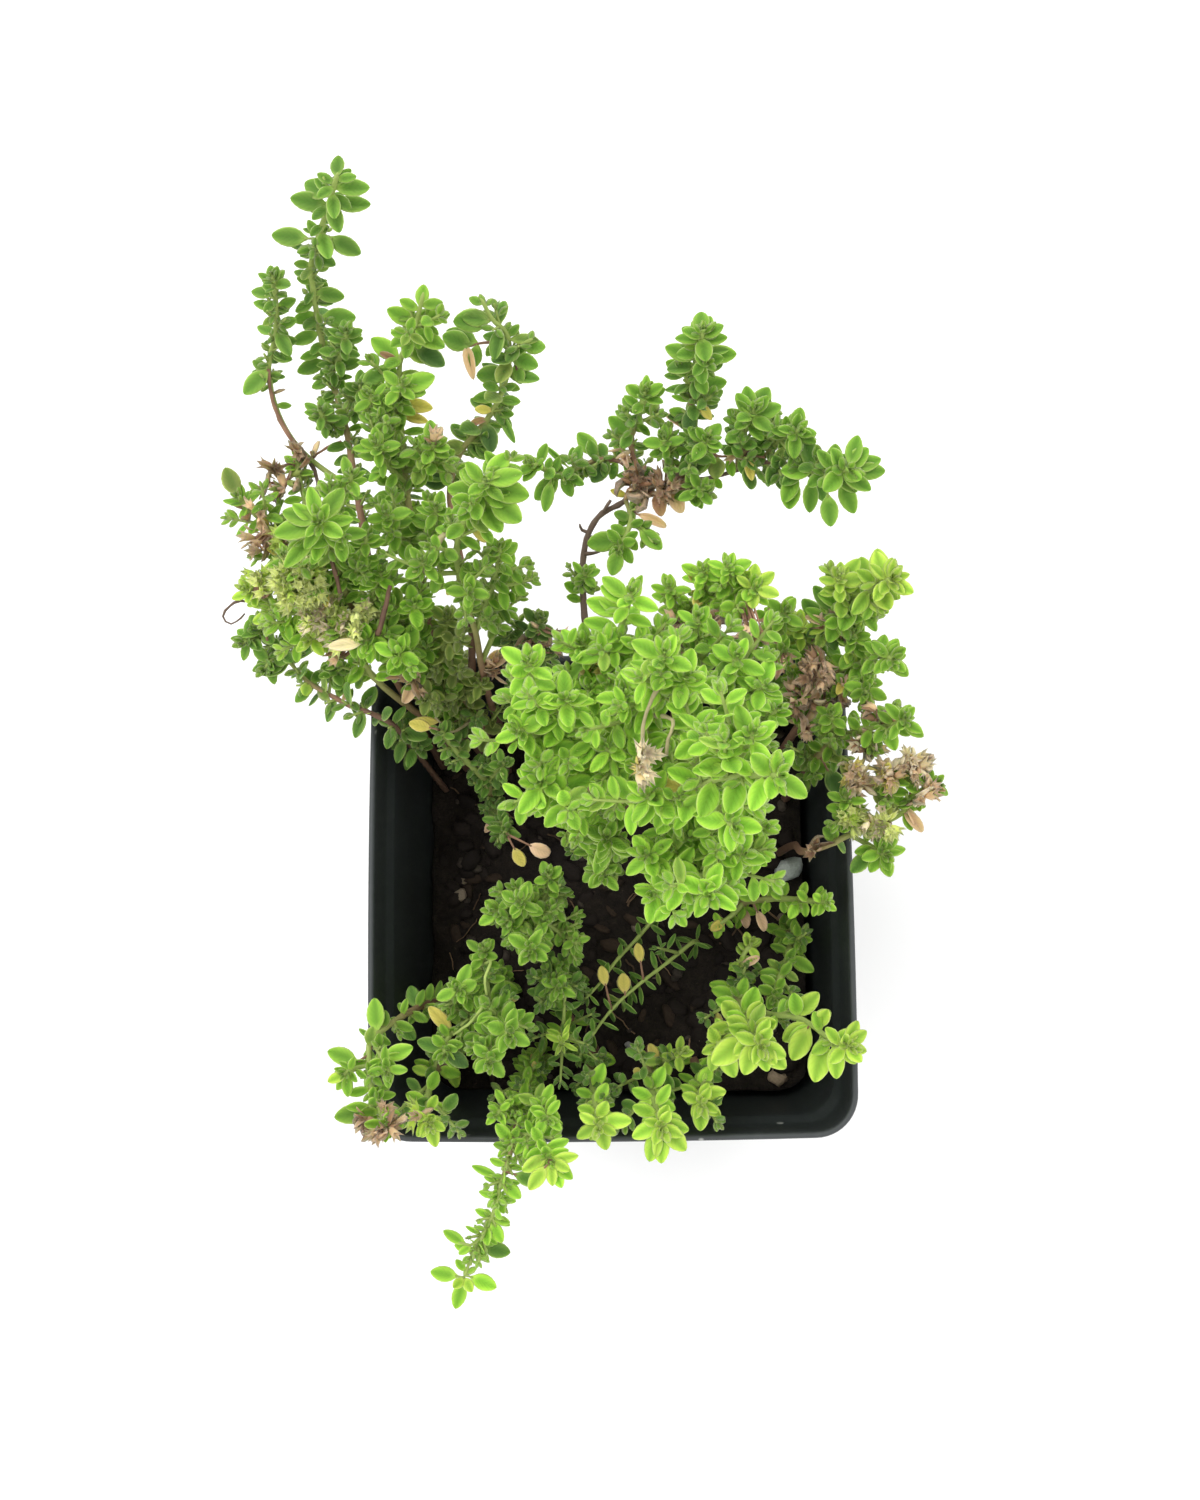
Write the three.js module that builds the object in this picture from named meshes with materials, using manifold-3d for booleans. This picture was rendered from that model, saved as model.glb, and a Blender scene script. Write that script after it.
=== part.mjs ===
// Common thyme in a square nursery pot, seen from above in the reference picture.
// Millimetres, +Z up, origin at the centre of the pot's flat underside.
// +X is the picture's right and +Y its top.

import * as THREE from 'three';
import { mergeVertices } from 'three/addons/utils/BufferGeometryUtils.js';
import Module from 'manifold-3d';

const wasm = await Module();
wasm.setup();

// Driving dimensions of the pot
const POT_HEIGHT = 95;
const RIM_HALF = 45;
const BASE_HALF = 33.5;
const RIM_CORNER = 8;
const BASE_CORNER = 6;
const WALL = 1.2;
const FLOOR = 1.8;
const COLLAR_HEIGHT = 10.5;
const COLLAR_STEP = 1.2;
const SIDE_BOW = 0.35;
const COLLAR_FLARE = 0.9;
const FOOT_EDGE = 0.8;
const LIP_EDGE = 0.6;
const COLLAR_SLANT = 0.4;
const CORNER_STEPS = 3;
const DRAIN_RADIUS = 4;
const DRAIN_PLACE = 17;
const DRAIN_SIDES = 12;

// Driving dimensions of the soil
const GAP = 0.3;
const SOIL_EASE = 0.05;
const SOIL_SHOULDER = 50;
const SOIL_LEVEL = 62;
const SOIL_SLOPE = 0.2;
const SOIL_RINGS = [1, 0.82, 0.6, 0.36];

// Driving dimensions of the stems and leaves
const ROOT_DEPTH = 7;
const ROOT_COLLAR = 3;
const HOLE_PLAY = 0.95;
const WOOD_RADIUS = 0.95;
const TIP_RADIUS = 0.5;
const BLADE_THICK = 0.8;
const BLADE_CUP = 0.11;
const BLADE_DROOP = 0.1;
const LIGHT_TURN = 0.6;
const CLEAR = 1.0;
const SIDE_RADIUS = 0.6;
const FORK_STEP = 1.9;
const FORK_END = 1.6;
const FORK_LOOK = 3;
const FORK_CLOSEST = 0.94;
const FORK_SHIFT = 1.2;
const FORK_HALF = 0.9;
const FORK_NECK = 0.3;
const FLAT = 0.74;
const EVENT_GAP = 0.2;
const NODE_HALF = 0.4;
const TIP_POINT = 0.7;
const TIP_SETBACK = 1.6;
const RING_STEP = 14;
const SMALL_LEAF = 6.9;
const OWN_REACH = 1.5;
const STEM_CLEAR = 0.45;
const SOIL_CLEAR = 1;
const ROLL_SWAY = 9;
const SPREAD_SWAY = 7;
const SIZE_SWAY = 0.1;
const TOUCH = 1e-4;
const GROWING_ROUNDS = 12;
const LEAF_FOOT = 0.9;

// Leaf pairs counted from the tip: the step to the next pair, spread from the stem and size
const PAIR_STEPS = [2.2, 4, 4.5];
const SPREADS = [44, 66, 80];
const SIZES = [0.75, 0.95, 1];
const BENDS = [0, 14, -14, 27, -27];

// Blade sections as fractions of the leaf's length: along it and to its side
const BLADE = [[0.36, 0.27], [0.73, 0.24]];
const BLADE_SMALL = [0.55, 0.3];

// The picture was taken from above, from this point over the pot
const EYE = new THREE.Vector3(6, -14, 395);
const UP = new THREE.Vector3(0, 0, 1);
const ASKEW = new THREE.Vector3(0.12, 0.05, 0);

const radians = THREE.MathUtils.degToRad;

/** The point at height z on the line of sight through (x, y) on the rim's plane. */
function seen(x, y, z) {
  const t = (EYE.z - z) / (EYE.z - POT_HEIGHT);
  return new THREE.Vector3(EYE.x + (x - EYE.x) * t, EYE.y + (y - EYE.y) * t, z);
}

/** A repeatable draw between 0 and 1 for each seed. */
function draw(seed) {
  const v = Math.sin(seed * 12.9898 + 78.233) * 43758.5453;
  return v - Math.floor(v);
}

/** A repeatable draw between -1 and 1. */
function sway(seed) {
  return 2 * draw(seed) - 1;
}

/** Distance from (x, y) to a rounded square, negative inside it. */
function squareDistance(x, y, half, corner) {
  const qx = Math.abs(x) - (half - corner);
  const qy = Math.abs(y) - (half - corner);
  const outside = Math.hypot(Math.max(qx, 0), Math.max(qy, 0));
  return outside + Math.min(Math.max(qx, qy), 0) - corner;
}

/** Half width of the pot's outside at height z. */
function potHalf(z) {
  const bodyTop = POT_HEIGHT - COLLAR_HEIGHT;
  const slope = (RIM_HALF - COLLAR_STEP - COLLAR_FLARE - BASE_HALF) / bodyTop;
  if (z <= bodyTop) {
    return BASE_HALF + slope * z;
  }
  const up = (z - bodyTop) / COLLAR_HEIGHT;
  return RIM_HALF - COLLAR_FLARE * (1 - up);
}

/** Corner radius of the pot at height z. */
function potCorner(z) {
  return BASE_CORNER + (RIM_CORNER - BASE_CORNER) * (z / POT_HEIGHT);
}

/** Height of the soil's uneven top at (x, y), highest at the right. */
function soilTop(x, y) {
  const crown = 4 * Math.exp(-(x * x + y * y) / 420);
  const lumps = 1.1 * Math.sin(0.32 * x + 1.3) * Math.cos(0.29 * y - 0.4);
  const crumbs = 0.6 * Math.sin(0.71 * x + 0.53 * y);
  return SOIL_LEVEL + SOIL_SLOPE * x + crown + lumps + crumbs;
}

// Closed solids from rings of points

/** The points of one rounded square ring, each side a little bowed. */
function squareRing(half, corner, height, bow = SIDE_BOW) {
  const points = [];
  for (let side = 0; side < 4; side += 1) {
    const turn = side * Math.PI / 2;
    const middle = new THREE.Vector2(half + bow, 0);
    const centre = new THREE.Vector2(half - corner, half - corner);
    points.push(middle.rotateAround(new THREE.Vector2(), turn));
    centre.rotateAround(new THREE.Vector2(), turn);
    for (let i = 0; i <= CORNER_STEPS; i += 1) {
      const angle = turn + (i / CORNER_STEPS) * Math.PI / 2;
      const out = new THREE.Vector2(Math.cos(angle), Math.sin(angle));
      points.push(centre.clone().addScaledVector(out, corner));
    }
  }
  const heightAt = typeof height === 'function' ? height : () => height;
  return points.map(({ x, y }) => new THREE.Vector3(x, y, heightAt(x, y)));
}

/** A closed skin over rings from the bottom centre, outside and back to the top centre. */
function skinRings(rings, first, last) {
  const count = rings[0].length;
  const points = [first, ...rings.flat(), last];
  const end = points.length - 1;
  const faces = [];
  for (let j = 0; j < count; j += 1) {
    const next = (j + 1) % count;
    faces.push(0, 1 + next, 1 + j);
    for (let i = 0; i < rings.length - 1; i += 1) {
      const a = 1 + i * count;
      const b = a + count;
      faces.push(a + j, a + next, b + next);
      faces.push(a + j, b + next, b + j);
    }
    const top = 1 + (rings.length - 1) * count;
    faces.push(top + j, top + next, end);
  }
  return indexed(points, faces);
}

function indexed(points, faces) {
  const geometry = new THREE.BufferGeometry();
  const positions = points.flatMap((p) => [p.x, p.y, p.z]);
  geometry.setAttribute('position', new THREE.Float32BufferAttribute(positions, 3));
  geometry.setIndex(faces);
  return geometry;
}

// Joining and cutting

function toSolid(geometry) {
  const bare = geometry.clone();
  bare.deleteAttribute('normal');
  bare.deleteAttribute('uv');
  const merged = mergeVertices(bare, 1e-4);
  const vertProperties = new Float32Array(merged.attributes.position.array);
  const triVerts = new Uint32Array(merged.index.array);
  return new wasm.Manifold(new wasm.Mesh({ numProp: 3, vertProperties, triVerts }));
}

function toGeometry(solid) {
  const mesh = solid.getMesh();
  const geometry = new THREE.BufferGeometry();
  geometry.setAttribute('position', new THREE.BufferAttribute(new Float32Array(mesh.vertProperties), 3));
  geometry.setIndex(new THREE.BufferAttribute(new Uint32Array(mesh.triVerts), 1));
  geometry.computeVertexNormals();
  return geometry;
}

/** An upright cylinder from z0 to z1 at (x, y). */
function upright(x, y, radius, z0, z1, sides) {
  const cylinder = new THREE.CylinderGeometry(radius, radius, z1 - z0, sides);
  cylinder.rotateX(Math.PI / 2);
  cylinder.translate(x, y, (z0 + z1) / 2);
  return toSolid(cylinder);
}

// The pot

function makePot() {
  const bodyTop = POT_HEIGHT - COLLAR_HEIGHT;
  const outside = [
    [0, BASE_HALF - FOOT_EDGE],
    [FOOT_EDGE, potHalf(FOOT_EDGE)],
    [bodyTop - COLLAR_SLANT, potHalf(bodyTop - COLLAR_SLANT)],
    [bodyTop, RIM_HALF - COLLAR_FLARE],
    [POT_HEIGHT - LIP_EDGE, potHalf(POT_HEIGHT - LIP_EDGE)],
    [POT_HEIGHT, RIM_HALF - LIP_EDGE / 4],
  ];
  const inside = [
    [POT_HEIGHT, RIM_HALF - WALL],
    [bodyTop + COLLAR_STEP, potHalf(bodyTop + COLLAR_STEP) - WALL],
    [bodyTop, potHalf(bodyTop) - WALL],
    [FLOOR, potHalf(FLOOR) - WALL],
  ];
  const rings = outside.map(([z, half]) => squareRing(half, potCorner(z), z));
  for (const [z, half] of inside) {
    rings.push(squareRing(half, potCorner(z) - WALL, z));
  }
  const skin = skinRings(rings, new THREE.Vector3(0, 0, 0), new THREE.Vector3(0, 0, FLOOR));
  let pot = toSolid(skin);
  for (const x of [-DRAIN_PLACE, DRAIN_PLACE]) {
    for (const y of [-DRAIN_PLACE, DRAIN_PLACE]) {
      pot = pot.subtract(upright(x, y, DRAIN_RADIUS, -1, FLOOR + 1, DRAIN_SIDES));
    }
  }
  return pot;
}

// The soil, with a plain hole for each stem

function soilHalf(z) {
  return potHalf(z) - WALL - GAP - SOIL_EASE;
}

function makeSoil(roots) {
  const bottom = FLOOR + GAP;
  const rings = [bottom, SOIL_SHOULDER].map((z) => squareRing(soilHalf(z), potCorner(z) - WALL, z));
  const topHalf = soilHalf(SOIL_SHOULDER);
  const topCorner = potCorner(SOIL_LEVEL) - WALL;
  for (const scale of SOIL_RINGS) {
    rings.push(squareRing(topHalf * scale, topCorner * scale, soilTop, SIDE_BOW * scale));
  }
  const start = new THREE.Vector3(0, 0, bottom);
  const crown = new THREE.Vector3(0, 0, soilTop(0, 0));
  let soil = toSolid(skinRings(rings, start, crown));
  for (const { x, y, radius } of roots) {
    const level = soilTop(x, y);
    const hole = upright(x, y, radius + HOLE_PLAY, level - ROOT_DEPTH - GAP, level + ROOT_DEPTH, 4);
    soil = soil.subtract(hole);
  }
  return soil;
}

// The leafy stems. Each is a root place on the soil, then shoots: the first is the main one.
// A shoot is its leaf length, then its way points as [x, y, z], x and y as seen on the rim's plane.
// "on" is the way point of an earlier shoot that it forks from, as [shoot, way point].
// "bare" is the number of way points before its first leaves.

const shoot = (leaf, way, habit = {}) => ({ leaf, way, bare: 0, step: 5.2, roll: 45, on: [0, 1], ...habit });

const STEMS = [
  {
    name: 'leafy_stem_tall',
    root: [-34, 34],
    shoots: [
      shoot(6, [
        [-34, 34, 80], [-40, 46, 103], [-45, 62, 110], [-48, 78, 112], [-50.5, 92, 113], [-53.5, 102, 115],
        [-55, 108, 119], [-56.5, 116, 124], [-57.5, 125, 131], [-56, 131, 136], [-54, 138, 142],
        [-52.4, 144, 148],
      ], { bare: 3, step: 2.7 }),
      shoot(4.6, [
        [-56, 84, 112], [-60, 88, 112], [-63, 93, 114], [-65, 99, 117], [-65.6, 104, 120],
        [-64.4, 111, 124], [-64.4, 117, 128], [-65.2, 123, 132],
      ], { on: [0, 3], bare: 2, step: 3 }),
      shoot(5.4, [[-51.5, 106, 121], [-50.3, 111, 126]], { on: [0, 5] }),
      shoot(5, [[-48, 96, 118], [-47.5, 100, 123]], { on: [0, 4] }),
      shoot(5, [[-54, 92, 117], [-55.5, 95, 121]], { on: [0, 4] }),
    ],
  },
  {
    name: 'leafy_stem_fan',
    root: [-30, 35],
    shoots: [
      shoot(6, [
        [-30, 36, 84], [-34, 52, 108], [-36.5, 66, 114], [-38.5, 80, 117], [-39.5, 92, 119],
        [-39.7, 104.6, 123], [-37.8, 109, 127], [-36.4, 113, 131], [-35.2, 118.5, 136],
      ], { bare: 2, step: 3.6 }),
      shoot(5, [[-40.5, 97, 124], [-39.3, 100, 129]], { on: [0, 4] }),
      shoot(5, [[-44, 94, 121], [-45.5, 98, 126]], { on: [0, 4] }),
      shoot(5.5, [[-42.5, 84, 122], [-44.5, 88, 128]], { on: [0, 3] }),
      shoot(5.5, [[-34.5, 84, 122], [-33, 88, 127]], { on: [0, 3] }),
      shoot(5.5, [[-40.5, 70, 121], [-42.5, 74, 127]], { on: [0, 2] }),
      shoot(5.5, [[-33.5, 70, 121], [-32.5, 75, 127]], { on: [0, 2] }),
    ],
  },
  {
    name: 'leafy_stem_arch',
    root: [-25.5, 36],
    shoots: [
      shoot(5.4, [
        [-25.5, 37.5, 91], [-26, 54, 107], [-28.5, 68, 108], [-30, 78, 110], [-28, 85.5, 112],
        [-24, 90.5, 114], [-20.8, 95.5, 116], [-18.8, 101, 118], [-18.2, 106.5, 120], [-19, 110, 122],
        [-21.5, 112.5, 125], [-23.8, 117, 129],
      ], { bare: 4, step: 2.8 }),
      shoot(5.6, [[-15.5, 107.5, 122], [-13.8, 108.5, 124]], { on: [0, 8] }),
    ],
  },
  {
    name: 'leafy_stem_bright_right',
    root: [-21.5, 33],
    shoots: [
      shoot(6.6, [
        [-22, 36, 86], [-24, 44, 102], [-25, 50, 112], [-28, 60, 122], [-28.5, 68, 128], [-26, 74, 133],
        [-23.3, 78, 137], [-21.5, 82, 142],
      ], { bare: 4 }),
      shoot(5.2, [[-26.6, 58.4, 126], [-26, 57.5, 129]], { on: [0, 3] }),
      shoot(5.4, [[-21, 62, 120], [-20.3, 67, 124]], { on: [0, 2] }),
      shoot(5.2, [[-21.5, 50, 107], [-20, 56.5, 112], [-17, 61, 115]], { on: [0, 1], bare: 1 }),
      shoot(5.4, [[-33.5, 62, 126], [-35.5, 64.5, 131]], { on: [0, 3] }),
    ],
  },
  {
    name: 'leafy_stem_bright_left',
    root: [-36, 29.5],
    shoots: [
      shoot(7, [
        [-37, 35, 88], [-43, 46, 105], [-50, 58, 116], [-52.5, 66, 125], [-53.5, 70, 132],
        [-54.5, 73, 139], [-55.5, 77, 145],
      ], { bare: 2 }),
      shoot(5.5, [
        [-58, 65, 115], [-65, 71.5, 114], [-69.5, 76.4, 115], [-72.8, 80, 116],
      ], { on: [0, 2], bare: 1 }),
      shoot(5.5, [[-58, 62, 121], [-62, 66, 125]], { on: [0, 2] }),
      shoot(5.5, [[-47.5, 64, 122], [-46, 69.5, 127]], { on: [0, 2] }),
      shoot(5.2, [[-50.5, 77, 133], [-49, 82, 137]], { on: [0, 4] }),
      shoot(4.4, [
        [-50, 60, 109], [-55.5, 70, 111], [-58.5, 78, 112], [-60, 86, 113],
      ], { on: [0, 1], bare: 2, step: 3 }),
    ],
  },
  {
    name: 'leafy_stem_whorled',
    root: [-31, 29],
    shoots: [
      shoot(4.8, [
        [-33, 32, 86], [-43.8, 41, 101], [-48.8, 47.5, 106], [-53.5, 52, 108], [-58, 56.5, 111],
        [-60, 60, 115],
      ], { bare: 2, step: 3.6 }),
      shoot(4.8, [[-63, 56, 108], [-67, 58, 110], [-69.8, 59.5, 112]], { on: [0, 3] }),
      shoot(4.6, [[-56, 50, 110], [-57, 49.5, 114]], { on: [0, 3] }),
    ],
  },
  {
    name: 'leafy_stem_over_corner',
    root: [-35.5, 24.5],
    shoots: [
      shoot(5, [
        [-37, 28, 86], [-41.5, 33, 99.8], [-45.6, 35, 100.8], [-49.5, 36.5, 100], [-53, 38.5, 99.5],
        [-56.5, 40.5, 99.5], [-59.5, 43.5, 100], [-62, 47, 101], [-65, 49.5, 102], [-66.8, 52.5, 104],
      ], { bare: 3, step: 4.2 }),
      shoot(4.8, [[-52.5, 42, 101], [-51, 44, 103]], { on: [0, 4] }),
      shoot(5, [[-64, 45.5, 101], [-65.6, 43.5, 101]], { on: [0, 7] }),
      shoot(4.8, [[-68, 49.5, 103], [-70, 48.5, 104]], { on: [0, 8] }),
    ],
  },
  {
    name: 'leafy_stem_left_heart',
    root: [-27, 31],
    shoots: [
      shoot(5.4, [
        [-29, 33, 84], [-34, 42, 99], [-39, 48, 108], [-43.5, 50, 113], [-46.5, 48.5, 118],
      ], { bare: 1 }),
      shoot(5.2, [[-38.5, 46, 112], [-40.2, 45, 118]], { on: [0, 2] }),
      shoot(5.4, [[-37.5, 53, 113], [-36.6, 56, 119]], { on: [0, 2] }),
      shoot(5.2, [[-45, 57, 117], [-43, 62.5, 121]], { on: [0, 3] }),
    ],
  },
  {
    name: 'leafy_stem_inner_back',
    root: [-22, 28],
    shoots: [
      shoot(5.2, [
        [-23, 30, 80], [-27.5, 38, 93], [-31, 44, 101], [-31, 49, 107], [-30.5, 53.5, 112],
      ], { bare: 1 }),
      shoot(4.8, [[-25.5, 39.5, 96], [-23.5, 40.5, 99]], { on: [0, 1] }),
      shoot(5, [[-33, 39.5, 99], [-34.8, 37, 101]], { on: [0, 1] }),
    ],
  },
  {
    name: 'leafy_stem_back_dark',
    root: [-14, 34],
    shoots: [
      shoot(4.6, [[-14, 37, 85], [-14.5, 45.5, 100], [-14.2, 49.5, 104], [-12.5, 52.5, 107]], { bare: 1 }),
      shoot(4.6, [[-17.5, 47.5, 102], [-20, 49.5, 104]], { on: [0, 1] }),
    ],
  },
  {
    name: 'leafy_stem_woody',
    root: [-4, 34.5],
    shoots: [
      shoot(5.6, [
        [-3.5, 38, 86], [-4, 50, 104], [-4.4, 58, 107], [-4.3, 63.8, 108], [-3.3, 68.8, 109],
        [-0.9, 72.7, 110], [3.9, 75.5, 111], [6.4, 80, 112], [5.4, 85, 114], [5.5, 89, 117], [7, 93, 120],
        [8.3, 97.5, 124],
      ], { bare: 8, step: 3.4 }),
      shoot(4.4, [[-4.2, 60, 111], [-4.1, 61.5, 114]], { on: [0, 2] }),
      shoot(5.6, [
        [3, 83.3, 112], [-0.8, 83.8, 112], [-5, 82.3, 113], [-9, 80.8, 114], [-12.5, 82.5, 116],
        [-14.3, 83.3, 117],
      ], { on: [0, 7], bare: 1, step: 2.6 }),
      shoot(5.2, [[5, 72, 113], [4, 68.5, 114], [2.4, 65.5, 115]], { on: [0, 6] }),
      shoot(6.8, [
        [9.5, 76.5, 112], [13.5, 80, 114], [16, 84.5, 116], [16.8, 89, 119], [17, 94, 122],
        [17.8, 99, 126], [18.6, 104, 132], [19.6, 109.5, 138],
      ], { on: [0, 6], bare: 3, step: 3.4 }),
      shoot(8, [
        [19, 79.5, 114], [25.5, 81, 115], [30, 82.5, 117], [35, 82.2, 119], [39.5, 81, 122],
        [43.5, 80.3, 126], [47, 80.6, 130],
      ], { on: [4, 1], bare: 2, step: 3.4 }),
      shoot(5.4, [[17.3, 76.8, 117], [19.2, 77.6, 121]], { on: [5, 0] }),
      shoot(6, [[18.5, 86, 121], [20.5, 87.5, 125]], { on: [4, 2] }),
      shoot(5.4, [[12.8, 84, 118], [11.5, 88, 122]], { on: [4, 1] }),
      shoot(6.6, [[26, 85, 118], [27.6, 89.5, 122], [29.3, 93.4, 126]], { on: [5, 1] }),
      shoot(6.2, [[33, 86, 120], [35.8, 88, 124], [37.6, 88.6, 128]], { on: [5, 2] }),
    ],
  },
  {
    name: 'leafy_stem_dome_left',
    root: [-5, 14],
    shoots: [
      shoot(6.8, [
        [-4, 16, 90], [-2.5, 17.5, 120], [-4.5, 21, 138], [-8, 26.5, 147], [-11.3, 32.5, 153],
        [-14, 38.5, 158], [-15, 44.5, 163],
      ], { bare: 1 }),
      shoot(7.8, [[-9, 20, 146], [-13, 21, 155]], { on: [0, 2] }),
      shoot(6.2, [[-9, 35, 158], [-7.5, 37, 163]], { on: [0, 4] }),
      shoot(6.2, [[-14.5, 30.5, 155], [-17.5, 31, 158]], { on: [0, 3] }),
    ],
  },
  {
    name: 'leafy_stem_dome_back',
    root: [0, 21],
    shoots: [
      shoot(7, [
        [0.5, 22, 90], [1.5, 26, 118], [1, 33, 132], [1, 40, 139], [2, 47, 145], [3.5, 53, 150],
        [4.9, 57.5, 154],
      ], { bare: 2 }),
      shoot(6.2, [[-2.5, 44.5, 143], [-5, 48, 146]], { on: [0, 3] }),
      shoot(6.4, [[-2.5, 36, 139], [-3.5, 39, 144]], { on: [0, 2] }),
      shoot(6.2, [[5, 44, 145], [6.5, 47.5, 150]], { on: [0, 3] }),
    ],
  },
  {
    name: 'leafy_stem_dome_middle',
    root: [6.5, 18],
    shoots: [
      shoot(7, [
        [7, 20, 90], [7.5, 22.5, 122], [6.8, 27, 145], [7.2, 32, 154], [8.8, 37, 160], [10.5, 41, 165],
        [11, 45.5, 170],
      ], { bare: 2 }),
      shoot(6.4, [[4, 34.5, 158], [2.8, 38, 162]], { on: [0, 3] }),
      shoot(6.5, [[12.8, 38.5, 164], [15.2, 41, 168]], { on: [0, 4] }),
      shoot(6.4, [[2.5, 26, 152], [-0.5, 27.5, 157]], { on: [0, 2] }),
    ],
  },
  {
    name: 'leafy_stem_dome_top',
    root: [13, 13],
    shoots: [
      shoot(7.4, [
        [13, 14.5, 90], [12.5, 16, 130], [13, 18, 152], [16.5, 20, 164], [21.5, 21.3, 170],
        [27, 21.7, 174], [32.5, 21.6, 178],
      ], { bare: 2 }),
      shoot(7, [[17, 26.5, 166], [18.5, 31, 170]], { on: [0, 3] }),
      shoot(7, [[25.5, 26, 174], [27.5, 30, 177]], { on: [0, 4] }),
      shoot(7, [[20.5, 15.5, 165], [23.5, 12, 168]], { on: [0, 3] }),
      shoot(6.8, [[9.5, 17, 158], [7, 18.5, 162]], { on: [0, 2] }),
    ],
  },
  {
    name: 'leafy_stem_dome_right',
    root: [20, 19],
    shoots: [
      shoot(6.6, [
        [20, 20, 90], [20.5, 25, 118], [21, 31, 134], [22, 36, 141], [23.5, 41, 146], [24.8, 44.5, 151],
      ], { bare: 2 }),
      shoot(6, [[18.3, 41, 140], [17.3, 47, 142], [17.5, 52.5, 144]], { on: [0, 2], bare: 1 }),
      shoot(6.2, [[27, 37.5, 146], [30, 39, 150]], { on: [0, 3] }),
      shoot(5.8, [[28.5, 32, 136], [32.5, 34.5, 138]], { on: [0, 2] }),
    ],
  },
  {
    name: 'leafy_stem_dome_front',
    root: [15, 5],
    shoots: [
      shoot(7.2, [
        [15, 6, 90], [15.5, 6, 120], [16.2, 5, 138], [17, 3, 146], [18.3, 0, 152], [19, -2.5, 157],
      ], { bare: 1 }),
      shoot(7, [[11, 6.5, 143], [6.5, 7, 148]], { on: [0, 2] }),
      shoot(6.8, [[21, 6, 144], [25.3, 7, 149]], { on: [0, 2] }),
      shoot(6.4, [[10.5, 1.5, 143], [8, -0.5, 147]], { on: [0, 2] }),
      shoot(6.4, [[24, 11.5, 142], [29.5, 12, 146]], { on: [0, 1] }),
    ],
  },
  {
    name: 'leafy_stem_dome_low',
    root: [-1.5, 7],
    shoots: [
      shoot(5.6, [[-2, 7.5, 90], [-1, 8, 108], [0, 9.5, 122], [-0.5, 10.5, 129]], { bare: 1 }),
      shoot(5.2, [[-2, 5, 109], [-0.8, 3.2, 114]], { on: [0, 1] }),
    ],
  },
  {
    name: 'leafy_stem_back_crest',
    root: [13, 35],
    shoots: [
      shoot(6, [
        [13, 38, 88], [13.5, 47, 104], [15, 52, 112], [19, 55.5, 118], [24, 57, 122], [28.7, 57.8, 127],
      ], { bare: 1 }),
      shoot(5, [[12.8, 55.5, 117], [12, 58.5, 121]], { on: [0, 2] }),
      shoot(4.8, [[18.4, 59, 122], [18.8, 61.5, 126]], { on: [0, 3] }),
      shoot(5, [[23.4, 60.5, 126], [23.3, 62.5, 129]], { on: [0, 4] }),
    ],
  },
  {
    name: 'leafy_stem_right_crest',
    root: [24, 34.5],
    shoots: [
      shoot(5.4, [[24.5, 38, 88], [26.5, 45.5, 102], [30, 49.5, 107], [33, 51.5, 112], [34.3, 53, 116]]),
      shoot(5.2, [[32.5, 46, 109], [33.8, 45, 113]], { on: [0, 2] }),
    ],
  },
  {
    name: 'leafy_stem_right_yellow',
    root: [31.5, 33.5],
    shoots: [
      shoot(6.2, [
        [33, 37, 88], [38.5, 45.5, 104], [42.5, 50.5, 110], [46, 54, 115], [50.5, 57, 120], [54.8, 59.3, 125],
      ], { bare: 1, step: 4.2 }),
      shoot(6, [[37.2, 48, 107.5], [36.4, 50.5, 110]], { on: [0, 1] }),
      shoot(5, [[44.5, 57, 119], [44.6, 60, 122]], { on: [0, 3] }),
    ],
  },
  {
    name: 'leafy_stem_right_middle',
    root: [34, 28],
    shoots: [
      shoot(5.8, [
        [36, 31, 90], [41.5, 38.5, 103], [45.5, 41.5, 107], [49, 43.3, 111], [52, 44, 115], [54.3, 43.3, 119],
      ], { bare: 1, step: 4.2 }),
      shoot(5.2, [[48.8, 39, 110], [48.8, 36.8, 112]], { on: [0, 2] }),
      shoot(5.2, [[47, 46.5, 112], [47, 49, 115]], { on: [0, 2] }),
      shoot(5, [[36, 33.5, 99], [37.5, 38, 104], [39.5, 41, 107]], { on: [0, 0], bare: 1, step: 3 }),
    ],
  },
  {
    name: 'leafy_stem_right_low',
    root: [35.5, 20],
    shoots: [
      shoot(5.8, [
        [37, 22, 88], [41.5, 27, 101], [46, 29.5, 105], [50.5, 30.5, 110], [54, 31, 115], [56.3, 32, 119],
      ], { bare: 1, step: 4.4 }),
      shoot(5, [[42.5, 30, 106], [42, 33.5, 110]], { on: [0, 1] }),
    ],
  },
  {
    name: 'leafy_stem_dried_heads',
    root: [34, 9],
    shoots: [
      shoot(4.8, [
        [34.5, 8.5, 84], [36.5, 7.3, 98], [40.5, 8.3, 102], [45, 10.3, 104], [50, 12, 105], [54.5, 14, 106],
        [57, 17, 108], [59.5, 19, 110], [62.3, 19.3, 111],
      ], { bare: 2, step: 3.4 }),
      shoot(5.6, [[49, 8, 104], [51.7, 6.3, 107]], { on: [0, 3] }),
      shoot(5, [[44.5, 14.5, 106], [44.3, 18, 109]], { on: [0, 3] }),
      shoot(5, [[52.5, 18, 108], [53, 22, 110]], { on: [0, 5] }),
    ],
  },
  {
    name: 'leafy_stem_paired',
    root: [26, -3],
    shoots: [
      shoot(4, [
        [25, -2, 80], [28, -1.6, 85], [31.5, -1.4, 89], [35, -1.6, 93], [38, -2, 96.5], [40.5, -2.3, 100],
      ], { step: 3.1 }),
      shoot(3.6, [[22.5, -4.5, 80], [19, -6.8, 80]], { on: [0, 0] }),
    ],
  },
  {
    name: 'leafy_stem_right_side',
    root: [34, -7],
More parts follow.
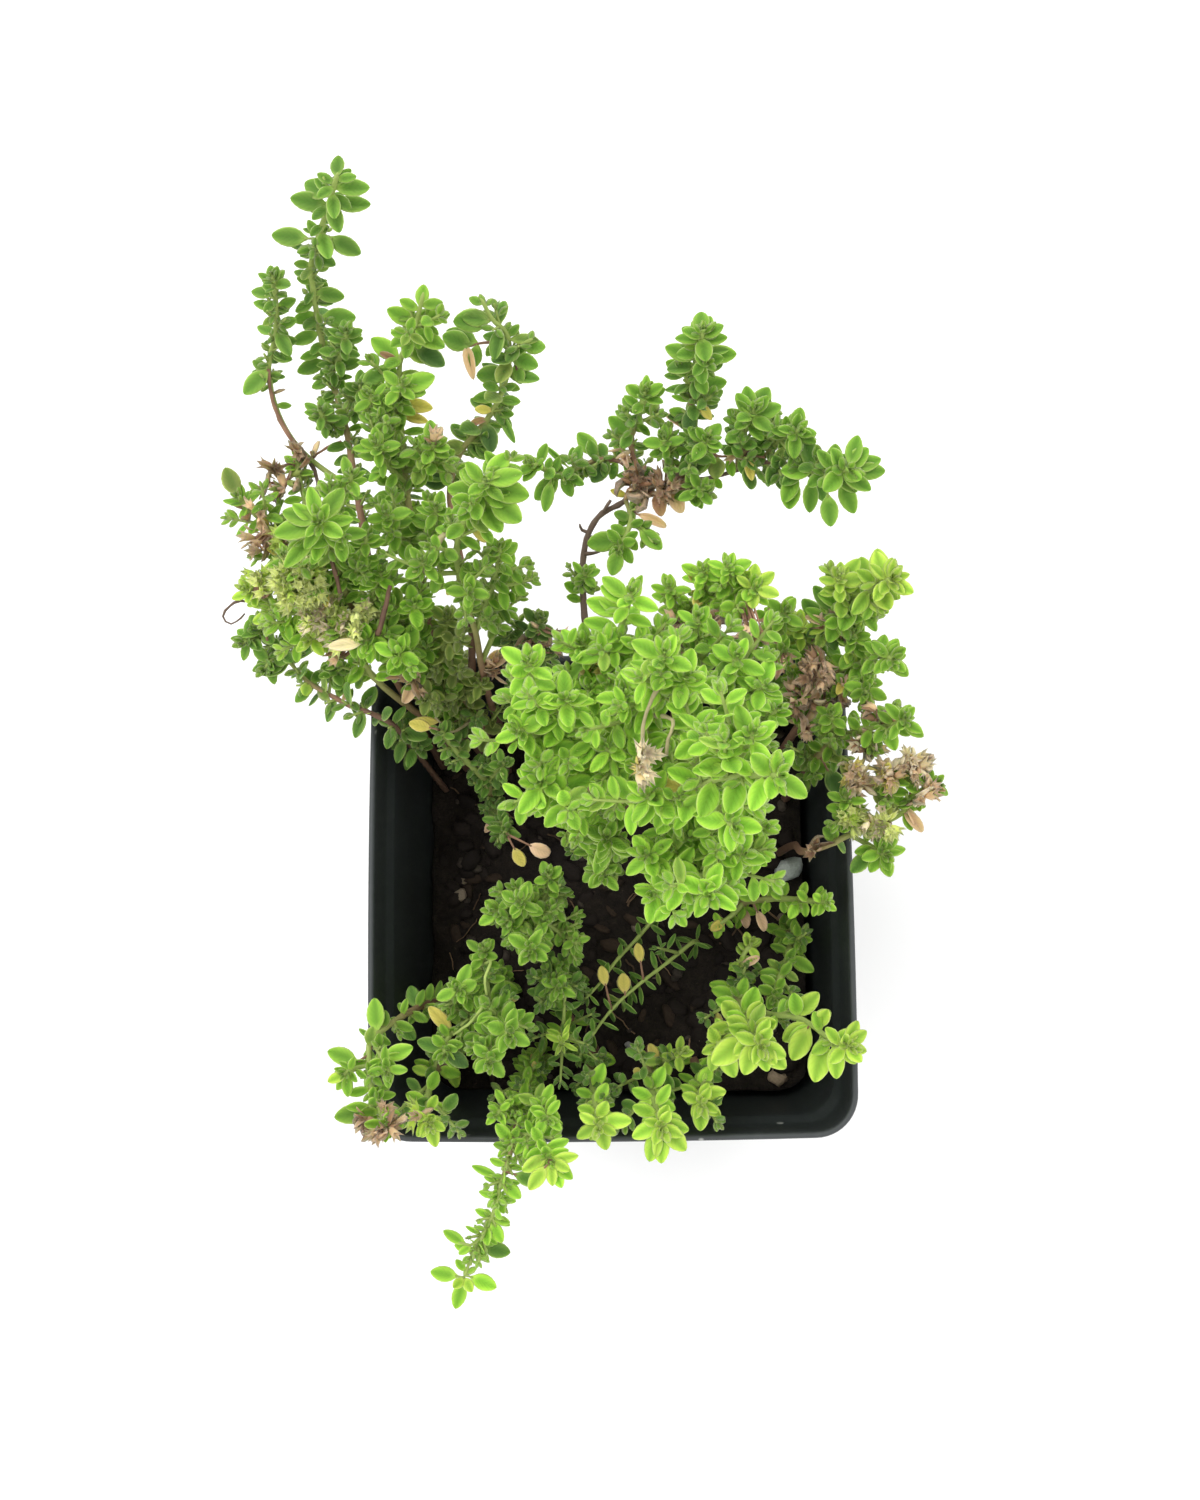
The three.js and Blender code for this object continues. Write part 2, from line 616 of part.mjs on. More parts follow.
    shoots: [
      shoot(5, [[33.5, -9, 82], [32.5, -13, 88], [31, -16.5, 92], [30, -20, 96]], { step: 4.2 }),
      shoot(4.4, [[34.5, -8.5, 85], [35, -9.5, 88]], { on: [0, 0] }),
    ],
  },
  {
    name: 'leafy_stem_front_bright',
    root: [24, -17],
    shoots: [
      shoot(7, [[23.3, -18.5, 84], [23.6, -20.5, 96], [24.6, -23, 103], [26, -26, 109], [27.5, -28.6, 114]]),
      shoot(6.2, [
        [30, -22.7, 103], [34.8, -23.4, 106], [38.5, -26, 109], [41.5, -28.2, 111], [44, -28.6, 114],
      ], { on: [0, 1] }),
      shoot(5, [[21, -26, 101], [19, -29, 104]], { on: [0, 2] }),
      shoot(3.8, [[24, -15, 88], [24.5, -12, 89], [26.5, -9, 88]], { on: [0, 0] }),
    ],
  },
  {
    name: 'leafy_stem_thin_long',
    root: [17, -9],
    shoots: [
      shoot(3.8, [
        [15.2, -9.3, 77], [10, -13.3, 80], [5, -17, 83], [0, -21.5, 86], [-3.5, -26, 89], [-6.5, -30.5, 92],
      ], { step: 2.2 }),
    ],
  },
  {
    name: 'leafy_stem_thin_short',
    root: [9, -2],
    shoots: [
      shoot(4, [
        [8.7, -4, 77], [4.8, -8.6, 80], [1, -12.5, 83], [-2, -16.5, 86], [-5, -19.5, 89],
      ], { step: 2.2 }),
    ],
  },
  {
    name: 'leafy_stem_left_dome',
    root: [-14, -3],
    shoots: [
      shoot(5.6, [[-14, -3.5, 84], [-14.5, -3.5, 96], [-16, -2.5, 104], [-17, -1, 110]]),
      shoot(5.2, [[-19, -3.5, 102], [-22, -3, 106]], { on: [0, 1] }),
      shoot(6, [[-14.5, -7.5, 103], [-15, -10.5, 110]], { on: [0, 1] }),
      shoot(5, [[-11.5, 0.5, 100], [-11.5, 4, 103]], { on: [0, 1] }),
      shoot(4, [[-9.5, -7, 97], [-5.5, -9.5, 99]], { on: [0, 1] }),
    ],
  },
  {
    name: 'leafy_stem_left_front',
    root: [-23, -17],
    shoots: [
      shoot(6.2, [[-23, -17, 84], [-22.5, -19.5, 96], [-20.5, -23, 103], [-18.8, -26, 109]]),
      shoot(4.8, [[-26.5, -18.5, 99], [-28.6, -17.3, 105]], { on: [0, 1] }),
      shoot(5, [[-23.5, -13.5, 99], [-23.8, -9.5, 102]], { on: [0, 1] }),
      shoot(6, [[-22.5, -27.5, 104], [-22.6, -31, 108]], { on: [0, 2] }),
      shoot(5, [[-27.5, -23.5, 97], [-30.3, -26.5, 99], [-31, -29.5, 101]], { on: [0, 1] }),
    ],
  },
  {
    name: 'leafy_stem_front_small',
    root: [-9.5, -15.5],
    shoots: [
      shoot(4.6, [[-9.8, -15.5, 82], [-10, -16.2, 92], [-9.8, -17.6, 98]]),
    ],
  },
  {
    name: 'leafy_stem_front_narrow',
    root: [-9, -24],
    shoots: [
      shoot(4.6, [[-9, -24.5, 82], [-9, -25.8, 92], [-9.2, -27.8, 98]]),
    ],
  },
  {
    name: 'leafy_stem_trailing',
    root: [-15, -31],
    shoots: [
      shoot(4.8, [
        [-15.5, -33, 84], [-16.5, -38, 96], [-18, -43.5, 102], [-19.3, -49, 103], [-20.9, -53.5, 102],
        [-22.3, -58, 101], [-23.8, -62.5, 100], [-25.8, -66.5, 99], [-28, -69.8, 99],
      ], { bare: 0, step: 2.6 }),
      shoot(5.2, [[-13.5, -44, 105], [-10, -47.5, 109]], { on: [0, 2] }),
      shoot(5.4, [[-13, -38.5, 102], [-11.8, -41.5, 107]], { on: [0, 1] }),
      shoot(4.6, [[-19.5, -38.5, 100], [-21.5, -40.5, 103]], { on: [0, 1] }),
      shoot(4, [[-25.8, -63.3, 102], [-28.3, -62.8, 103]], { on: [0, 6] }),
    ],
  },
  {
    name: 'leafy_stem_front_edge',
    root: [-4, -30],
    shoots: [
      shoot(5.2, [[-4, -31.5, 84], [-3.5, -36, 96], [-3, -39.5, 102], [-2.4, -43, 107]]),
    ],
  },
  {
    name: 'leafy_stem_front_edge_right',
    root: [7, -30],
    shoots: [
      shoot(5.6, [[7, -31.5, 84], [7.2, -35.5, 96], [8, -39.5, 103], [9, -43.2, 109]]),
      shoot(4.2, [[10.5, -30.5, 92], [13.3, -29, 95]], { on: [0, 0] }),
    ],
  },
  {
    name: 'leafy_stem_front_star',
    root: [16, -32.5],
    shoots: [
      shoot(5, [[16, -33.5, 84], [15.8, -36.2, 95], [16.4, -39, 101]]),
    ],
  },
  {
    name: 'leafy_stem_corner',
    root: [-33, -20.5],
    shoots: [
      shoot(6, [
        [-34, -20, 86], [-37.5, -21.5, 95], [-41.5, -24, 101], [-44.5, -26.5, 105], [-44.8, -31, 108],
        [-44.3, -36, 109], [-44.5, -40, 111],
      ], { step: 5 }),
      shoot(4.8, [[-47, -31.5, 109], [-49.6, -32.7, 112]], { on: [0, 4] }),
      shoot(5.2, [[-42.2, -30, 109], [-41.3, -32.7, 113]], { on: [0, 3] }),
      shoot(4.8, [[-42.3, -40.5, 112], [-41.2, -42.5, 115]], { on: [0, 5] }),
    ],
  },
  {
    name: 'leafy_stem_corner_inner',
    root: [-32, -32],
    shoots: [
      shoot(5, [[-33, -32.5, 86], [-33.6, -35, 95], [-34, -38.3, 102], [-33.6, -42, 107]], { step: 4.2 }),
    ],
  },
  {
    name: 'leafy_stem_left_thin',
    root: [-23, 16],
    shoots: [
      shoot(4.2, [
        [-22, 17.5, 76], [-22.8, 21, 84], [-25.5, 24, 90], [-29, 27.5, 95], [-32, 31.5, 100],
      ], { bare: 1, step: 3.4 }),
      shoot(4.4, [[-20.8, 14.5, 82], [-19.2, 11.3, 88]], { on: [0, 0] }),
      shoot(4.6, [[-21, 23.5, 90], [-19.5, 25, 94]], { on: [0, 1] }),
    ],
  },
];

// Samples of what is already standing, to keep each stem's leaves clear of the others

const CELL = 4;
const standing = new Map();

function cellKey(x, y, z) {
  return `${Math.floor(x / CELL)},${Math.floor(y / CELL)},${Math.floor(z / CELL)}`;
}

function remember(point, radius, owner) {
  const key = cellKey(point.x, point.y, point.z);
  if (!standing.has(key)) {
    standing.set(key, []);
  }
  standing.get(key).push({ point, radius, owner });
}

/** Whether a small ball clears every sample of the other stems, the pot and the soil. */
function isClear(point, radius, owner) {
  for (let i = -1; i <= 1; i += 1) {
    for (let j = -1; j <= 1; j += 1) {
      for (let k = -1; k <= 1; k += 1) {
        const near = standing.get(cellKey(point.x + i * CELL, point.y + j * CELL, point.z + k * CELL));
        for (const other of near ?? []) {
          if (other.owner !== owner && other.point.distanceTo(point) < radius + other.radius) {
            return false;
          }
        }
      }
    }
  }
  return clearsPot(point, radius);
}

function clearsPot(point, radius) {
  const { x, y, z } = point;
  if (z > POT_HEIGHT + radius) {
    return true;
  }
  const half = potHalf(Math.min(z, POT_HEIGHT));
  const corner = potCorner(Math.min(z, POT_HEIGHT));
  if (squareDistance(x, y, half + SIDE_BOW, corner) > radius) {
    return z > radius;
  }
  const inner = squareDistance(x, y, half - WALL - COLLAR_STEP, corner - WALL);
  return inner < -radius && z > soilTop(x, y) + SOIL_CLEAR + radius;
}

// Stems and leaves

const QUARTER = Math.PI / 2;

/** Curves of a stem's shoots, each side one from a point on an earlier one. */
function layShoots(stem) {
  const laid = [];
  stem.shoots.forEach((habit, index) => {
    const points = habit.way.map(([x, y, z]) => seen(x, y, z));
    let base = WOOD_RADIUS;
    if (index === 0) {
      const [x, y] = stem.root;
      const level = soilTop(x, y);
      points.unshift(
        new THREE.Vector3(x, y, level - ROOT_DEPTH),
        new THREE.Vector3(x, y, level - 2),
        new THREE.Vector3(x, y, level + ROOT_COLLAR),
      );
    } else {
      const [parentIndex, knot] = habit.on;
      const parent = laid[parentIndex];
      const sameKnot = parent.forks.filter((fork) => fork.knot === knot).length;
      const s = Math.min(parent.length - FORK_END, knotLength(parent, knot) + sameKnot * FORK_STEP);
      parent.forks.push({ child: index, knot, s });
      points.unshift(parent.curve.getPointAt(s / parent.length));
      base = Math.min(SIDE_RADIUS, 0.92 * radiusAt(parent, s));
    }
    const curve = new THREE.CatmullRomCurve3(points, false, 'centripetal');
    laid.push({ habit, index, curve, base, length: curve.getLength(), lead: index === 0 ? 3 : 1, forks: [] });
  });
  return laid;
}

/** Length along a shoot at one of its way points. */
function knotLength({ curve, lead }, knot) {
  const lengths = curve.getLengths();
  return lengths[Math.round((lengths.length - 1) * (knot + lead) / (curve.points.length - 1))];
}

function radiusAt({ base, length }, s) {
  return THREE.MathUtils.lerp(base, TIP_RADIUS, s / length);
}

/** Frames along a curve that turn no more than the curve itself does. */
function carryFrames(curve) {
  const count = Math.max(8, Math.ceil(curve.getLength()));
  const frames = [];
  let side = null;
  let before = null;
  for (let i = 0; i <= count; i += 1) {
    const tangent = curve.getTangentAt(i / count);
    if (side === null) {
      side = tangent.clone().cross(UP).add(ASKEW);
    } else {
      side = side.clone().applyQuaternion(new THREE.Quaternion().setFromUnitVectors(before, tangent));
    }
    side.addScaledVector(tangent, -side.dot(tangent)).normalize();
    before = tangent;
    frames.push(side);
  }
  return frames;
}

/** Centre, tangent and the two cross directions of a shoot at length s. */
function frameAt(laid, s) {
  const t = THREE.MathUtils.clamp(s / laid.length, 0, 1);
  const tangent = laid.curve.getTangentAt(t);
  const carried = laid.frames[Math.round(t * (laid.frames.length - 1))];
  const side = carried.clone().addScaledVector(tangent, -carried.dot(tangent)).normalize();
  return { centre: laid.curve.getPointAt(t), tangent, side, rise: tangent.clone().cross(side) };
}

function directionAt(frame, angle) {
  return frame.side.clone().multiplyScalar(Math.cos(angle)).addScaledVector(frame.rise, Math.sin(angle));
}

/** Angle about the stem at which a direction stands out from it. */
function angleOf(frame, direction) {
  return Math.atan2(direction.dot(frame.rise), direction.dot(frame.side));
}

/** The turn nearest to the present one that sets a flat of the square stem at the wanted angle. */
function turnNear(turn, wanted) {
  return wanted + Math.round((turn - wanted) / QUARTER) * QUARTER;
}

/** Number of the flat that faces an angle, for a stem turned so. */
function flatAt(turn, angle) {
  return (Math.round((angle - turn) / QUARTER) % 4 + 4) % 4;
}

/** The leaf's own axes: along it, its left edge and its upper face, turned to the light. */
function leafAxes(frame, angle, spread) {
  const along = directionAt(frame, angle).multiplyScalar(Math.sin(spread))
    .addScaledVector(frame.tangent, Math.cos(spread)).normalize();
  const face = frame.tangent.clone().addScaledVector(UP, LIGHT_TURN);
  face.addScaledVector(along, -face.dot(along)).normalize();
  return { along, left: face.clone().cross(along), face };
}

/** A point of a blade, given along it, to its left and above it as fractions of its length. */
function bladePoint(leaf, along, side, lift) {
  const droop = -BLADE_DROOP * leaf.length * along * along;
  return leaf.root.clone()
    .addScaledVector(leaf.axes.along, along * leaf.length)
    .addScaledVector(leaf.axes.left, side * leaf.length)
    .addScaledVector(leaf.axes.face, lift + droop);
}

/** Blade sections from its base: bottom rib, left edge, upper rib and right edge, then its tip. */
function bladePoints(leaf) {
  const cup = -BLADE_CUP * leaf.length;
  const sections = leaf.length > SMALL_LEAF ? BLADE : [BLADE_SMALL];
  const points = sections.flatMap(([along, side]) => [
    bladePoint(leaf, along, 0, cup - BLADE_THICK / 2),
    bladePoint(leaf, along, side, 0),
    bladePoint(leaf, along, 0, cup + BLADE_THICK / 2),
    bladePoint(leaf, along, -side, 0),
  ]);
  points.push(bladePoint(leaf, 1, 0, 0));
  return points;
}

/** Faces of a blade on the four corners a, b, c, d of its root, its points from first on. */
function bladeFaces(first, count, [a, b, c, d]) {
  const [under, left, upper, right] = [first, first + 1, first + 2, first + 3];
  const faces = [
    a, b, under, b, left, under, b, c, left, c, upper, left,
    c, d, upper, d, right, upper, d, a, right, a, under, right,
  ];
  let last = first;
  if (count > 5) {
    const far = first + 4;
    faces.push(
      under, left, far + 1, under, far + 1, far, left, upper, far + 1, upper, far + 2, far + 1,
      upper, right, far + 3, upper, far + 3, far + 2, right, under, far + 3, under, far, far + 3,
    );
    last = far;
  }
  const tip = first + count - 1;
  for (let i = 0; i < 4; i += 1) {
    faces.push(last + i, last + (i + 1) % 4, tip);
  }
  return faces;
}

/** Points over the blade, close enough together that no other blade passes between them. */
function bladeSamples(leaf) {
  const samples = [];
  for (const along of [0.3, 0.45, 0.6, 0.78, 0.97]) {
    const half = along < 0.9 ? BLADE[0][1] : 0.05;
    for (const side of [-half, -half / 2, 0, half / 2, half]) {
      const cup = -BLADE_CUP * leaf.length * (1 - Math.abs(side) / BLADE[0][1]);
      samples.push(bladePoint(leaf, along, side, cup));
    }
  }
  return samples;
}

/** Whether an edge of one face passes through the other face. */
function pierces(points, one, two, ray, hit) {
  for (let i = 0; i < 3; i += 1) {
    const from = points[one[i]];
    ray.origin.copy(from);
    ray.direction.copy(points[one[(i + 1) % 3]]).sub(from);
    const reach = ray.direction.length();
    ray.direction.divideScalar(reach);
    const found = ray.intersectTriangle(points[two[0]], points[two[1]], points[two[2]], false, hit);
    const along = found ? hit.distanceTo(from) : 0;
    if (found && along > TOUCH && along < reach - TOUCH) {
      return true;
    }
  }
  return false;
}

/** Pairs of faces of one stem's skin that pass through each other, as pairs of face numbers. */
function findCrossings({ points, faces }) {
  const ray = new THREE.Ray();
  const hit = new THREE.Vector3();
  const items = [];
  for (let i = 0; i < faces.length; i += 3) {
    const corners = faces.slice(i, i + 3);
    const box = new THREE.Box3().setFromPoints(corners.map((corner) => points[corner]));
    items.push({ number: i / 3, corners, box });
  }
  items.sort((one, two) => one.box.min.x - two.box.min.x);
  const found = [];
  items.forEach((one, i) => {
    for (let j = i + 1; j < items.length && items[j].box.min.x <= one.box.max.x; j += 1) {
      const two = items[j];
      const shared = one.corners.filter((corner) => two.corners.includes(corner)).length;
      if (shared < 2 && one.box.intersectsBox(two.box)) {
        const crossed = pierces(points, one.corners, two.corners, ray, hit)
          || pierces(points, two.corners, one.corners, ray, hit);
        if (crossed) {
          found.push([one.number, two.number]);
        }
      }
    }
  });
  return found;
}

/** Whether a blade keeps off the stems of its own node beyond the place that it grows from. */
function clearsStems(samples, root, tubes) {
  return samples.every((sample) => tubes.every(({ point, radius }) => (
    point.distanceTo(root) < OWN_REACH || sample.distanceTo(point) > radius + STEM_CLEAR
  )));
}

/** Tries a leaf at a few bends and keeps the first that clears the stems and the other leaves. */
function fitLeaf(frame, angle, spread, length, growth, key) {
  for (let i = growth.refused.get(key) ?? 0; i < BENDS.length; i += 1) {
    const bent = radians(spread + BENDS[i]);
    const leaf = { root: frame.centre, axes: leafAxes(frame, angle, bent), length, key, bend: i };
    const samples = bladeSamples(leaf);
    const free = samples.every((p) => isClear(p, CLEAR / 2, growth.owner));
    if (free && clearsStems(samples, frame.centre, growth.tubes)) {
      return leaf;
    }
  }
  return null;
}

/** Leaf pairs of a shoot from its tip back, the tip's two pairs at one place. */
function leafEvents(laid, from) {
  const { step, bare, roll } = laid.habit;
  const start = bare > 0 ? knotLength(laid, bare - 1) : from;
  const events = [];
  let s = laid.length - TIP_SETBACK;
  for (let k = 0; s > Math.max(start, from); k += 1) {
    const seed = laid.index * 31 + k * 7;
    events.push({ s, half: NODE_HALF, seed, k, wanted: radians(roll + ROLL_SWAY * sway(seed)) });
    s -= step * PAIR_STEPS[Math.min(k, PAIR_STEPS.length - 1)];
  }
  return events;
}

/** Side shoots of a shoot, each with the angle and the height of its opening. */
function forkEvents(laid, shoots) {
  return laid.forks.map(({ child, s }) => {
    const side = shoots[child];
    const frame = frameAt(laid, s);
    const ahead = side.curve.getPointAt(Math.min(1, FORK_LOOK / side.length));
    const direction = ahead.sub(frame.centre).normalize();
    const cosine = THREE.MathUtils.clamp(direction.dot(frame.tangent), -FORK_CLOSEST, FORK_CLOSEST);
    const lean = Math.acos(cosine);
    const flat = FLAT * radiusAt(laid, s);
    const shift = THREE.MathUtils.clamp(flat / Math.tan(lean), -FORK_SHIFT, FORK_SHIFT);
    const half = THREE.MathUtils.clamp(FLAT * side.base / Math.sin(lean), NODE_HALF, FORK_HALF);
    side.start = (flat + FLAT * side.base * Math.abs(cosine) + FORK_NECK) / Math.sin(lean);
    const place = Math.min(s + shift, laid.length - FORK_HALF);
    return { s: place, half, child, wanted: angleOf(frame, direction) };
  });
}

/** All that grows from a shoot in order, each pair of leaves moved clear of the side shoots. */
function shootEvents(laid, shoots, from) {
  const forks = forkEvents(laid, shoots).sort((one, two) => one.s - two.s);
  for (let i = 1; i < forks.length; i += 1) {
    forks[i].s = Math.max(forks[i].s, forks[i - 1].s + forks[i - 1].half + forks[i].half + EVENT_GAP);
  }
  const events = [...forks];
  for (const pair of leafEvents(laid, from)) {
    for (const fork of [...forks].reverse()) {
      if (Math.abs(fork.s - pair.s) < fork.half + pair.half + EVENT_GAP) {
        pair.s = fork.s - fork.half - pair.half - EVENT_GAP;
      }
    }
    if (events.every((other) => Math.abs(other.s - pair.s) >= other.half + pair.half) && pair.s > from) {
      events.push(pair);
    }
  }
  return events.sort((one, two) => one.s - two.s);
}

function addRing(growth, laid, s, turn) {
  const frame = frameAt(laid, s);
  const radius = radiusAt(laid, s);
  return [0, 1, 2, 3].map((j) => {
    const out = directionAt(frame, turn + (j + 0.5) * QUARTER);
    growth.points.push(frame.centre.clone().addScaledVector(out, radius));
    return growth.points.length - 1;
  });
}

/** The four flats between two rings, some of them open to let a leaf or a side shoot out. */
function addBand(growth, low, high, openings = {}) {
  for (let m = 0; m < 4; m += 1) {
    const back = (m + 3) % 4;
    const corners = [low[back], low[m], high[m], high[back]];
    if (openings[m]) {
      openings[m](corners);
    } else {
      const [a, b, c, d] = corners;
      growth.faces.push(a, b, c, a, c, d);
    }
  }
}

/** One square shoot with all that grows from it, from its own base or from a parent's opening. */
function growShoot(growth, index, opening) {
  const laid = growth.shoots[index];
  let done = 0;
  let turn = 0;
  let ring;
  if (opening) {
    const first = growth.points[opening[0]];
    const middle = opening.reduce((sum, i) => sum.add(growth.points[i]), new THREE.Vector3()).divideScalar(4);
    const frame = frameAt(laid, laid.start);
    turn = angleOf(frame, first.clone().sub(middle)) - QUARTER / 2;
    ring = addRing(growth, laid, laid.start, turn);
    addBand(growth, opening, ring);
    done = laid.start;
  } else {
    ring = addRing(growth, laid, 0, 0);
    growth.faces.push(ring[0], ring[3], ring[2], ring[0], ring[2], ring[1]);
  }
  const reach = (s, wanted, openings) => {
    turn = turnNear(turn, wanted);
    const count = openings ? 1 : Math.max(1, Math.round((s - done) / RING_STEP));
    const from = done;
    for (let i = 1; i <= count; i += 1) {
      const next = addRing(growth, laid, from + (s - from) * i / count, turn);
      addBand(growth, ring, next, openings);
      ring = next;
    }
    done = s;
  };
  for (const event of shootEvents(laid, growth.shoots, done + 2 * NODE_HALF)) {
    const nextTurn = turnNear(turn, event.wanted);
    const openings = event.child === undefined
      ? leafOpenings(growth, laid, event, nextTurn)
      : { [flatAt(nextTurn, event.wanted)]: (corners) => growShoot(growth, event.child, corners) };
    if (Object.keys(openings).length > 0 && event.s - event.half > done + EVENT_GAP / 2) {
      reach(event.s - event.half, event.wanted);
      reach(event.s + event.half, event.wanted, openings);
    }
  }
  reach(laid.length - TIP_POINT, turn);
  growth.points.push(laid.curve.getPointAt(1));
  const tip = growth.points.length - 1;
  for (let j = 0; j < 4; j += 1) {
    growth.faces.push(ring[j], ring[(j + 1) % 4], tip);
  }
}

/** Leaves of one place on a shoot: two facing each other, and two more across at the tip. */
function leafOpenings(growth, laid, { s, seed, k, wanted }, turn) {
  const frame = frameAt(laid, s);
  const openings = {};
  const pairs = k === 0 ? [0, 1] : [(k + 1) % 2];
  for (const pair of pairs) {
    for (const half of [0, 2]) {
      const angle = wanted + (pair + half) * QUARTER;
      const own = growth.owner * 97 + seed + pair + half;
      const rank = k === 0 ? pair : 2;
      const spread = SPREADS[rank] + SPREAD_SWAY * sway(own);
      const size = (laid.habit.leaf + LEAF_FOOT) * SIZES[rank] * (1 + SIZE_SWAY * sway(own + 3));
      const key = `${laid.index}-${k}-${pair + half}`;
      const leaf = fitLeaf(frame, angle, spread, size, growth, key);
      if (leaf) {
        openings[flatAt(turn, angle)] = (corners) => addBlade(growth, leaf, corners);
      }
    }
  }
  return openings;
}

function addBlade(growth, leaf, corners) {
  const blade = bladePoints(leaf);
  const first = growth.faces.length / 3;
  growth.faces.push(...bladeFaces(growth.points.length, blade.length, corners));
  growth.points.push(...blade);
  growth.leaves.push({ leaf, first, last: growth.faces.length / 3 - 1 });
}

/** A whole stem, grown again with the leaves bent aside or left out until nothing crosses. */
function growStem(growth) {
  for (let round = 0; round < GROWING_ROUNDS; round += 1) {
    Object.assign(growth, { points: [], faces: [], leaves: [] });
    growShoot(growth, 0);
    const crossings = findCrossings(growth);
    if (crossings.length === 0) {
      break;
    }
    const leafOf = (face) => growth.leaves.find(({ first, last }) => face >= first && face <= last);
    const moved = new Set();
    for (const [one, two] of crossings) {
      const chosen = leafOf(Math.max(one, two)) ?? leafOf(Math.min(one, two));
      if (chosen && !moved.has(chosen)) {
        moved.add(chosen);
        growth.refused.set(chosen.leaf.key, chosen.leaf.bend + 1);
      }
    }
  }
  growth.leaves.forEach(({ leaf }) => {
    bladeSamples(leaf).forEach((p) => remember(p, CLEAR / 2, growth.owner));
  });
  return toSolid(indexed(growth.points, growth.faces));
}

// Putting the plant together

const COLOURS = {
  pot: { color: 0x1d2026, roughness: 0.5, metalness: 0 },
  soil: { color: 0x2b2119, roughness: 0.95, metalness: 0 },
  leaf: { color: 0x5f9c35, roughness: 0.6, metalness: 0 },
};

function named(name, solid, colour) {
  const mesh = new THREE.Mesh(toGeometry(solid), new THREE.MeshStandardMaterial(COLOURS[colour]));
  mesh.name = name;
  return mesh;
}

const growths = STEMS.map((stem, owner) => {
  const shoots = layShoots(stem);
  const tubes = [];
  for (const laid of shoots) {
    laid.frames = carryFrames(laid.curve);
    const count = Math.ceil(laid.length);
    for (let i = 0; i <= count; i += 1) {
      const t = i / count;
      const tube = { point: laid.curve.getPointAt(t), radius: radiusAt(laid, laid.length * t) };
      tubes.push(tube);
      remember(tube.point, tube.radius, owner);
    }
  }
  return { owner, shoots, tubes, refused: new Map() };
});

const plant = new THREE.Group();
const roots = STEMS.map(({ root: [x, y] }) => ({ x, y, radius: WOOD_RADIUS }));
plant.add(named('pot', makePot(), 'pot'));
plant.add(named('soil', makeSoil(roots), 'soil'));
for (const growth of growths) {
  plant.add(named(STEMS[growth.owner].name, growStem(growth), 'leaf'));
}

export default plant;
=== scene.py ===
"""Common thyme in a square nursery pot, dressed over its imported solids.

The classes hold millimetres and Blender gets metres. Both share the solids' origin,
the centre of the pot's flat underside, with +X to the picture's right and +Y to its top.
"""

import logging
import math
from collections.abc import Sequence
from dataclasses import dataclass, field
from enum import Enum
from typing import ClassVar

import bmesh
import bpy
import numpy as np
from mathutils import Matrix, Vector, noise


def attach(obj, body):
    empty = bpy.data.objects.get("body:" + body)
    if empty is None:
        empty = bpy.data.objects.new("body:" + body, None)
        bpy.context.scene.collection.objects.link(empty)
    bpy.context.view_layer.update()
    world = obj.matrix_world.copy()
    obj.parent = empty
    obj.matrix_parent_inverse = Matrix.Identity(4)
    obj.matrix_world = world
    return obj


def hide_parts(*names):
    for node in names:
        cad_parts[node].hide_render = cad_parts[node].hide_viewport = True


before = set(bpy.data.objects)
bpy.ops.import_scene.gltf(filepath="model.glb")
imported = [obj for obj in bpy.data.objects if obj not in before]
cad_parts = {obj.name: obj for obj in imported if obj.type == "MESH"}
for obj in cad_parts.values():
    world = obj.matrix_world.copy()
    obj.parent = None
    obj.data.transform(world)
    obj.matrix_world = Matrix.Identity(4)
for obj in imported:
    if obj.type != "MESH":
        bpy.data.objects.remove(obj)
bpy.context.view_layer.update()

log = logging.getLogger("thyme")

Array = np.ndarray
Material = bpy.types.Material
Solid = bpy.types.Object
Colour = tuple[float, float, float]
Place = tuple[float, float, float]
Spot = tuple[float, float]

MM = 0.001
QUARTER = math.pi / 2
UP = np.array([0.0, 0.0, 1.0])

# The picture was taken from above, from this point over the pot
EYE = np.array([6.0, -14.0, 395.0])
AIM = np.array([-1.5, 27.0, 95.0])
CAMERA_ROLL = -0.7
LENS = 38.5

# Driving sizes of the pot and the soil, the same as the solids'
POT_HEIGHT = 95.0
RIM_HALF = 45.0
BASE_HALF = 33.5
RIM_CORNER = 8.0
BASE_CORNER = 6.0
WALL = 1.2
FLOOR = 1.8
COLLAR_HEIGHT = 10.5
COLLAR_STEP = 1.2
COLLAR_FLARE = 0.9
SIDE_BOW = 0.35
SOIL_LEVEL = 62.0
SOIL_SLOPE = 0.2

# Driving sizes of the stems, the same as the solids'
ROOT_DEPTH = 7.0
ROOT_COLLAR = 3.0
WOOD_RADIUS = 0.95
TIP_RADIUS = 0.4
SIDE_RADIUS = 0.6
FORK_STEP = 1.9
FORK_END = 1.6
TIP_SETBACK = 1.6
LEAF_FOOT = 0.9
BARE_FOOT = 1.6
LIGHT_TURN = 0.6
PAIR_STEPS = (2.2, 4.0, 4.5)
SPREADS = (44.0, 66.0, 80.0)
FULL_FROM = 4.9
MIDDLE_FROM = 2.9
ROLL_SWAY = 9.0
SPREAD_SWAY = 7.0
SIZE_SWAY = 0.1
LEAST_BEND = 0.001
TIP_LIFT = 1.3
TIP_LIFT_REACH = 4.5
ASKEW = np.array([0.12, 0.05, 0.0])

# How far a leaf keeps clear of the rim, the pot's outside, its inside, the soil and the table
RIM_CLEAR = 0.6
OUTSIDE_CLEAR = 0.5
WALL_CLEAR = 0.7
SOIL_CLEAR = 0.7
TABLE_CLEAR = 2.0

# Material slots of a leafy stem
LEAF_SLOT = 0
STEM_SLOT = 1


class Tint(Enum):
    """A named linear colour."""

    @property
    def rgb(self) -> Array:
        """Return the colour as an array."""
        return np.array(self.value)


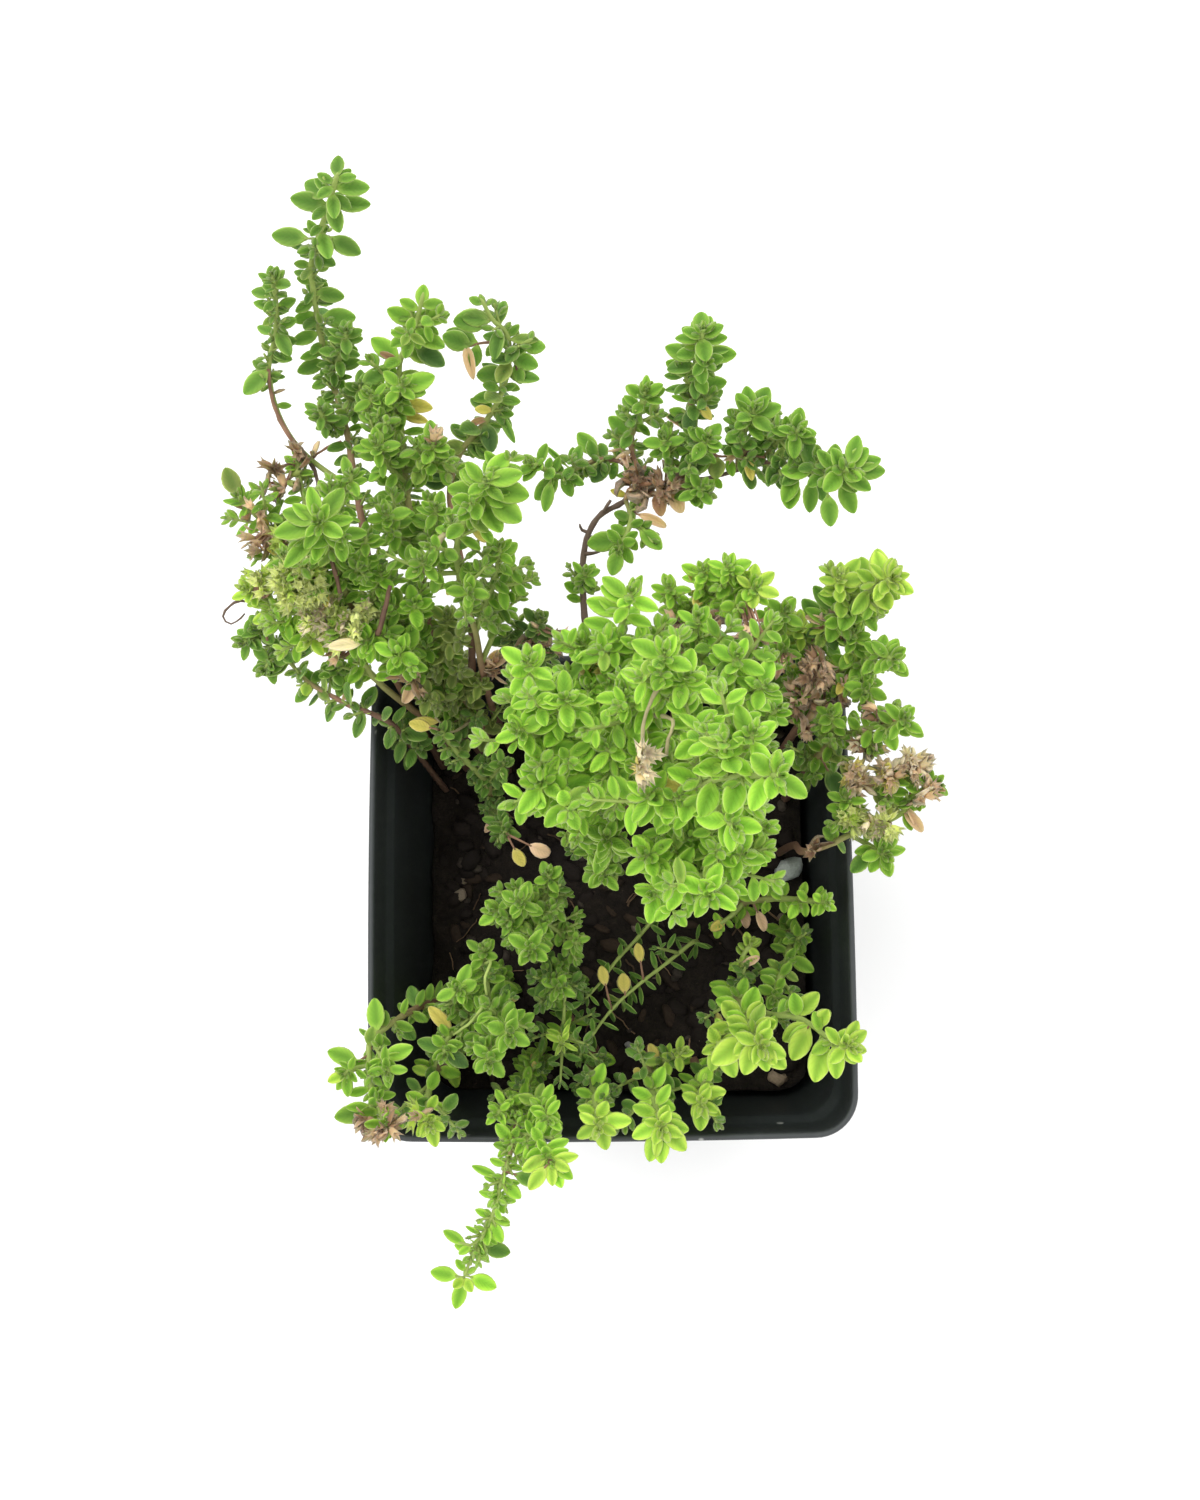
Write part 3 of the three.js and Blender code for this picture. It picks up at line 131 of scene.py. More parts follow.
class Tone(Tint):
    """Leaf colours of the plant's parts, as linear colours of a blade."""

    BRIGHT = (0.305, 0.560, 0.045)
    FRESH = (0.205, 0.378, 0.034)
    MID = (0.128, 0.250, 0.033)
    DARK = (0.070, 0.140, 0.026)
    OLIVE = (0.210, 0.260, 0.055)
    LIME = (0.440, 0.610, 0.075)
    YELLOW = (0.610, 0.520, 0.110)
    TAN = (0.700, 0.470, 0.270)
    STRAW = (0.920, 0.760, 0.460)
    CALYX = (0.800, 0.880, 0.260)
    BROWN = (0.310, 0.165, 0.090)


class Bark(Tint):
    """Stem colours, as linear colours from young to dead."""

    GREEN = (0.310, 0.400, 0.100)
    PALE = (0.430, 0.380, 0.200)
    PINK = (0.300, 0.170, 0.105)
    WOODY = (0.160, 0.090, 0.058)
    OLD = (0.135, 0.092, 0.068)


BRIGHT, FRESH, MID, DARK, OLIVE, LIME, YELLOW, TAN, STRAW, CALYX, BROWN = Tone
GREEN, PALE, PINK, WOODY, OLD = Bark


def seen(x: float, y: float, z: float) -> Array:
    """Find the point at height z on the line of sight through (x, y) on the rim's plane.

    Args:
        x: Place across the picture, on the rim's plane.
        y: Place up the picture, on the rim's plane.
        z: Height of the point.

    Returns:
        The point in millimetres.
    """
    t = (EYE[2] - z) / (EYE[2] - POT_HEIGHT)
    return np.array([EYE[0] + (x - EYE[0]) * t, EYE[1] + (y - EYE[1]) * t, z])


def on_rim_plane(points: Array) -> Array:
    """Return where points are seen on the rim's plane, as rows of x and y."""
    t = (EYE[2] - POT_HEIGHT) / (EYE[2] - points[:, 2:3])
    return EYE[:2] + (points[:, :2] - EYE[:2]) * t


def draw(seed: float) -> float:
    """Return a repeatable draw between 0 and 1 for a seed."""
    value = math.sin(seed * 12.9898 + 78.233) * 43758.5453
    return value - math.floor(value)


def sway(seed: float) -> float:
    """Return a repeatable draw between -1 and 1 for a seed."""
    return 2 * draw(seed) - 1


def unit(vectors: Array) -> Array:
    """Return one vector or rows of vectors scaled to length 1."""
    return vectors / np.maximum(np.linalg.norm(vectors, axis=-1, keepdims=True), 1e-9)


def squared(vector: Array, axis: Array) -> Array:
    """Return the direction of a vector turned square to an axis."""
    return unit(vector - axis * np.dot(vector, axis))


def square_distance(x: Array, y: Array, half: Array, corner: Array) -> Array:
    """Measure the distance from points to a rounded square, negative inside it.

    Args:
        x: Places across.
        y: Places along.
        half: Half width of the square.
        corner: Radius of its corners.

    Returns:
        The distances in millimetres.
    """
    qx = np.abs(x) - (half - corner)
    qy = np.abs(y) - (half - corner)
    outside = np.hypot(np.maximum(qx, 0), np.maximum(qy, 0))
    return outside + np.minimum(np.maximum(qx, qy), 0) - corner


def pot_half(z: float) -> float:
    """Measure the pot's outside.

    Args:
        z: Height.

    Returns:
        Its half width at that height.
    """
    body_top = POT_HEIGHT - COLLAR_HEIGHT
    if z > body_top:
        return RIM_HALF - COLLAR_FLARE * (1 - (z - body_top) / COLLAR_HEIGHT)
    return BASE_HALF + (RIM_HALF - COLLAR_STEP - COLLAR_FLARE - BASE_HALF) / body_top * z


def pot_corner(z: float) -> float:
    """Return the corner radius of the pot at height z."""
    return BASE_CORNER + (RIM_CORNER - BASE_CORNER) * (z / POT_HEIGHT)


def soil_top(x: Array, y: Array) -> Array:
    """Measure the soil's uneven top, which is highest at the right.

    Args:
        x: Place across the soil.
        y: Place along the soil.

    Returns:
        Its height.
    """
    crown = 4 * np.exp(-(x * x + y * y) / 420)
    lumps = 1.1 * np.sin(0.32 * x + 1.3) * np.cos(0.29 * y - 0.4)
    crumbs = 0.6 * np.sin(0.71 * x + 0.53 * y)
    return SOIL_LEVEL + SOIL_SLOPE * x + crown + lumps + crumbs


def square_ring(half: float, corner: float, steps: int, sides: int, bow: float) -> Array:
    """Lay points round a rounded square whose sides bow out a little.

    Args:
        half: Half width of the square.
        corner: Radius of its corners.
        steps: Faces round each corner.
        sides: Faces along each straight side.
        bow: How far the middle of a side stands out.

    Returns:
        Rows of x and y.
    """
    rows = []
    straight = half - corner
    for side in range(4):
        turn = side * QUARTER
        cos, sin = math.cos(turn), math.sin(turn)
        local = []
        for i in range(1, sides):
            y = -straight + 2 * straight * i / sides
            local.append((half + bow * (1 - (y / straight) ** 2), y))
        for i in range(steps + 1):
            angle = i / steps * QUARTER
            local.append((straight + corner * math.cos(angle), straight + corner * math.sin(angle)))
        rows += [(x * cos - y * sin, x * sin + y * cos) for x, y in local]
    return np.array(rows)


def skin(rows: int, sides: int, inward: bool = False) -> list[Array]:
    """Number the faces on rings of points that are followed by a start and an end point.

    Args:
        rows: Number of rings.
        sides: Points of each ring.
        inward: Whether the faces look the other way.

    Returns:
        The quads between the rings and the triangles that close both ends.
    """
    i, j = np.meshgrid(np.arange(rows - 1), np.arange(sides), indexing="ij")
    a, b = i * sides + j, i * sides + (j + 1) % sides
    quads = np.stack([a, b, b + sides, a + sides], axis=-1).reshape(-1, 4)
    k = np.arange(sides)
    n, last = (k + 1) % sides, (rows - 1) * sides
    start = np.stack([np.full(sides, rows * sides), n, k], axis=1)
    end = np.stack([np.full(sides, rows * sides + 1), last + k, last + n], axis=1)
    faces = [quads, np.concatenate([start, end])]
    return [np.roll(some[:, ::-1], 1, axis=1) for some in faces] if inward else faces


class Wire:
    """A shader socket that takes part in Python expressions."""

    def __init__(self, paint: "Paint", socket: bpy.types.NodeSocket | None) -> None:
        """Keep the socket and the paint that its node belongs to.

        Args:
            paint: Owner of the node tree.
            socket: The output socket.
        """
        self.paint = paint
        self.socket = socket

    def _math(self, operation: str, first: "Wire | float", second: "Wire | float") -> "Wire":
        """Return a Math node's result on two values."""
        return self.paint.add("ShaderNodeMath", {"operation": operation}, {0: first, 1: second})

    def __add__(self, other: "Wire | float") -> "Wire":
        """Return self + other."""
        return self._math("ADD", self, other)

    __radd__ = __add__

    def __sub__(self, other: "Wire | float") -> "Wire":
        """Return self - other."""
        return self._math("SUBTRACT", self, other)

    def __rsub__(self, other: float) -> "Wire":
        """Return other - self."""
        return self._math("SUBTRACT", other, self)

    def __mul__(self, other: "Wire | float") -> "Wire":
        """Return self * other."""
        return self._math("MULTIPLY", self, other)

    __rmul__ = __mul__

    def rise(self, low: float, high: float) -> "Wire":
        """Rise smoothly from 0 at low to 1 at high.

        Args:
            low: Value at which the rise starts.
            high: Value at which it ends.

        Returns:
            The rise.
        """
        settings = {"interpolation_type": "SMOOTHSTEP", "clamp": True}
        return self.paint.add("ShaderNodeMapRange", settings, {0: self, 1: low, 2: high})


class Paint:
    """The node tree of one material, with one method that adds any node."""

    def __init__(self, name: str) -> None:
        """Start an empty material.

        Args:
            name: Name of the material.
        """
        self.material = bpy.data.materials.new(name)
        self.material.use_nodes = True
        self.tree = self.material.node_tree
        self.tree.nodes.clear()

    def add(self, kind: str, settings: dict, sockets: dict, output: int | str = 0) -> Wire:
        """Add a node, set it up and join its inputs.

        Args:
            kind: The node's type.
            settings: Properties set first, a ramp's stops among them.
            sockets: Values or wires for the inputs, by number or name.
            output: Number or name of the output wanted.

        Returns:
            The output as a wire.
        """
        node = self.tree.nodes.new(kind)
        for key, value in settings.items():
            if key == "stops":
                self._set_stops(node.color_ramp, value)
            else:
                setattr(node, key, value)
        for key, value in sockets.items():
            if isinstance(value, Wire):
                self.tree.links.new(value.socket, node.inputs[key])
            elif isinstance(value, tuple) and node.inputs[key].type == "RGBA":
                node.inputs[key].default_value = (*value, 1.0)
            else:
                node.inputs[key].default_value = value
        return Wire(self, node.outputs[output] if node.outputs else None)

    @staticmethod
    def _set_stops(ramp: bpy.types.ColorRamp, stops: Sequence[tuple[float, Colour]]) -> None:
        """Set the stops of a colour ramp.

        Args:
            ramp: The ramp.
            stops: Places and colours in order.
        """
        while len(ramp.elements) < len(stops):
            ramp.elements.new(1.0)
        for element, (place, colour) in zip(ramp.elements, stops):
            element.position = place
            element.color = (*colour, 1.0)

    def attribute(self, name: str) -> Wire:
        """Return a vector stored on the mesh's points."""
        settings = {"attribute_type": "GEOMETRY", "attribute_name": name}
        return self.add("ShaderNodeAttribute", settings, {}, "Vector")

    def parts(self, vector: Wire) -> tuple[Wire, Wire, Wire]:
        """Return a vector's three numbers."""
        node = self.add("ShaderNodeSeparateXYZ", {}, {0: vector}).socket.node
        return tuple(Wire(self, output) for output in node.outputs)

    def place(self) -> Wire:
        """Return the place on the object, in metres."""
        return self.add("ShaderNodeTexCoord", {}, {}, "Object")

    def cloud(self, scale: float, detail: float = 3.0, rough: float = 0.55,
              stretch: Place | None = None) -> Wire:
        """Return a noise between 0 and 1 in the object's own space.

        Args:
            scale: Waves in a metre.
            detail: Octaves.
            rough: Share of each finer octave.
            stretch: Scale along x, y and z, if not the same.

        Returns:
            The noise.
        """
        where = self.place()
        if stretch:
            where = self.add("ShaderNodeVectorMath", {"operation": "MULTIPLY"}, {0: where, 1: stretch})
        sockets = {"Vector": where, "Scale": scale, "Detail": detail, "Roughness": rough}
        return self.add("ShaderNodeTexNoise", {}, sockets)

    def mix(self, factor: Wire | float, first: Wire | Colour, second: Wire | Colour,
            blend: str = "MIX") -> Wire:
        """Blend two colours.

        Args:
            factor: Share of the second colour.
            first: The first colour.
            second: The second colour.
            blend: How they blend.

        Returns:
            The colour.
        """
        settings = {"data_type": "RGBA", "blend_type": blend}
        return self.add("ShaderNodeMix", settings, {0: factor, 6: first, 7: second}, 2)

    def grade(self, colour: Wire | Colour, value: Wire | float) -> Wire:
        """Return a colour made lighter or darker by a factor."""
        grey = self.add("ShaderNodeCombineColor", {}, {0: value, 1: value, 2: value})
        return self.mix(1.0, colour, grey, "MULTIPLY")

    def bump(self, height: Wire, distance: float, strength: float = 1.0) -> Wire:
        """Turn a height into a normal.

        Args:
            height: Height between 0 and 1.
            distance: Metres that a height of 1 stands for.
            strength: Share of the bump.

        Returns:
            The normal.
        """
        sockets = {"Height": height, "Distance": distance, "Strength": strength}
        return self.add("ShaderNodeBump", {}, sockets)

    def surface(self, sockets: dict) -> Material:
        """Close the tree with its shader.

        Args:
            sockets: Values or wires for the shader's inputs, by name.

        Returns:
            The material.
        """
        shader = self.add("ShaderNodeBsdfPrincipled", {}, sockets)
        self.add("ShaderNodeOutputMaterial", {}, {0: shader})
        return self.material


@dataclass(frozen=True)
class LeafFinish:
    """Downy green blades with a sunken midrib, painted shade along it, and paler edges."""

    roughness: float = 0.58
    gloss: float = 0.28
    down: float = 0.16
    glow: float = 0.32

    def make(self) -> Material:
        """Paint the material from each leaf's own colour.

        Returns:
            The material.
        """
        paint = Paint("thyme_leaf")
        tint = paint.attribute("tint")
        across, along, under = paint.parts(paint.attribute("place"))
        mottle = paint.cloud(900, 3)
        patch = paint.cloud(260, 2)
        colour = paint.grade(tint, 0.88 + mottle * 0.26 + patch * 0.12)
        upper = under.rise(0.6, 0.1)
        red, green, _ = paint.parts(tint)
        fresh = (green - red).rise(-0.04, 0.06)
        pale = paint.mix(0.5, paint.grade(tint, 1.4), paint.mix(fresh, (0.66, 0.5, 0.32), (0.58, 0.68, 0.22)))
        core = (1 - across.rise(0.1, 0.8)) * along.rise(0.1, 0.35) * upper * (fresh * 0.8 + 0.2)
        colour = paint.mix(core * 0.9, colour, paint.mix(1.0, tint, (0.54, 0.7, 0.52), "MULTIPLY"))
        colour = paint.mix((1 - along.rise(0.04, 0.36)) * 0.45, colour, pale)
        edge = across.rise(0.76, 1.0) * (0.62 + mottle * 0.5)
        colour = paint.mix(edge, colour, pale)
        vein = paint.add("ShaderNodeMath", {"operation": "SINE"}, {0: (along * 6 - across * 2.1) * 6.283})
        colour = paint.mix(vein.rise(0.3, 1.0) * 0.14 * upper, colour, paint.grade(tint, 0.6))
        # Painted shade: the sunken midrib is darkened along the blade's upper face
        midrib_shade = 1 - across.rise(0.02, 0.16)
        colour = paint.mix(midrib_shade * 0.2 * along.rise(1.0, 0.75) * upper, colour, paint.grade(tint, 0.55))
        dull = paint.mix(fresh * 0.3, paint.grade(tint, 0.85), (0.34, 0.42, 0.18))
        colour = paint.mix(under.rise(0.15, 0.9) * 0.6, colour, dull)
        height = paint.cloud(5200, 2, 0.7) * 0.55 + vein.rise(-0.6, 1.0) * -0.3 + mottle * 0.3
        return paint.surface({
            "Base Color": colour,
            "Roughness": self.roughness + patch * 0.16,
            "Specular IOR Level": self.gloss,
            "Sheen Weight": self.down,
            "Sheen Roughness": 0.4,
            "Sheen Tint": (0.85, 1.0, 0.7),
            "Subsurface Weight": self.glow,
            "Subsurface Radius": (0.75, 1.0, 0.4),
            "Subsurface Scale": MM,
            "Normal": paint.bump(height, 0.00012, 0.8),
        })


@dataclass(frozen=True)
class StemFinish:
    """Thin stems, green and downy when young and flaky brown when old."""

    roughness: float = 0.62

    def make(self) -> Material:
        """Paint the material from each stem's own colour.

        Returns:
            The material.
        """
        paint = Paint("thyme_stem")
        tint = paint.attribute("tint")
        age, _, _ = paint.parts(paint.attribute("place"))
        fleck = paint.cloud(1500, 4, 0.7)
        blotch = paint.cloud(330, 2)
        colour = paint.grade(tint, 0.62 + fleck * 0.5 + blotch * 0.25)
        colour = paint.mix(fleck.rise(0.6, 0.75) * age * 0.5, colour, (0.3, 0.21, 0.14))
        height = fleck * 0.8 + paint.cloud(3800, 2) * 0.4
        return paint.surface({
            "Base Color": colour,
            "Roughness": self.roughness + blotch * 0.2,
            "Specular IOR Level": 0.3,
            "Normal": paint.bump(height, 0.00025, 0.9),
        })


@dataclass(frozen=True)
class PotFinish:
    """Thin black moulded plastic, dusty, with a few pale specks on its collar."""

    colour: Colour = (0.027, 0.032, 0.033)
    dust: Colour = (0.16, 0.165, 0.17)

    def make(self) -> Material:
        """Paint the material.

        Returns:
            The material.
        """
        paint = Paint("pot_plastic")
        _, _, height = paint.parts(paint.place())
        cloud = paint.cloud(60, 4, 0.6)
        grain = paint.cloud(1400, 3, 0.6)
        streak = paint.cloud(420, 3, 0.6, (1.0, 1.0, 0.06))
        wear = height.rise(0.0905, 0.0955) * (0.25 + cloud * 0.6)
        colour = paint.grade(self.colour, 0.75 + cloud * 0.5)
        colour = paint.mix(wear * 0.16, colour, self.dust)
        colour = paint.mix(streak.rise(0.52, 0.75) * 0.05, colour, self.dust)
        # A few pale specks high on the collar
        spots = paint.add("ShaderNodeTexVoronoi", {}, {"Vector": paint.place(), "Scale": 190.0})
        kept = paint.cloud(95, 1).rise(0.6, 0.66) * height.rise(0.083, 0.088)
        colour = paint.mix((1 - spots.rise(0.08, 0.16)) * kept * 0.8, colour, (0.5, 0.5, 0.48))
        return paint.surface({
            "Base Color": colour,
            "Roughness": 0.36 + grain * 0.16 + cloud * 0.12,
            "Specular IOR Level": 0.5,
            "Normal": paint.bump(grain * 0.6 + streak * 0.8, 0.00006, 0.8),
        })


@dataclass(frozen=True)
class SoilFinish:
    """Dark moist peat with fine crumbs and fibres."""

    dark: Colour = (0.006, 0.0045, 0.0035)
    light: Colour = (0.026, 0.019, 0.013)

    def make(self) -> Material:
        """Paint the material.

        Returns:
            The material.
        """
        paint = Paint("peat")
        crumb = paint.cloud(520, 5, 0.7)
        grit = paint.cloud(2400, 3, 0.7)
        stops = ((0.32, self.dark), (0.58, self.light), (0.74, (0.05, 0.036, 0.024)))
        colour = paint.add("ShaderNodeValToRGB", {"stops": stops}, {0: crumb * 0.6 + grit * 0.4})
        flake = paint.cloud(900, 2, 0.5).rise(0.7, 0.76)
        colour = paint.mix(flake * 0.5, colour, (0.09, 0.065, 0.042))
        return paint.surface({
            "Base Color": colour,
            "Roughness": 0.82 + grit * 0.16,
            "Specular IOR Level": 0.3,
            "Normal": paint.bump(crumb * 0.7 + grit * 0.5, 0.0011, 1.0),
        })


@dataclass(frozen=True)
class CrumbFinish:
    """Bark, pebbles, fibres and other bits, each with a colour of its own."""

    name: str
    wave: float = 1700.0
    depth: float = 0.0003

    def make(self) -> Material:
        """Paint the material from each bit's own colour.

        Returns:
            The material.
        """
        paint = Paint(self.name)
        tint = paint.attribute("tint")
        grit = paint.cloud(self.wave, 4, 0.65)
        colour = paint.grade(tint, 0.5 + grit)
        colour = paint.mix(grit.rise(0.62, 0.75) * 0.35, colour, paint.grade(tint, 1.9))
        return paint.surface({
            "Base Color": colour,
            "Roughness": 0.75 + grit * 0.2,
            "Specular IOR Level": 0.3,
            "Normal": paint.bump(grit, self.depth, 1.0),
        })


@dataclass(frozen=True)
class FloorFinish:
    """A plain pale tabletop."""

    colour: Colour = (0.97, 0.97, 0.965)

    def make(self) -> Material:
        """Paint the material.

        Returns:
            The material.
        """
        paint = Paint("pale_floor")
        cloud = paint.cloud(4, 2)
        return paint.surface({"Base Color": paint.grade(self.colour, 0.985 + cloud * 0.02), "Roughness": 0.9})


@dataclass
class MeshPool:
    """Points, faces and their colours, gathered before one mesh is made of them."""

    points: list[Array] = field(default_factory=list)
    tints: list[Array] = field(default_factory=list)
    places: list[Array] = field(default_factory=list)
    faces: list[Array] = field(default_factory=list)
    slots: list[Array] = field(default_factory=list)
    count: int = 0
    CORNER_REACH: ClassVar[float] = 0.12

    def put(self, points: Array, faces: Sequence[Array], tint: Array, place: Array,
            slot: int) -> None:
        """Add points and the faces on them.

        Args:
            points: Rows of x, y and z in millimetres.
            faces: Arrays of triangles or quads, numbered from the first of these points.
            tint: Colour of each point, or one colour.
            place: Across, along and under of each point, or one for all.
            slot: Material slot of the faces.
        """
        self.points.append(points)
        self.tints.append(np.broadcast_to(tint, points.shape))
        self.places.append(np.broadcast_to(place, points.shape))
        for some in faces:
            self.faces.append(some + self.count)
            self.slots.append(np.full(len(some), slot))
        self.count += len(points)

    def tube(self, centres: Array, radii: Sequence[float], tints: Array, ages: Array | float,
             slot: int, sides: int = 6, corner: float = 0.0, first_side: Array | None = None) -> None:
        """Add a closed tube through centres.

        Args:
            centres: Rows of x, y and z.
            radii: Radius at each centre.
            tints: Colour at each centre, or one colour.
            ages: Woodiness at each centre, 0 to 1, or one for all.
            slot: Material slot.
            sides: Faces round the tube.
            corner: How far the section is from round towards square, 0 to 1.
            first_side: Direction of the first side at each centre, if it is given.
        """
        rows = len(centres)
        ahead = unit(np.gradient(centres, axis=0))
        side = first_side if first_side is not None else carried(ahead)
        side = unit(side - ahead * np.sum(side * ahead, axis=1, keepdims=True))
        rise = np.cross(ahead, side)
        angles = np.arange(sides) / sides * 2 * math.pi
        reach = 1 + corner * self.CORNER_REACH * np.cos(4 * (angles - math.pi / 4))
        ring = side[:, None] * (np.cos(angles) * reach)[None, :, None]
        ring = ring + rise[:, None] * (np.sin(angles) * reach)[None, :, None]
        rings = centres[:, None] + ring * np.array(radii)[:, None, None]
        tints = np.broadcast_to(tints, centres.shape)
        place = np.stack([np.broadcast_to(ages, rows), np.linspace(0, 1, rows), np.zeros(rows)], axis=1)
        points = np.concatenate([rings.reshape(-1, 3), centres[:1], centres[-1:]])
        tint, place = (
            np.concatenate([np.repeat(some, sides, axis=0), some[:1], some[-1:]]) for some in (tints, place)
        )
        self.put(points, skin(rows, sides), tint, place, slot)

    def make(self, name: str, materials: Sequence[Material]) -> Solid:
        """Make one smooth mesh object of all that was put in.

        Args:
            name: Name of the object.
            materials: Its material slots.

        Returns:
            The object, linked to the scene.
        """
        mesh = bpy.data.meshes.new(name)
        corners = np.concatenate([some.ravel() for some in self.faces]).astype(np.int32)
        sizes = np.concatenate([np.full(len(some), some.shape[1]) for some in self.faces])
        starts = np.concatenate([[0], np.cumsum(sizes)[:-1]]).astype(np.int32)
        mesh.vertices.add(self.count)
        mesh.vertices.foreach_set("co", (np.concatenate(self.points) * MM).astype(np.float32).ravel())
        mesh.loops.add(len(corners))
        mesh.loops.foreach_set("vertex_index", corners)
        mesh.polygons.add(len(sizes))
        mesh.polygons.foreach_set("loop_start", starts)
        mesh.polygons.foreach_set("material_index", np.concatenate(self.slots).astype(np.int32))
        mesh.update(calc_edges=True)
        mesh.shade_smooth()
        for key, rows in (("tint", self.tints), ("place", self.places)):
            layer = mesh.attributes.new(key, "FLOAT_VECTOR", "POINT")
            layer.data.foreach_set("vector", np.concatenate(rows).astype(np.float32).ravel())
        for material in materials:
            mesh.materials.append(material)
        return add_object(name, mesh)


def add_object(name: str, data: bpy.types.ID) -> Solid:
    """Make an object of a mesh, a lamp or a camera.

    Args:
        name: Name of the object.
        data: The mesh, lamp or camera.

    Returns:
        The object, linked to the scene.
    """
    made = bpy.data.objects.new(name, data)
    bpy.context.scene.collection.objects.link(made)
    return made


def carried(ahead: Array) -> Array:
    """Carry a side direction along a curve with the least turn.

    Args:
        ahead: Unit tangents along the curve.

    Returns:
        A side direction for each tangent.
    """
    side = Vector(np.cross(ahead[0], UP) + ASKEW)
    before = Vector(ahead[0])
    rows = []
    for row in ahead:
        tangent = Vector(row)
        side.rotate(before.rotation_difference(tangent))
        side = (side - tangent * side.dot(tangent)).normalized()
        rows.append(tuple(side))
        before = tangent
    return np.array(rows)


class Route:
    """A smooth curve through way points, evenly readable by length."""

    STEPS = 200
    NEAR = 1e-4

    def __init__(self, points: Sequence[Array]) -> None:
        """Measure the curve.

        Args:
            points: Way points in millimetres.
        """
        rows = np.array(points, dtype=float)
        self.count = len(rows)
        self.rows = np.concatenate([[2 * rows[0] - rows[1]], rows, [2 * rows[-1] - rows[-2]]])
        line = self.at(np.linspace(0, 1, self.STEPS + 1))
        steps = np.linalg.norm(np.diff(line, axis=0), axis=1)
        self.lengths = np.concatenate([[0], np.cumsum(steps)])
        self.length = float(self.lengths[-1])

    def at(self, t: Array) -> Array:
        """Follow the centripetal spline through the way points.

        Args:
            t: Parameters between 0 and 1.

        Returns:
            The points at them.
        """
        p = np.clip(t, 0, 1) * (self.count - 1)
        index = np.minimum(p.astype(int), self.count - 2)
        weight = (p - index)[:, None]
        p0, p1, p2, p3 = (self.rows[index + k] for k in range(4))
        steps = (p1 - p0, p2 - p1, p3 - p2)
        d0, d1, d2 = (np.sqrt(np.linalg.norm(step, axis=1))[:, None] for step in steps)
        t1 = ((p1 - p0) / d0 - (p2 - p0) / (d0 + d1) + (p2 - p1) / d1) * d1
        t2 = ((p2 - p1) / d1 - (p3 - p1) / (d1 + d2) + (p3 - p2) / d2) * d1
        c2 = -3 * p1 + 3 * p2 - 2 * t1 - t2
        c3 = 2 * p1 - 2 * p2 + t1 + t2
        return p1 + t1 * weight + c2 * weight**2 + c3 * weight**3

    def place(self, s: Array) -> Array:
        """Return the points at lengths along the curve."""
        return self.at(self._parameter(s))

    def heading(self, s: Array) -> Array:
        """Return the unit tangents at lengths along the curve."""
        t = self._parameter(s)
        return unit(self.at(np.minimum(t + self.NEAR, 1)) - self.at(np.maximum(t - self.NEAR, 0)))

    def knot(self, number: int) -> float:
        """Return the length at a way point."""
        return float(self.lengths[round(self.STEPS * number / (self.count - 1))])

    def _parameter(self, s: Array) -> Array:
        """Return the parameters at lengths along the curve."""
        return np.interp(np.atleast_1d(s), self.lengths, np.linspace(0, 1, self.STEPS + 1))


@dataclass(frozen=True)
class Blade:
    """Form of a leaf in fractions of its length, as rings from its stalk to its tip."""

    rings: tuple[Spot, ...]
    across: tuple[float, ...]
    thick: float = 0.045
    groove: float = 0.075
    groove_width: float = 0.34
    roll: float = 0.06
    roll_from: float = 0.7
    roll_width: float = 0.3
    widest: float = 0.295
    least_scale: float = 0.3
    stalk_lift: float = 0.2

    def grid(self) -> tuple[Array, Array, Array, Array, Array]:
        """Lay out the rings' points.

        Returns:
            Along, half width, across, lift and under of each point, its base and tip last.
        """
        top = np.array(self.across)
        rolled = np.maximum(np.abs(top) - self.roll_from, 0) / self.roll_width
        lift = -self.groove * np.exp(-((top / self.groove_width) ** 2)) - self.roll * rolled
        across = np.append(top, 0.0)
        lift = np.append(lift, -self.groove - self.thick)
        under = np.append(np.zeros(len(top)), 1.0)
        rows = []
        for along, half in self.rings:
            scale = max(half / self.widest, self.least_scale)
            rows.append(np.stack([
                np.full(len(across), along), np.full(len(across), half), across, lift * scale, under,
            ]))
        rows.append(np.array([[0.0], [0.0], [0.0], [lift[-1] * self.stalk_lift], [0.0]]))
        rows.append(np.array([[1.0], [0.0], [0.0], [0.0], [0.0]]))
        return tuple(np.concatenate(rows, axis=1))


# The full form, the middle one and the small one, each with its rings and its points across
BLADES = (
    Blade(((0.04, 0.05), (0.12, 0.095), (0.24, 0.195), (0.39, 0.258), (0.55, 0.27), (0.72, 0.235),
           (0.87, 0.157), (0.96, 0.08)), (-1.0, -0.84, -0.46, 0.0, 0.46, 0.84, 1.0)),
    Blade(((0.05, 0.06), (0.22, 0.18), (0.42, 0.262), (0.63, 0.265), (0.83, 0.185), (0.95, 0.09)),
          (-1.0, -0.7, 0.0, 0.7, 1.0)),
    Blade(((0.1, 0.09), (0.35, 0.24), (0.62, 0.265), (0.88, 0.15)), (-1.0, 0.0, 1.0)),
)


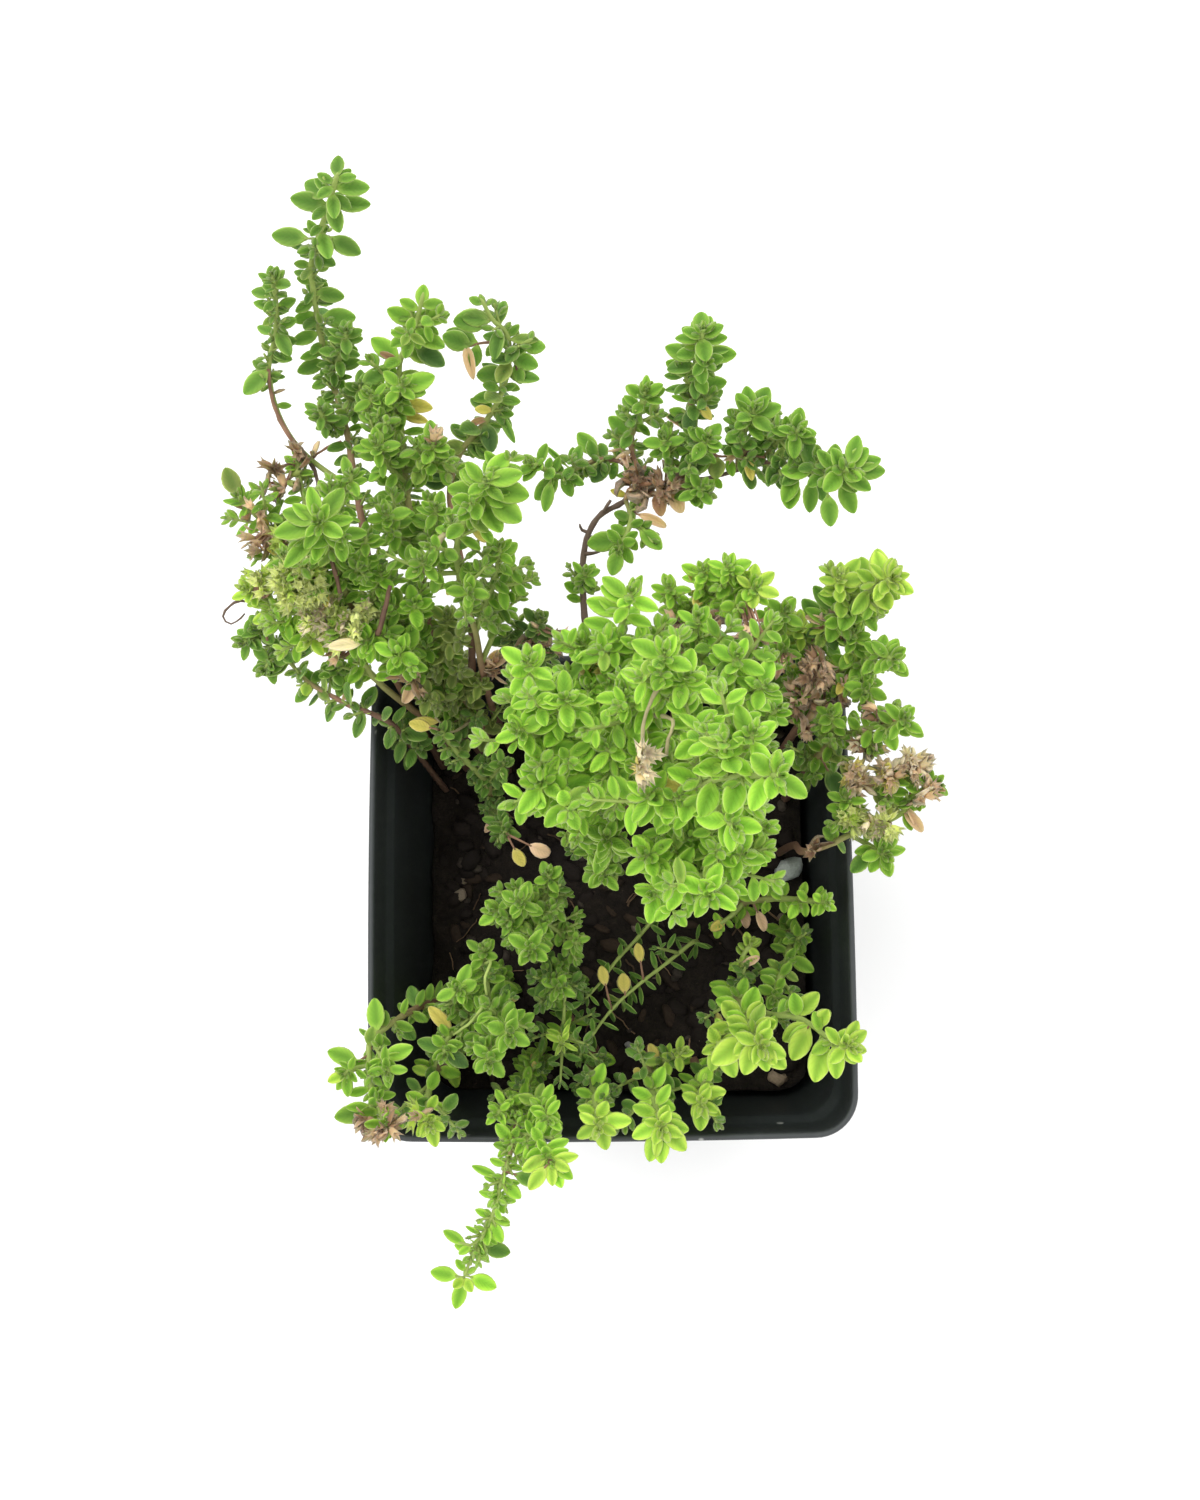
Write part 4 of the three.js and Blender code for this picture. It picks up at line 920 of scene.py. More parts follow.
@dataclass
class LeafPile:
    """Leaves of one form, gathered before their meshes are made all at once."""

    blade: Blade
    rows: list[Array] = field(default_factory=list)

    def add(self, root: Array, along: Array, face: Array, length: float, tint: Array,
            width: float, cup: float, bend: float) -> None:
        """Add one leaf.

        Args:
            root: Where its stalk starts.
            along: Direction of the leaf.
            face: Direction that its upper face looks.
            length: Its length.
            tint: Its colour.
            width: Its width over the form's own.
            cup: How far its edges stand up.
            bend: How far it curves down, in radians.
        """
        self.rows.append(np.concatenate([root, along, face, tint, [length, width, cup, bend]]))

    def put_into(self, pool: MeshPool) -> None:
        """Shape all the leaves at once.

        Args:
            pool: Gets their points and faces.
        """
        if not self.rows:
            return
        rows = np.array(self.rows)
        root, along, face, tint = (rows[:, 3 * k:3 * k + 3][:, None] for k in range(4))
        length, width, cup, bend = (rows[:, 12 + k][:, None, None] for k in range(4))
        left = np.cross(face, along)
        a, half, across, lift, under = (part[None, :, None] for part in self.blade.grid())
        angle = np.where(np.abs(bend) < LEAST_BEND, LEAST_BEND, bend)
        reach = length * np.sin(angle * a) / angle
        sink = length * (1 - np.cos(angle * a)) / angle
        raised = lift * length + cup * np.abs(across) * half * length
        points = root + along * reach - face * sink
        points = points + left * (across * half * width * length)
        points = points + (face * np.cos(angle * a) + along * np.sin(angle * a)) * raised
        number, size = len(rows), a.shape[1]
        place = np.stack([np.abs(across[0, :, 0]), a[0, :, 0], under[0, :, 0]], axis=1)
        offsets = np.arange(number)[:, None, None] * size
        one = skin(len(self.blade.rings), len(self.blade.across) + 1, inward=True)
        faces = [(some[None] + offsets).reshape(-1, some.shape[1]) for some in one]
        tints = np.broadcast_to(tint, points.shape).reshape(-1, 3)
        pool.put(points.reshape(-1, 3), faces, tints, np.tile(place, (number, 1)), LEAF_SLOT)


@dataclass(frozen=True)
class Shoot:
    """One shoot: its leaf length, then its way points as seen on the rim's plane.

    "on" is the way point of an earlier shoot that it forks from, as shoot and way point.
    "bare" is the number of way points before its first leaves. "clear" is the length
    from its tip that holds none but the leaves read off the picture.
    """

    leaf: float
    way: tuple[Place, ...]
    on: tuple[int, int] = (0, 1)
    bare: int = 0
    step: float = 5.2
    roll: float = 45.0
    tone: Tone | None = None
    dry: float = 0.0
    clear: float = 0.0


@dataclass(frozen=True)
class Stand:
    """A place on a stem: its centre, the stem's heading there and a side direction."""

    centre: Array
    ahead: Array
    side: Array

    @classmethod
    def level(cls, centre: Array, ahead: Array) -> "Stand":
        """Return a stand whose side direction is about level."""
        return cls(centre, ahead, squared(unit(np.cross(ahead, UP) + ASKEW), ahead))

    def out(self, angle: float) -> Array:
        """Return the direction away from the stem at an angle about it."""
        return self.side * math.cos(angle) + np.cross(self.ahead, self.side) * math.sin(angle)

    def lifted(self, left: float) -> "Stand":
        """Return the stand turned up to the light, the more the less is left to the tip."""
        ahead = unit(self.ahead + UP * TIP_LIFT * math.exp(-left / TIP_LIFT_REACH))
        return Stand(self.centre, ahead, squared(self.side, ahead))


@dataclass
class Laid:
    """A shoot laid out in space."""

    shoot: Shoot
    index: int
    route: Route
    base: float
    lead: int
    forks: list[tuple[int, float]] = field(default_factory=list)
    sides: Array = field(init=False)

    def __post_init__(self) -> None:
        """Carry a side direction along the shoot."""
        count = max(8, math.ceil(self.route.length))
        self.sides = carried(self.route.heading(np.linspace(0, self.route.length, count + 1)))

    def radius(self, s: Array) -> Array:
        """Return the stem's radius at lengths along it."""
        return self.base + (TIP_RADIUS - self.base) * (s / self.route.length)

    def knot(self, number: int) -> float:
        """Return the length at one of the shoot's own way points."""
        return self.route.knot(number + self.lead)

    def stand(self, s: float) -> Stand:
        """Find how the shoot stands.

        Args:
            s: Length along the shoot.

        Returns:
            The stand there.
        """
        s = min(max(s, 0.0), self.route.length)
        ahead = self.route.heading(s)[0]
        near = self.sides[round(s / self.route.length * (len(self.sides) - 1))]
        return Stand(self.route.place(s)[0], ahead, squared(near, ahead))


@dataclass(frozen=True)
class Mark:
    """A leaf read off the picture: where its tip and its foot are seen, and what sets it apart."""

    x: float
    y: float
    foot_x: float | None = None
    foot_y: float | None = None
    tone: Tone | None = None
    width: float = 1.0


@dataclass(frozen=True)
class Twig:
    """A bare twig from the nearest stem through way points, seen on the rim's plane."""

    way: tuple[Place, ...]
    radius: float = 0.32
    bark: Bark = WOODY


@dataclass(frozen=True)
class Tuft:
    """A tuft of dry leaves and calyces round a place, all on stalks from the nearest stem."""

    place: Spot
    reach: float
    count: int
    tones: tuple[Tone, ...]
    calyces: int = 0
    lift: float = 1.5

    def spot(self, far: float, turn: float) -> Spot:
        """Return where a point of the tuft is seen, from how far out it is and which way."""
        return self.place[0] + far * math.cos(turn), self.place[1] + far * math.sin(turn)


@dataclass(frozen=True)
class Node:
    """A place on a shoot where a pair of leaves stands."""

    s: float
    turn: float
    rank: int
    number: float
    main: bool


@dataclass(frozen=True)
class Stem:
    """One leafy stem: its root place on the soil and its shoots, the first the main one.

    "fill" is the size of its leaves over the solid's, "tip" the colour of its youngest ones,
    "aged" how soon its shoots turn to wood, "low" the number of short shoots at its foot,
    "slim" the thickness of its stems, "narrow" the width of its leaves, and "crown" the
    length from a tip that is densely leafy. "marks" are rows of a Mark's values.
    """

    name: str
    root: Spot
    tone: Tone
    shoots: tuple[Shoot, ...]
    bark: Bark = WOODY
    buds: float = 0.5
    sprigs: float = 0.0
    sprig_length: float = 7.0
    gap: float = 2.9
    light: float = 2.2
    fill: float = 1.0
    tip: Tone | None = None
    aged: float = 1.0
    low: int = 0
    slim: float = 1.0
    narrow: float = 1.0
    crown: float = 200.0
    marks: tuple[tuple, ...] = ()
    twigs: tuple[Twig, ...] = ()
    tufts: tuple[Tuft, ...] = ()

    def lay(self) -> list[Laid]:
        """Lay the shoots out, each side one from a point on an earlier one.

        Returns:
            The shoots in order.
        """
        laid: list[Laid] = []
        for index, shoot in enumerate(self.shoots):
            points = [seen(*place) for place in shoot.way]
            if index == 0:
                x, y = self.root
                level = soil_top(x, y)
                heights = (level - ROOT_DEPTH, level - 2, level + ROOT_COLLAR)
                foot = [np.array([x, y, z]) for z in heights]
                laid.append(Laid(shoot, 0, Route(foot + points), WOOD_RADIUS, len(foot)))
                continue
            parent = laid[shoot.on[0]]
            same = sum(1 for knot, _ in parent.forks if knot == shoot.on[1])
            s = min(parent.route.length - FORK_END, parent.knot(shoot.on[1]) + same * FORK_STEP)
            parent.forks.append((shoot.on[1], s))
            base = min(SIDE_RADIUS, 0.92 * float(parent.radius(s)))
            laid.append(Laid(shoot, index, Route([parent.route.place(s)[0]] + points), base, 1))
        return laid

    def nodes(self, laid: Laid) -> list[Node]:
        """Space the leaf pairs of a shoot from its tip back, each turned across the last.

        Args:
            laid: The shoot.

        Returns:
            The places of the pairs.
        """
        shoot = laid.shoot
        start = max(BARE_FOOT, laid.knot(shoot.bare - 1)) if shoot.bare > 0 else BARE_FOOT
        nodes = []
        s = laid.route.length - TIP_SETBACK
        k = 0
        gap = self.gap * (shoot.leaf * self.fill / 6) ** 0.6
        while s > start:
            seed = laid.index * 31 + k * 7
            wanted = math.radians(shoot.roll + ROLL_SWAY * sway(seed))
            for pair in (0, 1) if k == 0 else ((k + 1) % 2,):
                nodes.append(Node(s, wanted + pair * QUARTER, pair if k == 0 else 2, seed + pair, True))
            wide = shoot.step * PAIR_STEPS[min(k, 2)]
            near = gap * (0.7 if k == 0 else 1)
            parts = max(1, 2 * round((wide / near - 1) / 2) + 1)
            if laid.route.length - s > self.crown:
                parts = 1
            last = 1 if k == 0 else (k + 1) % 2
            for j in range(1, parts):
                share = j / parts if k else (j / parts) ** 1.3
                place = s - wide * share
                if place > start:
                    number = seed + 0.37 * j
                    turn = wanted + (last + j) % 2 * QUARTER + math.radians(6 * sway(number))
                    nodes.append(Node(place, turn, 2, number, False))
            s -= wide
            k += 1
        return [node for node in nodes if laid.route.length - node.s >= shoot.clear]


class Foliage:
    """Builds the stems, leaves and buds of one leafy stem into one piece."""

    # Woodiness: how far from the tip it starts and over how much length it grows, main and side shoots
    MAIN_WOOD, SIDE_WOOD = (14, 34), (18, 36)
    # How far a stem swells where a pair stands, how far that reaches, and the knobs of old wood
    JOINT_SWELL, JOINT_REACH = 0.22, 0.7
    KNOBS = ((0.12, 2.1, 0.0), (0.1, 3.7, 1.0))
    # Leaf colours: old leaves over young ones, dry leaves, the draws that give yellow and olive ones
    DEEP = np.array((0.66, 0.62, 0.66))
    DRY_KINDS = (TAN, TAN, BROWN, YELLOW)
    YELLOW_FROM, OLIVE_FROM = 0.985, 0.93
    # Length from the tip at which a leaf counts as old, and from which buds and sprigs may stand
    OLD_FROM, BUDS_FROM, SPRIGS_FROM = 45, 3.5, 5

    # Pairs of a sprig from its tip: size over the shoot's leaf, spread in degrees, gap to the next
    SPRIG_PAIRS = ((0.40, 16, 0.7), (0.58, 33, 1.3), (0.74, 50, 1.9), (0.86, 64, 2.5), (0.93, 72, 3.0),
                   (0.96, 78, 3.3))
    # Pairs at a shoot's tip: length left to it, size over the shoot's leaf, spread in degrees, turn
    TIP_PAIRS = ((1.1, 0.62, 52, 0.7), (0.8, 0.52, 42, 0.0), (0.5, 0.4, 28, QUARTER), (0.1, 0.26, 12, 0.2))

    # A marked leaf: how far it stands over its stem, bright or dark, and how much longer than the rest
    BRIGHT_LIFT, DARK_LIFT, CLEAR_LIFT, LONGEST = 2.4, 0.4, 3.5, 1.1

    # Rings of a calyx: place along it, radius over its length, depth of its teeth, painted shade that darkens
    # it towards its mouth
    CALYX_RINGS = ((0.0, 0.09, 0.0, 1.0), (0.3, 0.22, 0.0, 1.0), (0.7, 0.25, 0.0, 0.95),
                   (1.0, 0.32, 0.36, 0.85))
    CALYX_SIDES = 10

    def __init__(self, stem: Stem, owner: int) -> None:
        """Lay out the stem.

        Args:
            stem: The stem.
            owner: Its number among the stems.
        """
        self.stem = stem
        self.owner = owner
        self.rng = np.random.default_rng(1000 + owner)
        self.pool = MeshPool()
        self.full, self.middle, self.small = (LeafPile(form) for form in BLADES)
        self.scale = max(0.8, stem.fill)
        self.laid = stem.lay()
        self.line = [laid.route.place(np.arange(1.0, laid.route.length, 0.5)) for laid in self.laid]
        self.spots = [on_rim_plane(line) for line in self.line]

    def build(self, leaf: Material, bark: Material) -> Solid:
        """Build the piece.

        Args:
            leaf: Material of the blades.
            bark: Material of the stems.

        Returns:
            The finished piece.
        """
        for laid in self.laid:
            self.grow_stem(laid)
            self.grow_leaves(laid)
            self.grow_tip(laid)
        for number in range(self.stem.low):
            self.grow_low(number)
        for twig in self.stem.twigs:
            self.grow_twig(twig)
        for row in self.stem.marks:
            self.grow_mark(Mark(*row))
        for tuft in self.stem.tufts:
            self.grow_tuft(tuft)
        for pile in (self.full, self.middle, self.small):
            pile.put_into(self.pool)
        return self.pool.make(f"thyme_{self.stem.name}", (leaf, bark))

    def flat(self, low: float, width: float) -> float:
        """Return an even draw from low to low + width."""
        return low + width * self.rng.random()

    def bell(self, middle: float, spread: float) -> float:
        """Return a draw about a middle."""
        return middle + spread * self.rng.standard_normal()

    def bark_tints(self, laid: Laid, s: Array) -> tuple[Array, Array]:
        """Colour a shoot from its woody foot to its green tip.

        Args:
            laid: The shoot.
            s: Lengths along it.

        Returns:
            The colour and the woodiness at each length.
        """
        left = (laid.route.length - s) * self.stem.aged
        start, growth = self.SIDE_WOOD if laid.index else self.MAIN_WOOD
        age = np.clip((left - start) / growth, 0, 1)
        green, pink, wood = (bark.rgb for bark in (GREEN, PINK, self.stem.bark))
        young = green + (pink - green) * np.clip(age * 2, 0, 1)[:, None]
        return young + (wood - young) * np.clip(age * 2 - 1, 0, 1)[:, None], age

    def grow_stem(self, laid: Laid) -> None:
        """Add a shoot's stem, a little swollen where leaves stand.

        Args:
            laid: The shoot.
        """
        length = laid.route.length
        s = np.linspace(0, length, max(4, math.ceil(length / 1.1)) + 1)
        radii = laid.radius(s) * self.stem.slim
        for node in self.stem.nodes(laid):
            radii = radii * (1 + self.JOINT_SWELL * np.exp(-(((s - node.s) / self.JOINT_REACH) ** 2)))
        if self.stem.aged > 1:
            radii = radii * (1 + sum(size * np.sin(wave * s + start) for size, wave, start in self.KNOBS))
        radii[-1] *= 0.4
        count = len(laid.sides) - 1
        near = np.clip(np.round(s / length * count).astype(int), 0, count)
        sides = 8 if laid.index == 0 else 6
        tint, age = self.bark_tints(laid, s)
        self.pool.tube(laid.route.place(s), radii, tint, age, STEM_SLOT, sides, 0.7, laid.sides[near])

    def leaf_tint(self, age: float, shoot: Shoot) -> Array:
        """Pick a leaf's own colour.

        Args:
            age: From 0 at the shoot's tip to 1 on its oldest part.
            shoot: The shoot that it stands on.

        Returns:
            The colour.
        """
        base = (shoot.tone or self.stem.tone).rgb
        colour = base + (LIME.rgb - base) * 0.1 * max(0.0, 1 - age * 4)
        if self.stem.tip:
            colour = base + (self.stem.tip.rgb - base) * max(0.0, 1 - age * 4.5)
        colour = colour + (base * self.DEEP - colour) * min(0.75, 0.5 * age)
        roll = self.rng.random()
        if self.rng.random() < shoot.dry:
            colour = self.DRY_KINDS[int(self.rng.integers(len(self.DRY_KINDS)))].rgb
        elif roll > self.YELLOW_FROM and age > 0.3:
            colour = YELLOW.rgb
        elif roll > self.OLIVE_FROM and age > 0.15:
            colour = colour + (OLIVE.rgb * 1.3 - colour) * 0.6
        return colour * self.bell(1, 0.12)

    def axes(self, here: Stand, angle: float, spread: float) -> tuple[Array, Array]:
        """Turn a leaf about its stem and to the light.

        Args:
            here: Where it stands.
            angle: Angle about the stem.
            spread: Angle from the stem.

        Returns:
            The leaf's direction and its upper face's.
        """
        along = here.out(angle) * math.sin(spread) + here.ahead * math.cos(spread)
        lying = 1 - abs(here.ahead[2])
        along = unit(along - UP * (along[2] * 0.5 * lying))
        return along, squared(here.ahead + UP * (LIGHT_TURN + self.stem.light * lying), along)

    def tilt(self, along: Array, face: Array, degrees: float) -> tuple[Array, Array]:
        """Turn a leaf a little at random about its own length.

        Args:
            along: Its direction.
            face: Its upper face's direction.
            degrees: Spread of the turn.

        Returns:
            The turned directions.
        """
        turn = math.radians(degrees) * self.rng.standard_normal()
        return along, unit(face * math.cos(turn) + np.cross(face, along) * math.sin(turn))

    def blocked(self, point: Array) -> bool:
        """Test a point for the soil, the pot's wall and the table.

        Args:
            point: The point in millimetres.

        Returns:
            Whether it is in one of them or too near.
        """
        x, y, z = point
        if z > POT_HEIGHT + RIM_CLEAR:
            return False
        half, corner = pot_half(z), pot_corner(z)
        if square_distance(x, y, half + SIDE_BOW, corner) > OUTSIDE_CLEAR:
            return bool(z < TABLE_CLEAR)
        inner = square_distance(x, y, half - WALL, corner - WALL)
        return bool(inner > -WALL_CLEAR or z < soil_top(x, y) + SOIL_CLEAR)

    def pile(self, length: float) -> LeafPile:
        """Return the pile of the form that is fine enough for a leaf's length."""
        return self.full if length > FULL_FROM else self.middle if length > MIDDLE_FROM else self.small

    def add_leaf(self, root: Array, along: Array, face: Array, length: float,
                 tint: Array, small: bool = False, form: Spot | None = None) -> None:
        """Add a leaf where it is free of the pot and the soil.

        Args:
            root: Where it starts.
            along: Its direction.
            face: Its upper face's direction.
            length: Its length.
            tint: Its colour.
            small: Whether the plainer form is enough.
            form: How far its edges stand up and how far it curves down, if set.
        """
        if self.blocked(root + along * length * 0.55) or self.blocked(root + along * length):
            return
        width = self.stem.narrow * self.bell(1, 0.1)
        cup, bend = form or (self.bell(0.16, 0.1), self.bell(0.38, 0.2))
        self.pile(0.0 if small else length).add(root, along, face, length, tint, width, cup, bend)

    def grow_leaves(self, laid: Laid) -> None:
        """Add a shoot's leaf pairs with the buds at their feet.

        Args:
            laid: The shoot.
        """
        stem = self.stem
        for node in stem.nodes(laid):
            left = laid.route.length - node.s
            here = laid.stand(node.s).lifted(left)
            age = min(1.0, left / self.OLD_FROM)
            grown = (0.88 if node.main else 0.8) * (0.8 + 0.2 * min(1.0, (left - 1.6) / 5))
            grown *= stem.fill + max(0.0, 0.92 - stem.fill) * math.exp(-((left / 6) ** 2))
            wide = SPREADS[node.rank] if node.rank < 2 else min(80.0, 58 + 3.4 * left)
            for half in (0, 2):
                own = self.owner * 97 + node.number + half
                angle = node.turn + half * QUARTER
                spread = math.radians(wide + SPREAD_SWAY * sway(own) + 8 * age)
                size = (laid.shoot.leaf + LEAF_FOOT) * grown * (1 + SIZE_SWAY * sway(own + 3))
                size *= 0.86 if node.rank == 0 else 1
                if not node.main:
                    size *= self.flat(0.86, 0.2)
                along, face = self.tilt(*self.axes(here, angle, spread), 9)
                self.add_leaf(here.centre, along, face, size, self.leaf_tint(age, laid.shoot))
                if left > self.BUDS_FROM and self.rng.random() < stem.buds:
                    self.grow_bud(here, angle, laid.shoot, age)
                if left > self.SPRIGS_FROM and self.rng.random() < stem.sprigs:
                    self.grow_sprig(here, self.bell(angle, 0.4), laid.shoot, age)

    def grow_bud(self, here: Stand, angle: float, shoot: Shoot, age: float) -> None:
        """Add a tiny leafy bud above a leaf's foot.

        Args:
            here: Where it stands.
            angle: Angle about the stem.
            shoot: The shoot that it stands on.
            age: Age there.
        """
        lean = math.radians(self.flat(38, 16))
        axis = unit(here.out(angle) * math.sin(lean) + here.ahead * math.cos(lean) + UP * 0.2)
        pairs = 1 + int(self.rng.random() < 0.45)
        stalk = self.flat(0.5, 1.3)
        end = here.centre + axis * (stalk + 1.2 * pairs)
        rows = np.stack([here.centre, (here.centre + end) / 2, end])
        self.pool.tube(rows, (0.3, 0.26, 0.2), GREEN.rgb, 0.0, STEM_SLOT, 4)
        for pair in range(pairs):
            size = shoot.leaf * (0.5 - 0.1 * pair) * self.flat(0.85, 0.3) * self.scale
            root = here.centre + axis * (stalk + 1.1 * pair)
            self.add_pair(Stand.level(root, axis), pair * QUARTER, 62 - 20 * pair, size, age * 0.6, shoot)

    def add_pair(self, here: Stand, turn: float, spread: float, size: float, age: float,
                 shoot: Shoot) -> None:
        """Add two leaves that face each other.

        Args:
            here: Where they stand.
            turn: Angle of the first about their stem.
            spread: Angle from it, in degrees.
            size: Their length.
            age: Their age.
            shoot: The shoot that they belong to.
        """
        for half in (0, 1):
            angle = self.bell(turn + half * math.pi, 0.22)
            along, face = self.axes(here, angle, math.radians(self.bell(spread, 8)))
            length = size * self.bell(1, 0.1)
            self.add_leaf(here.centre, along, face, length, self.leaf_tint(age, shoot), size < 3.4)

    def grow_sprig(self, here: Stand, angle: float, shoot: Shoot, age: float, reach: float = 1.0) -> None:
        """Add a short side shoot with pairs that open from its tip down.

        Args:
            here: Where it stands.
            angle: Angle about the stem.
            shoot: The shoot that it stands on.
            age: Age there.
            reach: Its length over the usual.
        """
        lean = math.radians(self.flat(40, 30))
        start = unit(here.out(angle) * math.sin(lean) + here.ahead * math.cos(lean))
        end = unit(start + UP * self.flat(0.5, 0.5))
        length = self.stem.sprig_length * reach * self.flat(0.7, 0.6)
        t = np.linspace(0, 1, 7)[:, None]
        path = here.centre + start * length * (t - t * t / 2) + end * length * t * t / 2
        if self.blocked(path[-1]) or self.blocked(path[3]):
            return
        self.pool.tube(path, np.linspace(0.42, 0.22, 7), GREEN.rgb * self.flat(0.8, 0.4), 0.0, STEM_SLOT, 5)
        turn = self.rng.random() * math.pi
        far = 0.2
        for pair, (scale, spread, gap) in enumerate(self.SPRIG_PAIRS):
            if far > length - 1.4:
                break
            place = (length - far) / length
            root = here.centre + start * length * (place - place**2 / 2) + end * length * place**2 / 2
            size = (shoot.leaf + 0.4) * scale * 0.86 * self.scale
            stand = Stand.level(root, unit(start * (1 - place) + end * place))
            self.add_pair(stand, turn + pair * QUARTER, spread, size, 0.5 * age + 0.05 * pair, shoot)
            far += gap

    def grow_low(self, number: int) -> None:
        """Add a short leafy shoot near the stem's foot.

        Args:
            number: Its number, which turns it about the stem.
        """
        laid = self.laid[0]
        first = laid.knot(0)
        last = min(laid.route.length - 4, first + 16)
        s = first + (last - first) * (number + 0.5) / self.stem.low
        shoot = Shoot(4.6, laid.shoot.way, tone=MID)
        self.grow_sprig(laid.stand(s), self.flat(2.4 * number, 1), shoot, 0.5, 1.35)

    def grow_tip(self, laid: Laid) -> None:
        """Add the smallest upright leaves at a shoot's tip.

        Args:
            laid: The shoot.
        """
        if laid.route.length < 3 or laid.shoot.clear > 0:
            return
        for left, scale, spread, turn in self.TIP_PAIRS:
            here = laid.stand(laid.route.length - left).lifted(left)
            for half in (0, 1):
                angle = self.bell(math.radians(laid.shoot.roll) + turn + half * math.pi, 0.2)
                along, face = self.axes(here, angle, math.radians(self.bell(spread, 6)))
                size = laid.shoot.leaf * self.scale * scale * self.flat(0.9, 0.2)
                tint = self.leaf_tint(0.0, laid.shoot)
                self.add_leaf(here.centre, along, face, size, tint, True, (0.3, -0.15))

    def nearest(self, spot: Spot, back: float = 0.0) -> Array:
        """Find the point of the stems that is seen nearest to a spot.

        Args:
            spot: Where it is seen on the rim's plane.
            back: How far towards the root the point then moves.

        Returns:
            The point.
        """
        best, found = math.inf, self.line[0][0]
        for line, spots in zip(self.line, self.spots):
            gaps = np.linalg.norm(spots - np.array(spot), axis=1)
            near = int(np.argmin(gaps))
            if gaps[near] < best:
                best, found = gaps[near], line[max(0, near - round(back / 0.5))]
        return found

    def grow_mark(self, mark: Mark) -> None:
        """Add one leaf by its seen tip, with a stalk where its stem is far.

        Args:
            mark: The leaf.
        """
        spot = (mark.x, mark.y)
        if mark.foot_x is None:
            away = float(np.linalg.norm(on_rim_plane(self.nearest(spot)[None])[0] - np.array(spot)))
            root = self.nearest(spot, min(2.2, 0.35 * away))
        else:
            root = self.nearest((mark.foot_x, mark.foot_y))
        lift = self.DARK_LIFT if mark.tone in (None, MID, DARK) else self.BRIGHT_LIFT
        tip = seen(*spot, self.bell(root[2] + lift, 0.9))
        if self.blocked(tip):
            tip = seen(*spot, root[2] + self.CLEAR_LIFT)
        reach = float(np.linalg.norm(tip - root))
        along = unit(tip - root)
        longest = self.stem.shoots[0].leaf * self.LONGEST
        if reach > longest:
            foot = root + along * (reach - longest)
            middle = (root + foot) / 2 + UP * 0.15 * (reach - longest)
            rows = np.stack([root, middle, foot, foot + along * longest * 0.12])
            bark = PINK if mark.tone else GREEN
            self.pool.tube(rows, (0.3, 0.24, 0.2, 0.16), bark.rgb, 0.0, STEM_SLOT, 5)
            root, reach = foot, longest
        face = squared(UP + 0.8 * unit(EYE - root) + 0.22 * self.rng.standard_normal(3), along)
        age = 0.1 * self.rng.random()
        tint = mark.tone.rgb if mark.tone else self.leaf_tint(age, self.stem.shoots[0])
        width = mark.width * self.stem.narrow * self.bell(1, 0.06)
        cup, bend = (0.9, 0.9) if mark.tone in (TAN, BROWN) else (0.14, self.bell(0.12, 0.1))
        self.pile(reach).add(root, along, face, reach, tint * self.bell(1, 0.08), width, cup, bend)

    def grow_twig(self, twig: Twig) -> None:
        """Add a bare twig.

        Args:
            twig: The twig.
        """
        route = Route([self.nearest(twig.way[0][:2])] + [seen(*place) for place in twig.way])
        s = np.linspace(0, route.length, max(4, math.ceil(route.length / 1.2)) + 1)
        rows = route.place(s)
        rows = rows + 0.04 * self.rng.standard_normal(rows.shape)
        radii = np.linspace(twig.radius * 1.15, twig.radius * 0.7, len(s))
        radii = radii * (1 + 0.15 * self.rng.standard_normal(len(s)).clip(-1, 1))
        tint = twig.bark.rgb * (0.8 + 0.4 * self.rng.random((len(s), 1)))
        self.pool.tube(rows, radii, tint, 0.8, STEM_SLOT)
        self.line.append(rows)
        self.spots.append(on_rim_plane(rows))

    def grow_tuft(self, tuft: Tuft) -> None:
        """Add a tuft of dry leaves and calyces.

        Args:
            tuft: The tuft.
        """
        for number in range(tuft.count + tuft.calyces):
            turn = self.rng.random() * 2 * math.pi
            far = tuft.reach * math.sqrt(self.rng.random())
            root = self.nearest(tuft.spot(0.4 * far, turn))
            tone = tuft.tones[int(self.rng.integers(len(tuft.tones)))].rgb
            tone = tone * min(max(self.bell(1, 0.2), 0.5), 1.6)
            tip = seen(*tuft.spot(far, turn), self.flat(root[2] + tuft.lift, 2))
            if self.blocked(tip):
                continue
            reach = float(np.linalg.norm(tip - root))
            along = unit(tip - root)
            size = self.flat(2.6, 2.2 if number < tuft.count else 0.8)
            foot = tip - along * min(size, reach)
            if reach > size:
                rows = np.stack([root, (root + foot) / 2 + 0.3 * self.rng.standard_normal(3), foot])
                self.pool.tube(rows, (0.24, 0.2, 0.16), PINK.rgb * self.flat(0.7, 0.6), 0.6, STEM_SLOT, 5)
            heading = unit(along + 0.7 * self.rng.standard_normal(3) + UP * 0.25)
            if number < tuft.count:
                face = unit(np.cross(heading, self.rng.standard_normal(3)))
                bend, width, cup = self.bell(0, 1.5), self.flat(0.3, 0.45), self.bell(0, 0.9)
                self.small.add(foot, heading, face, size, tone, width, cup, bend)
            else:
                self.add_calyx(Stand.level(foot, heading), size, tone)

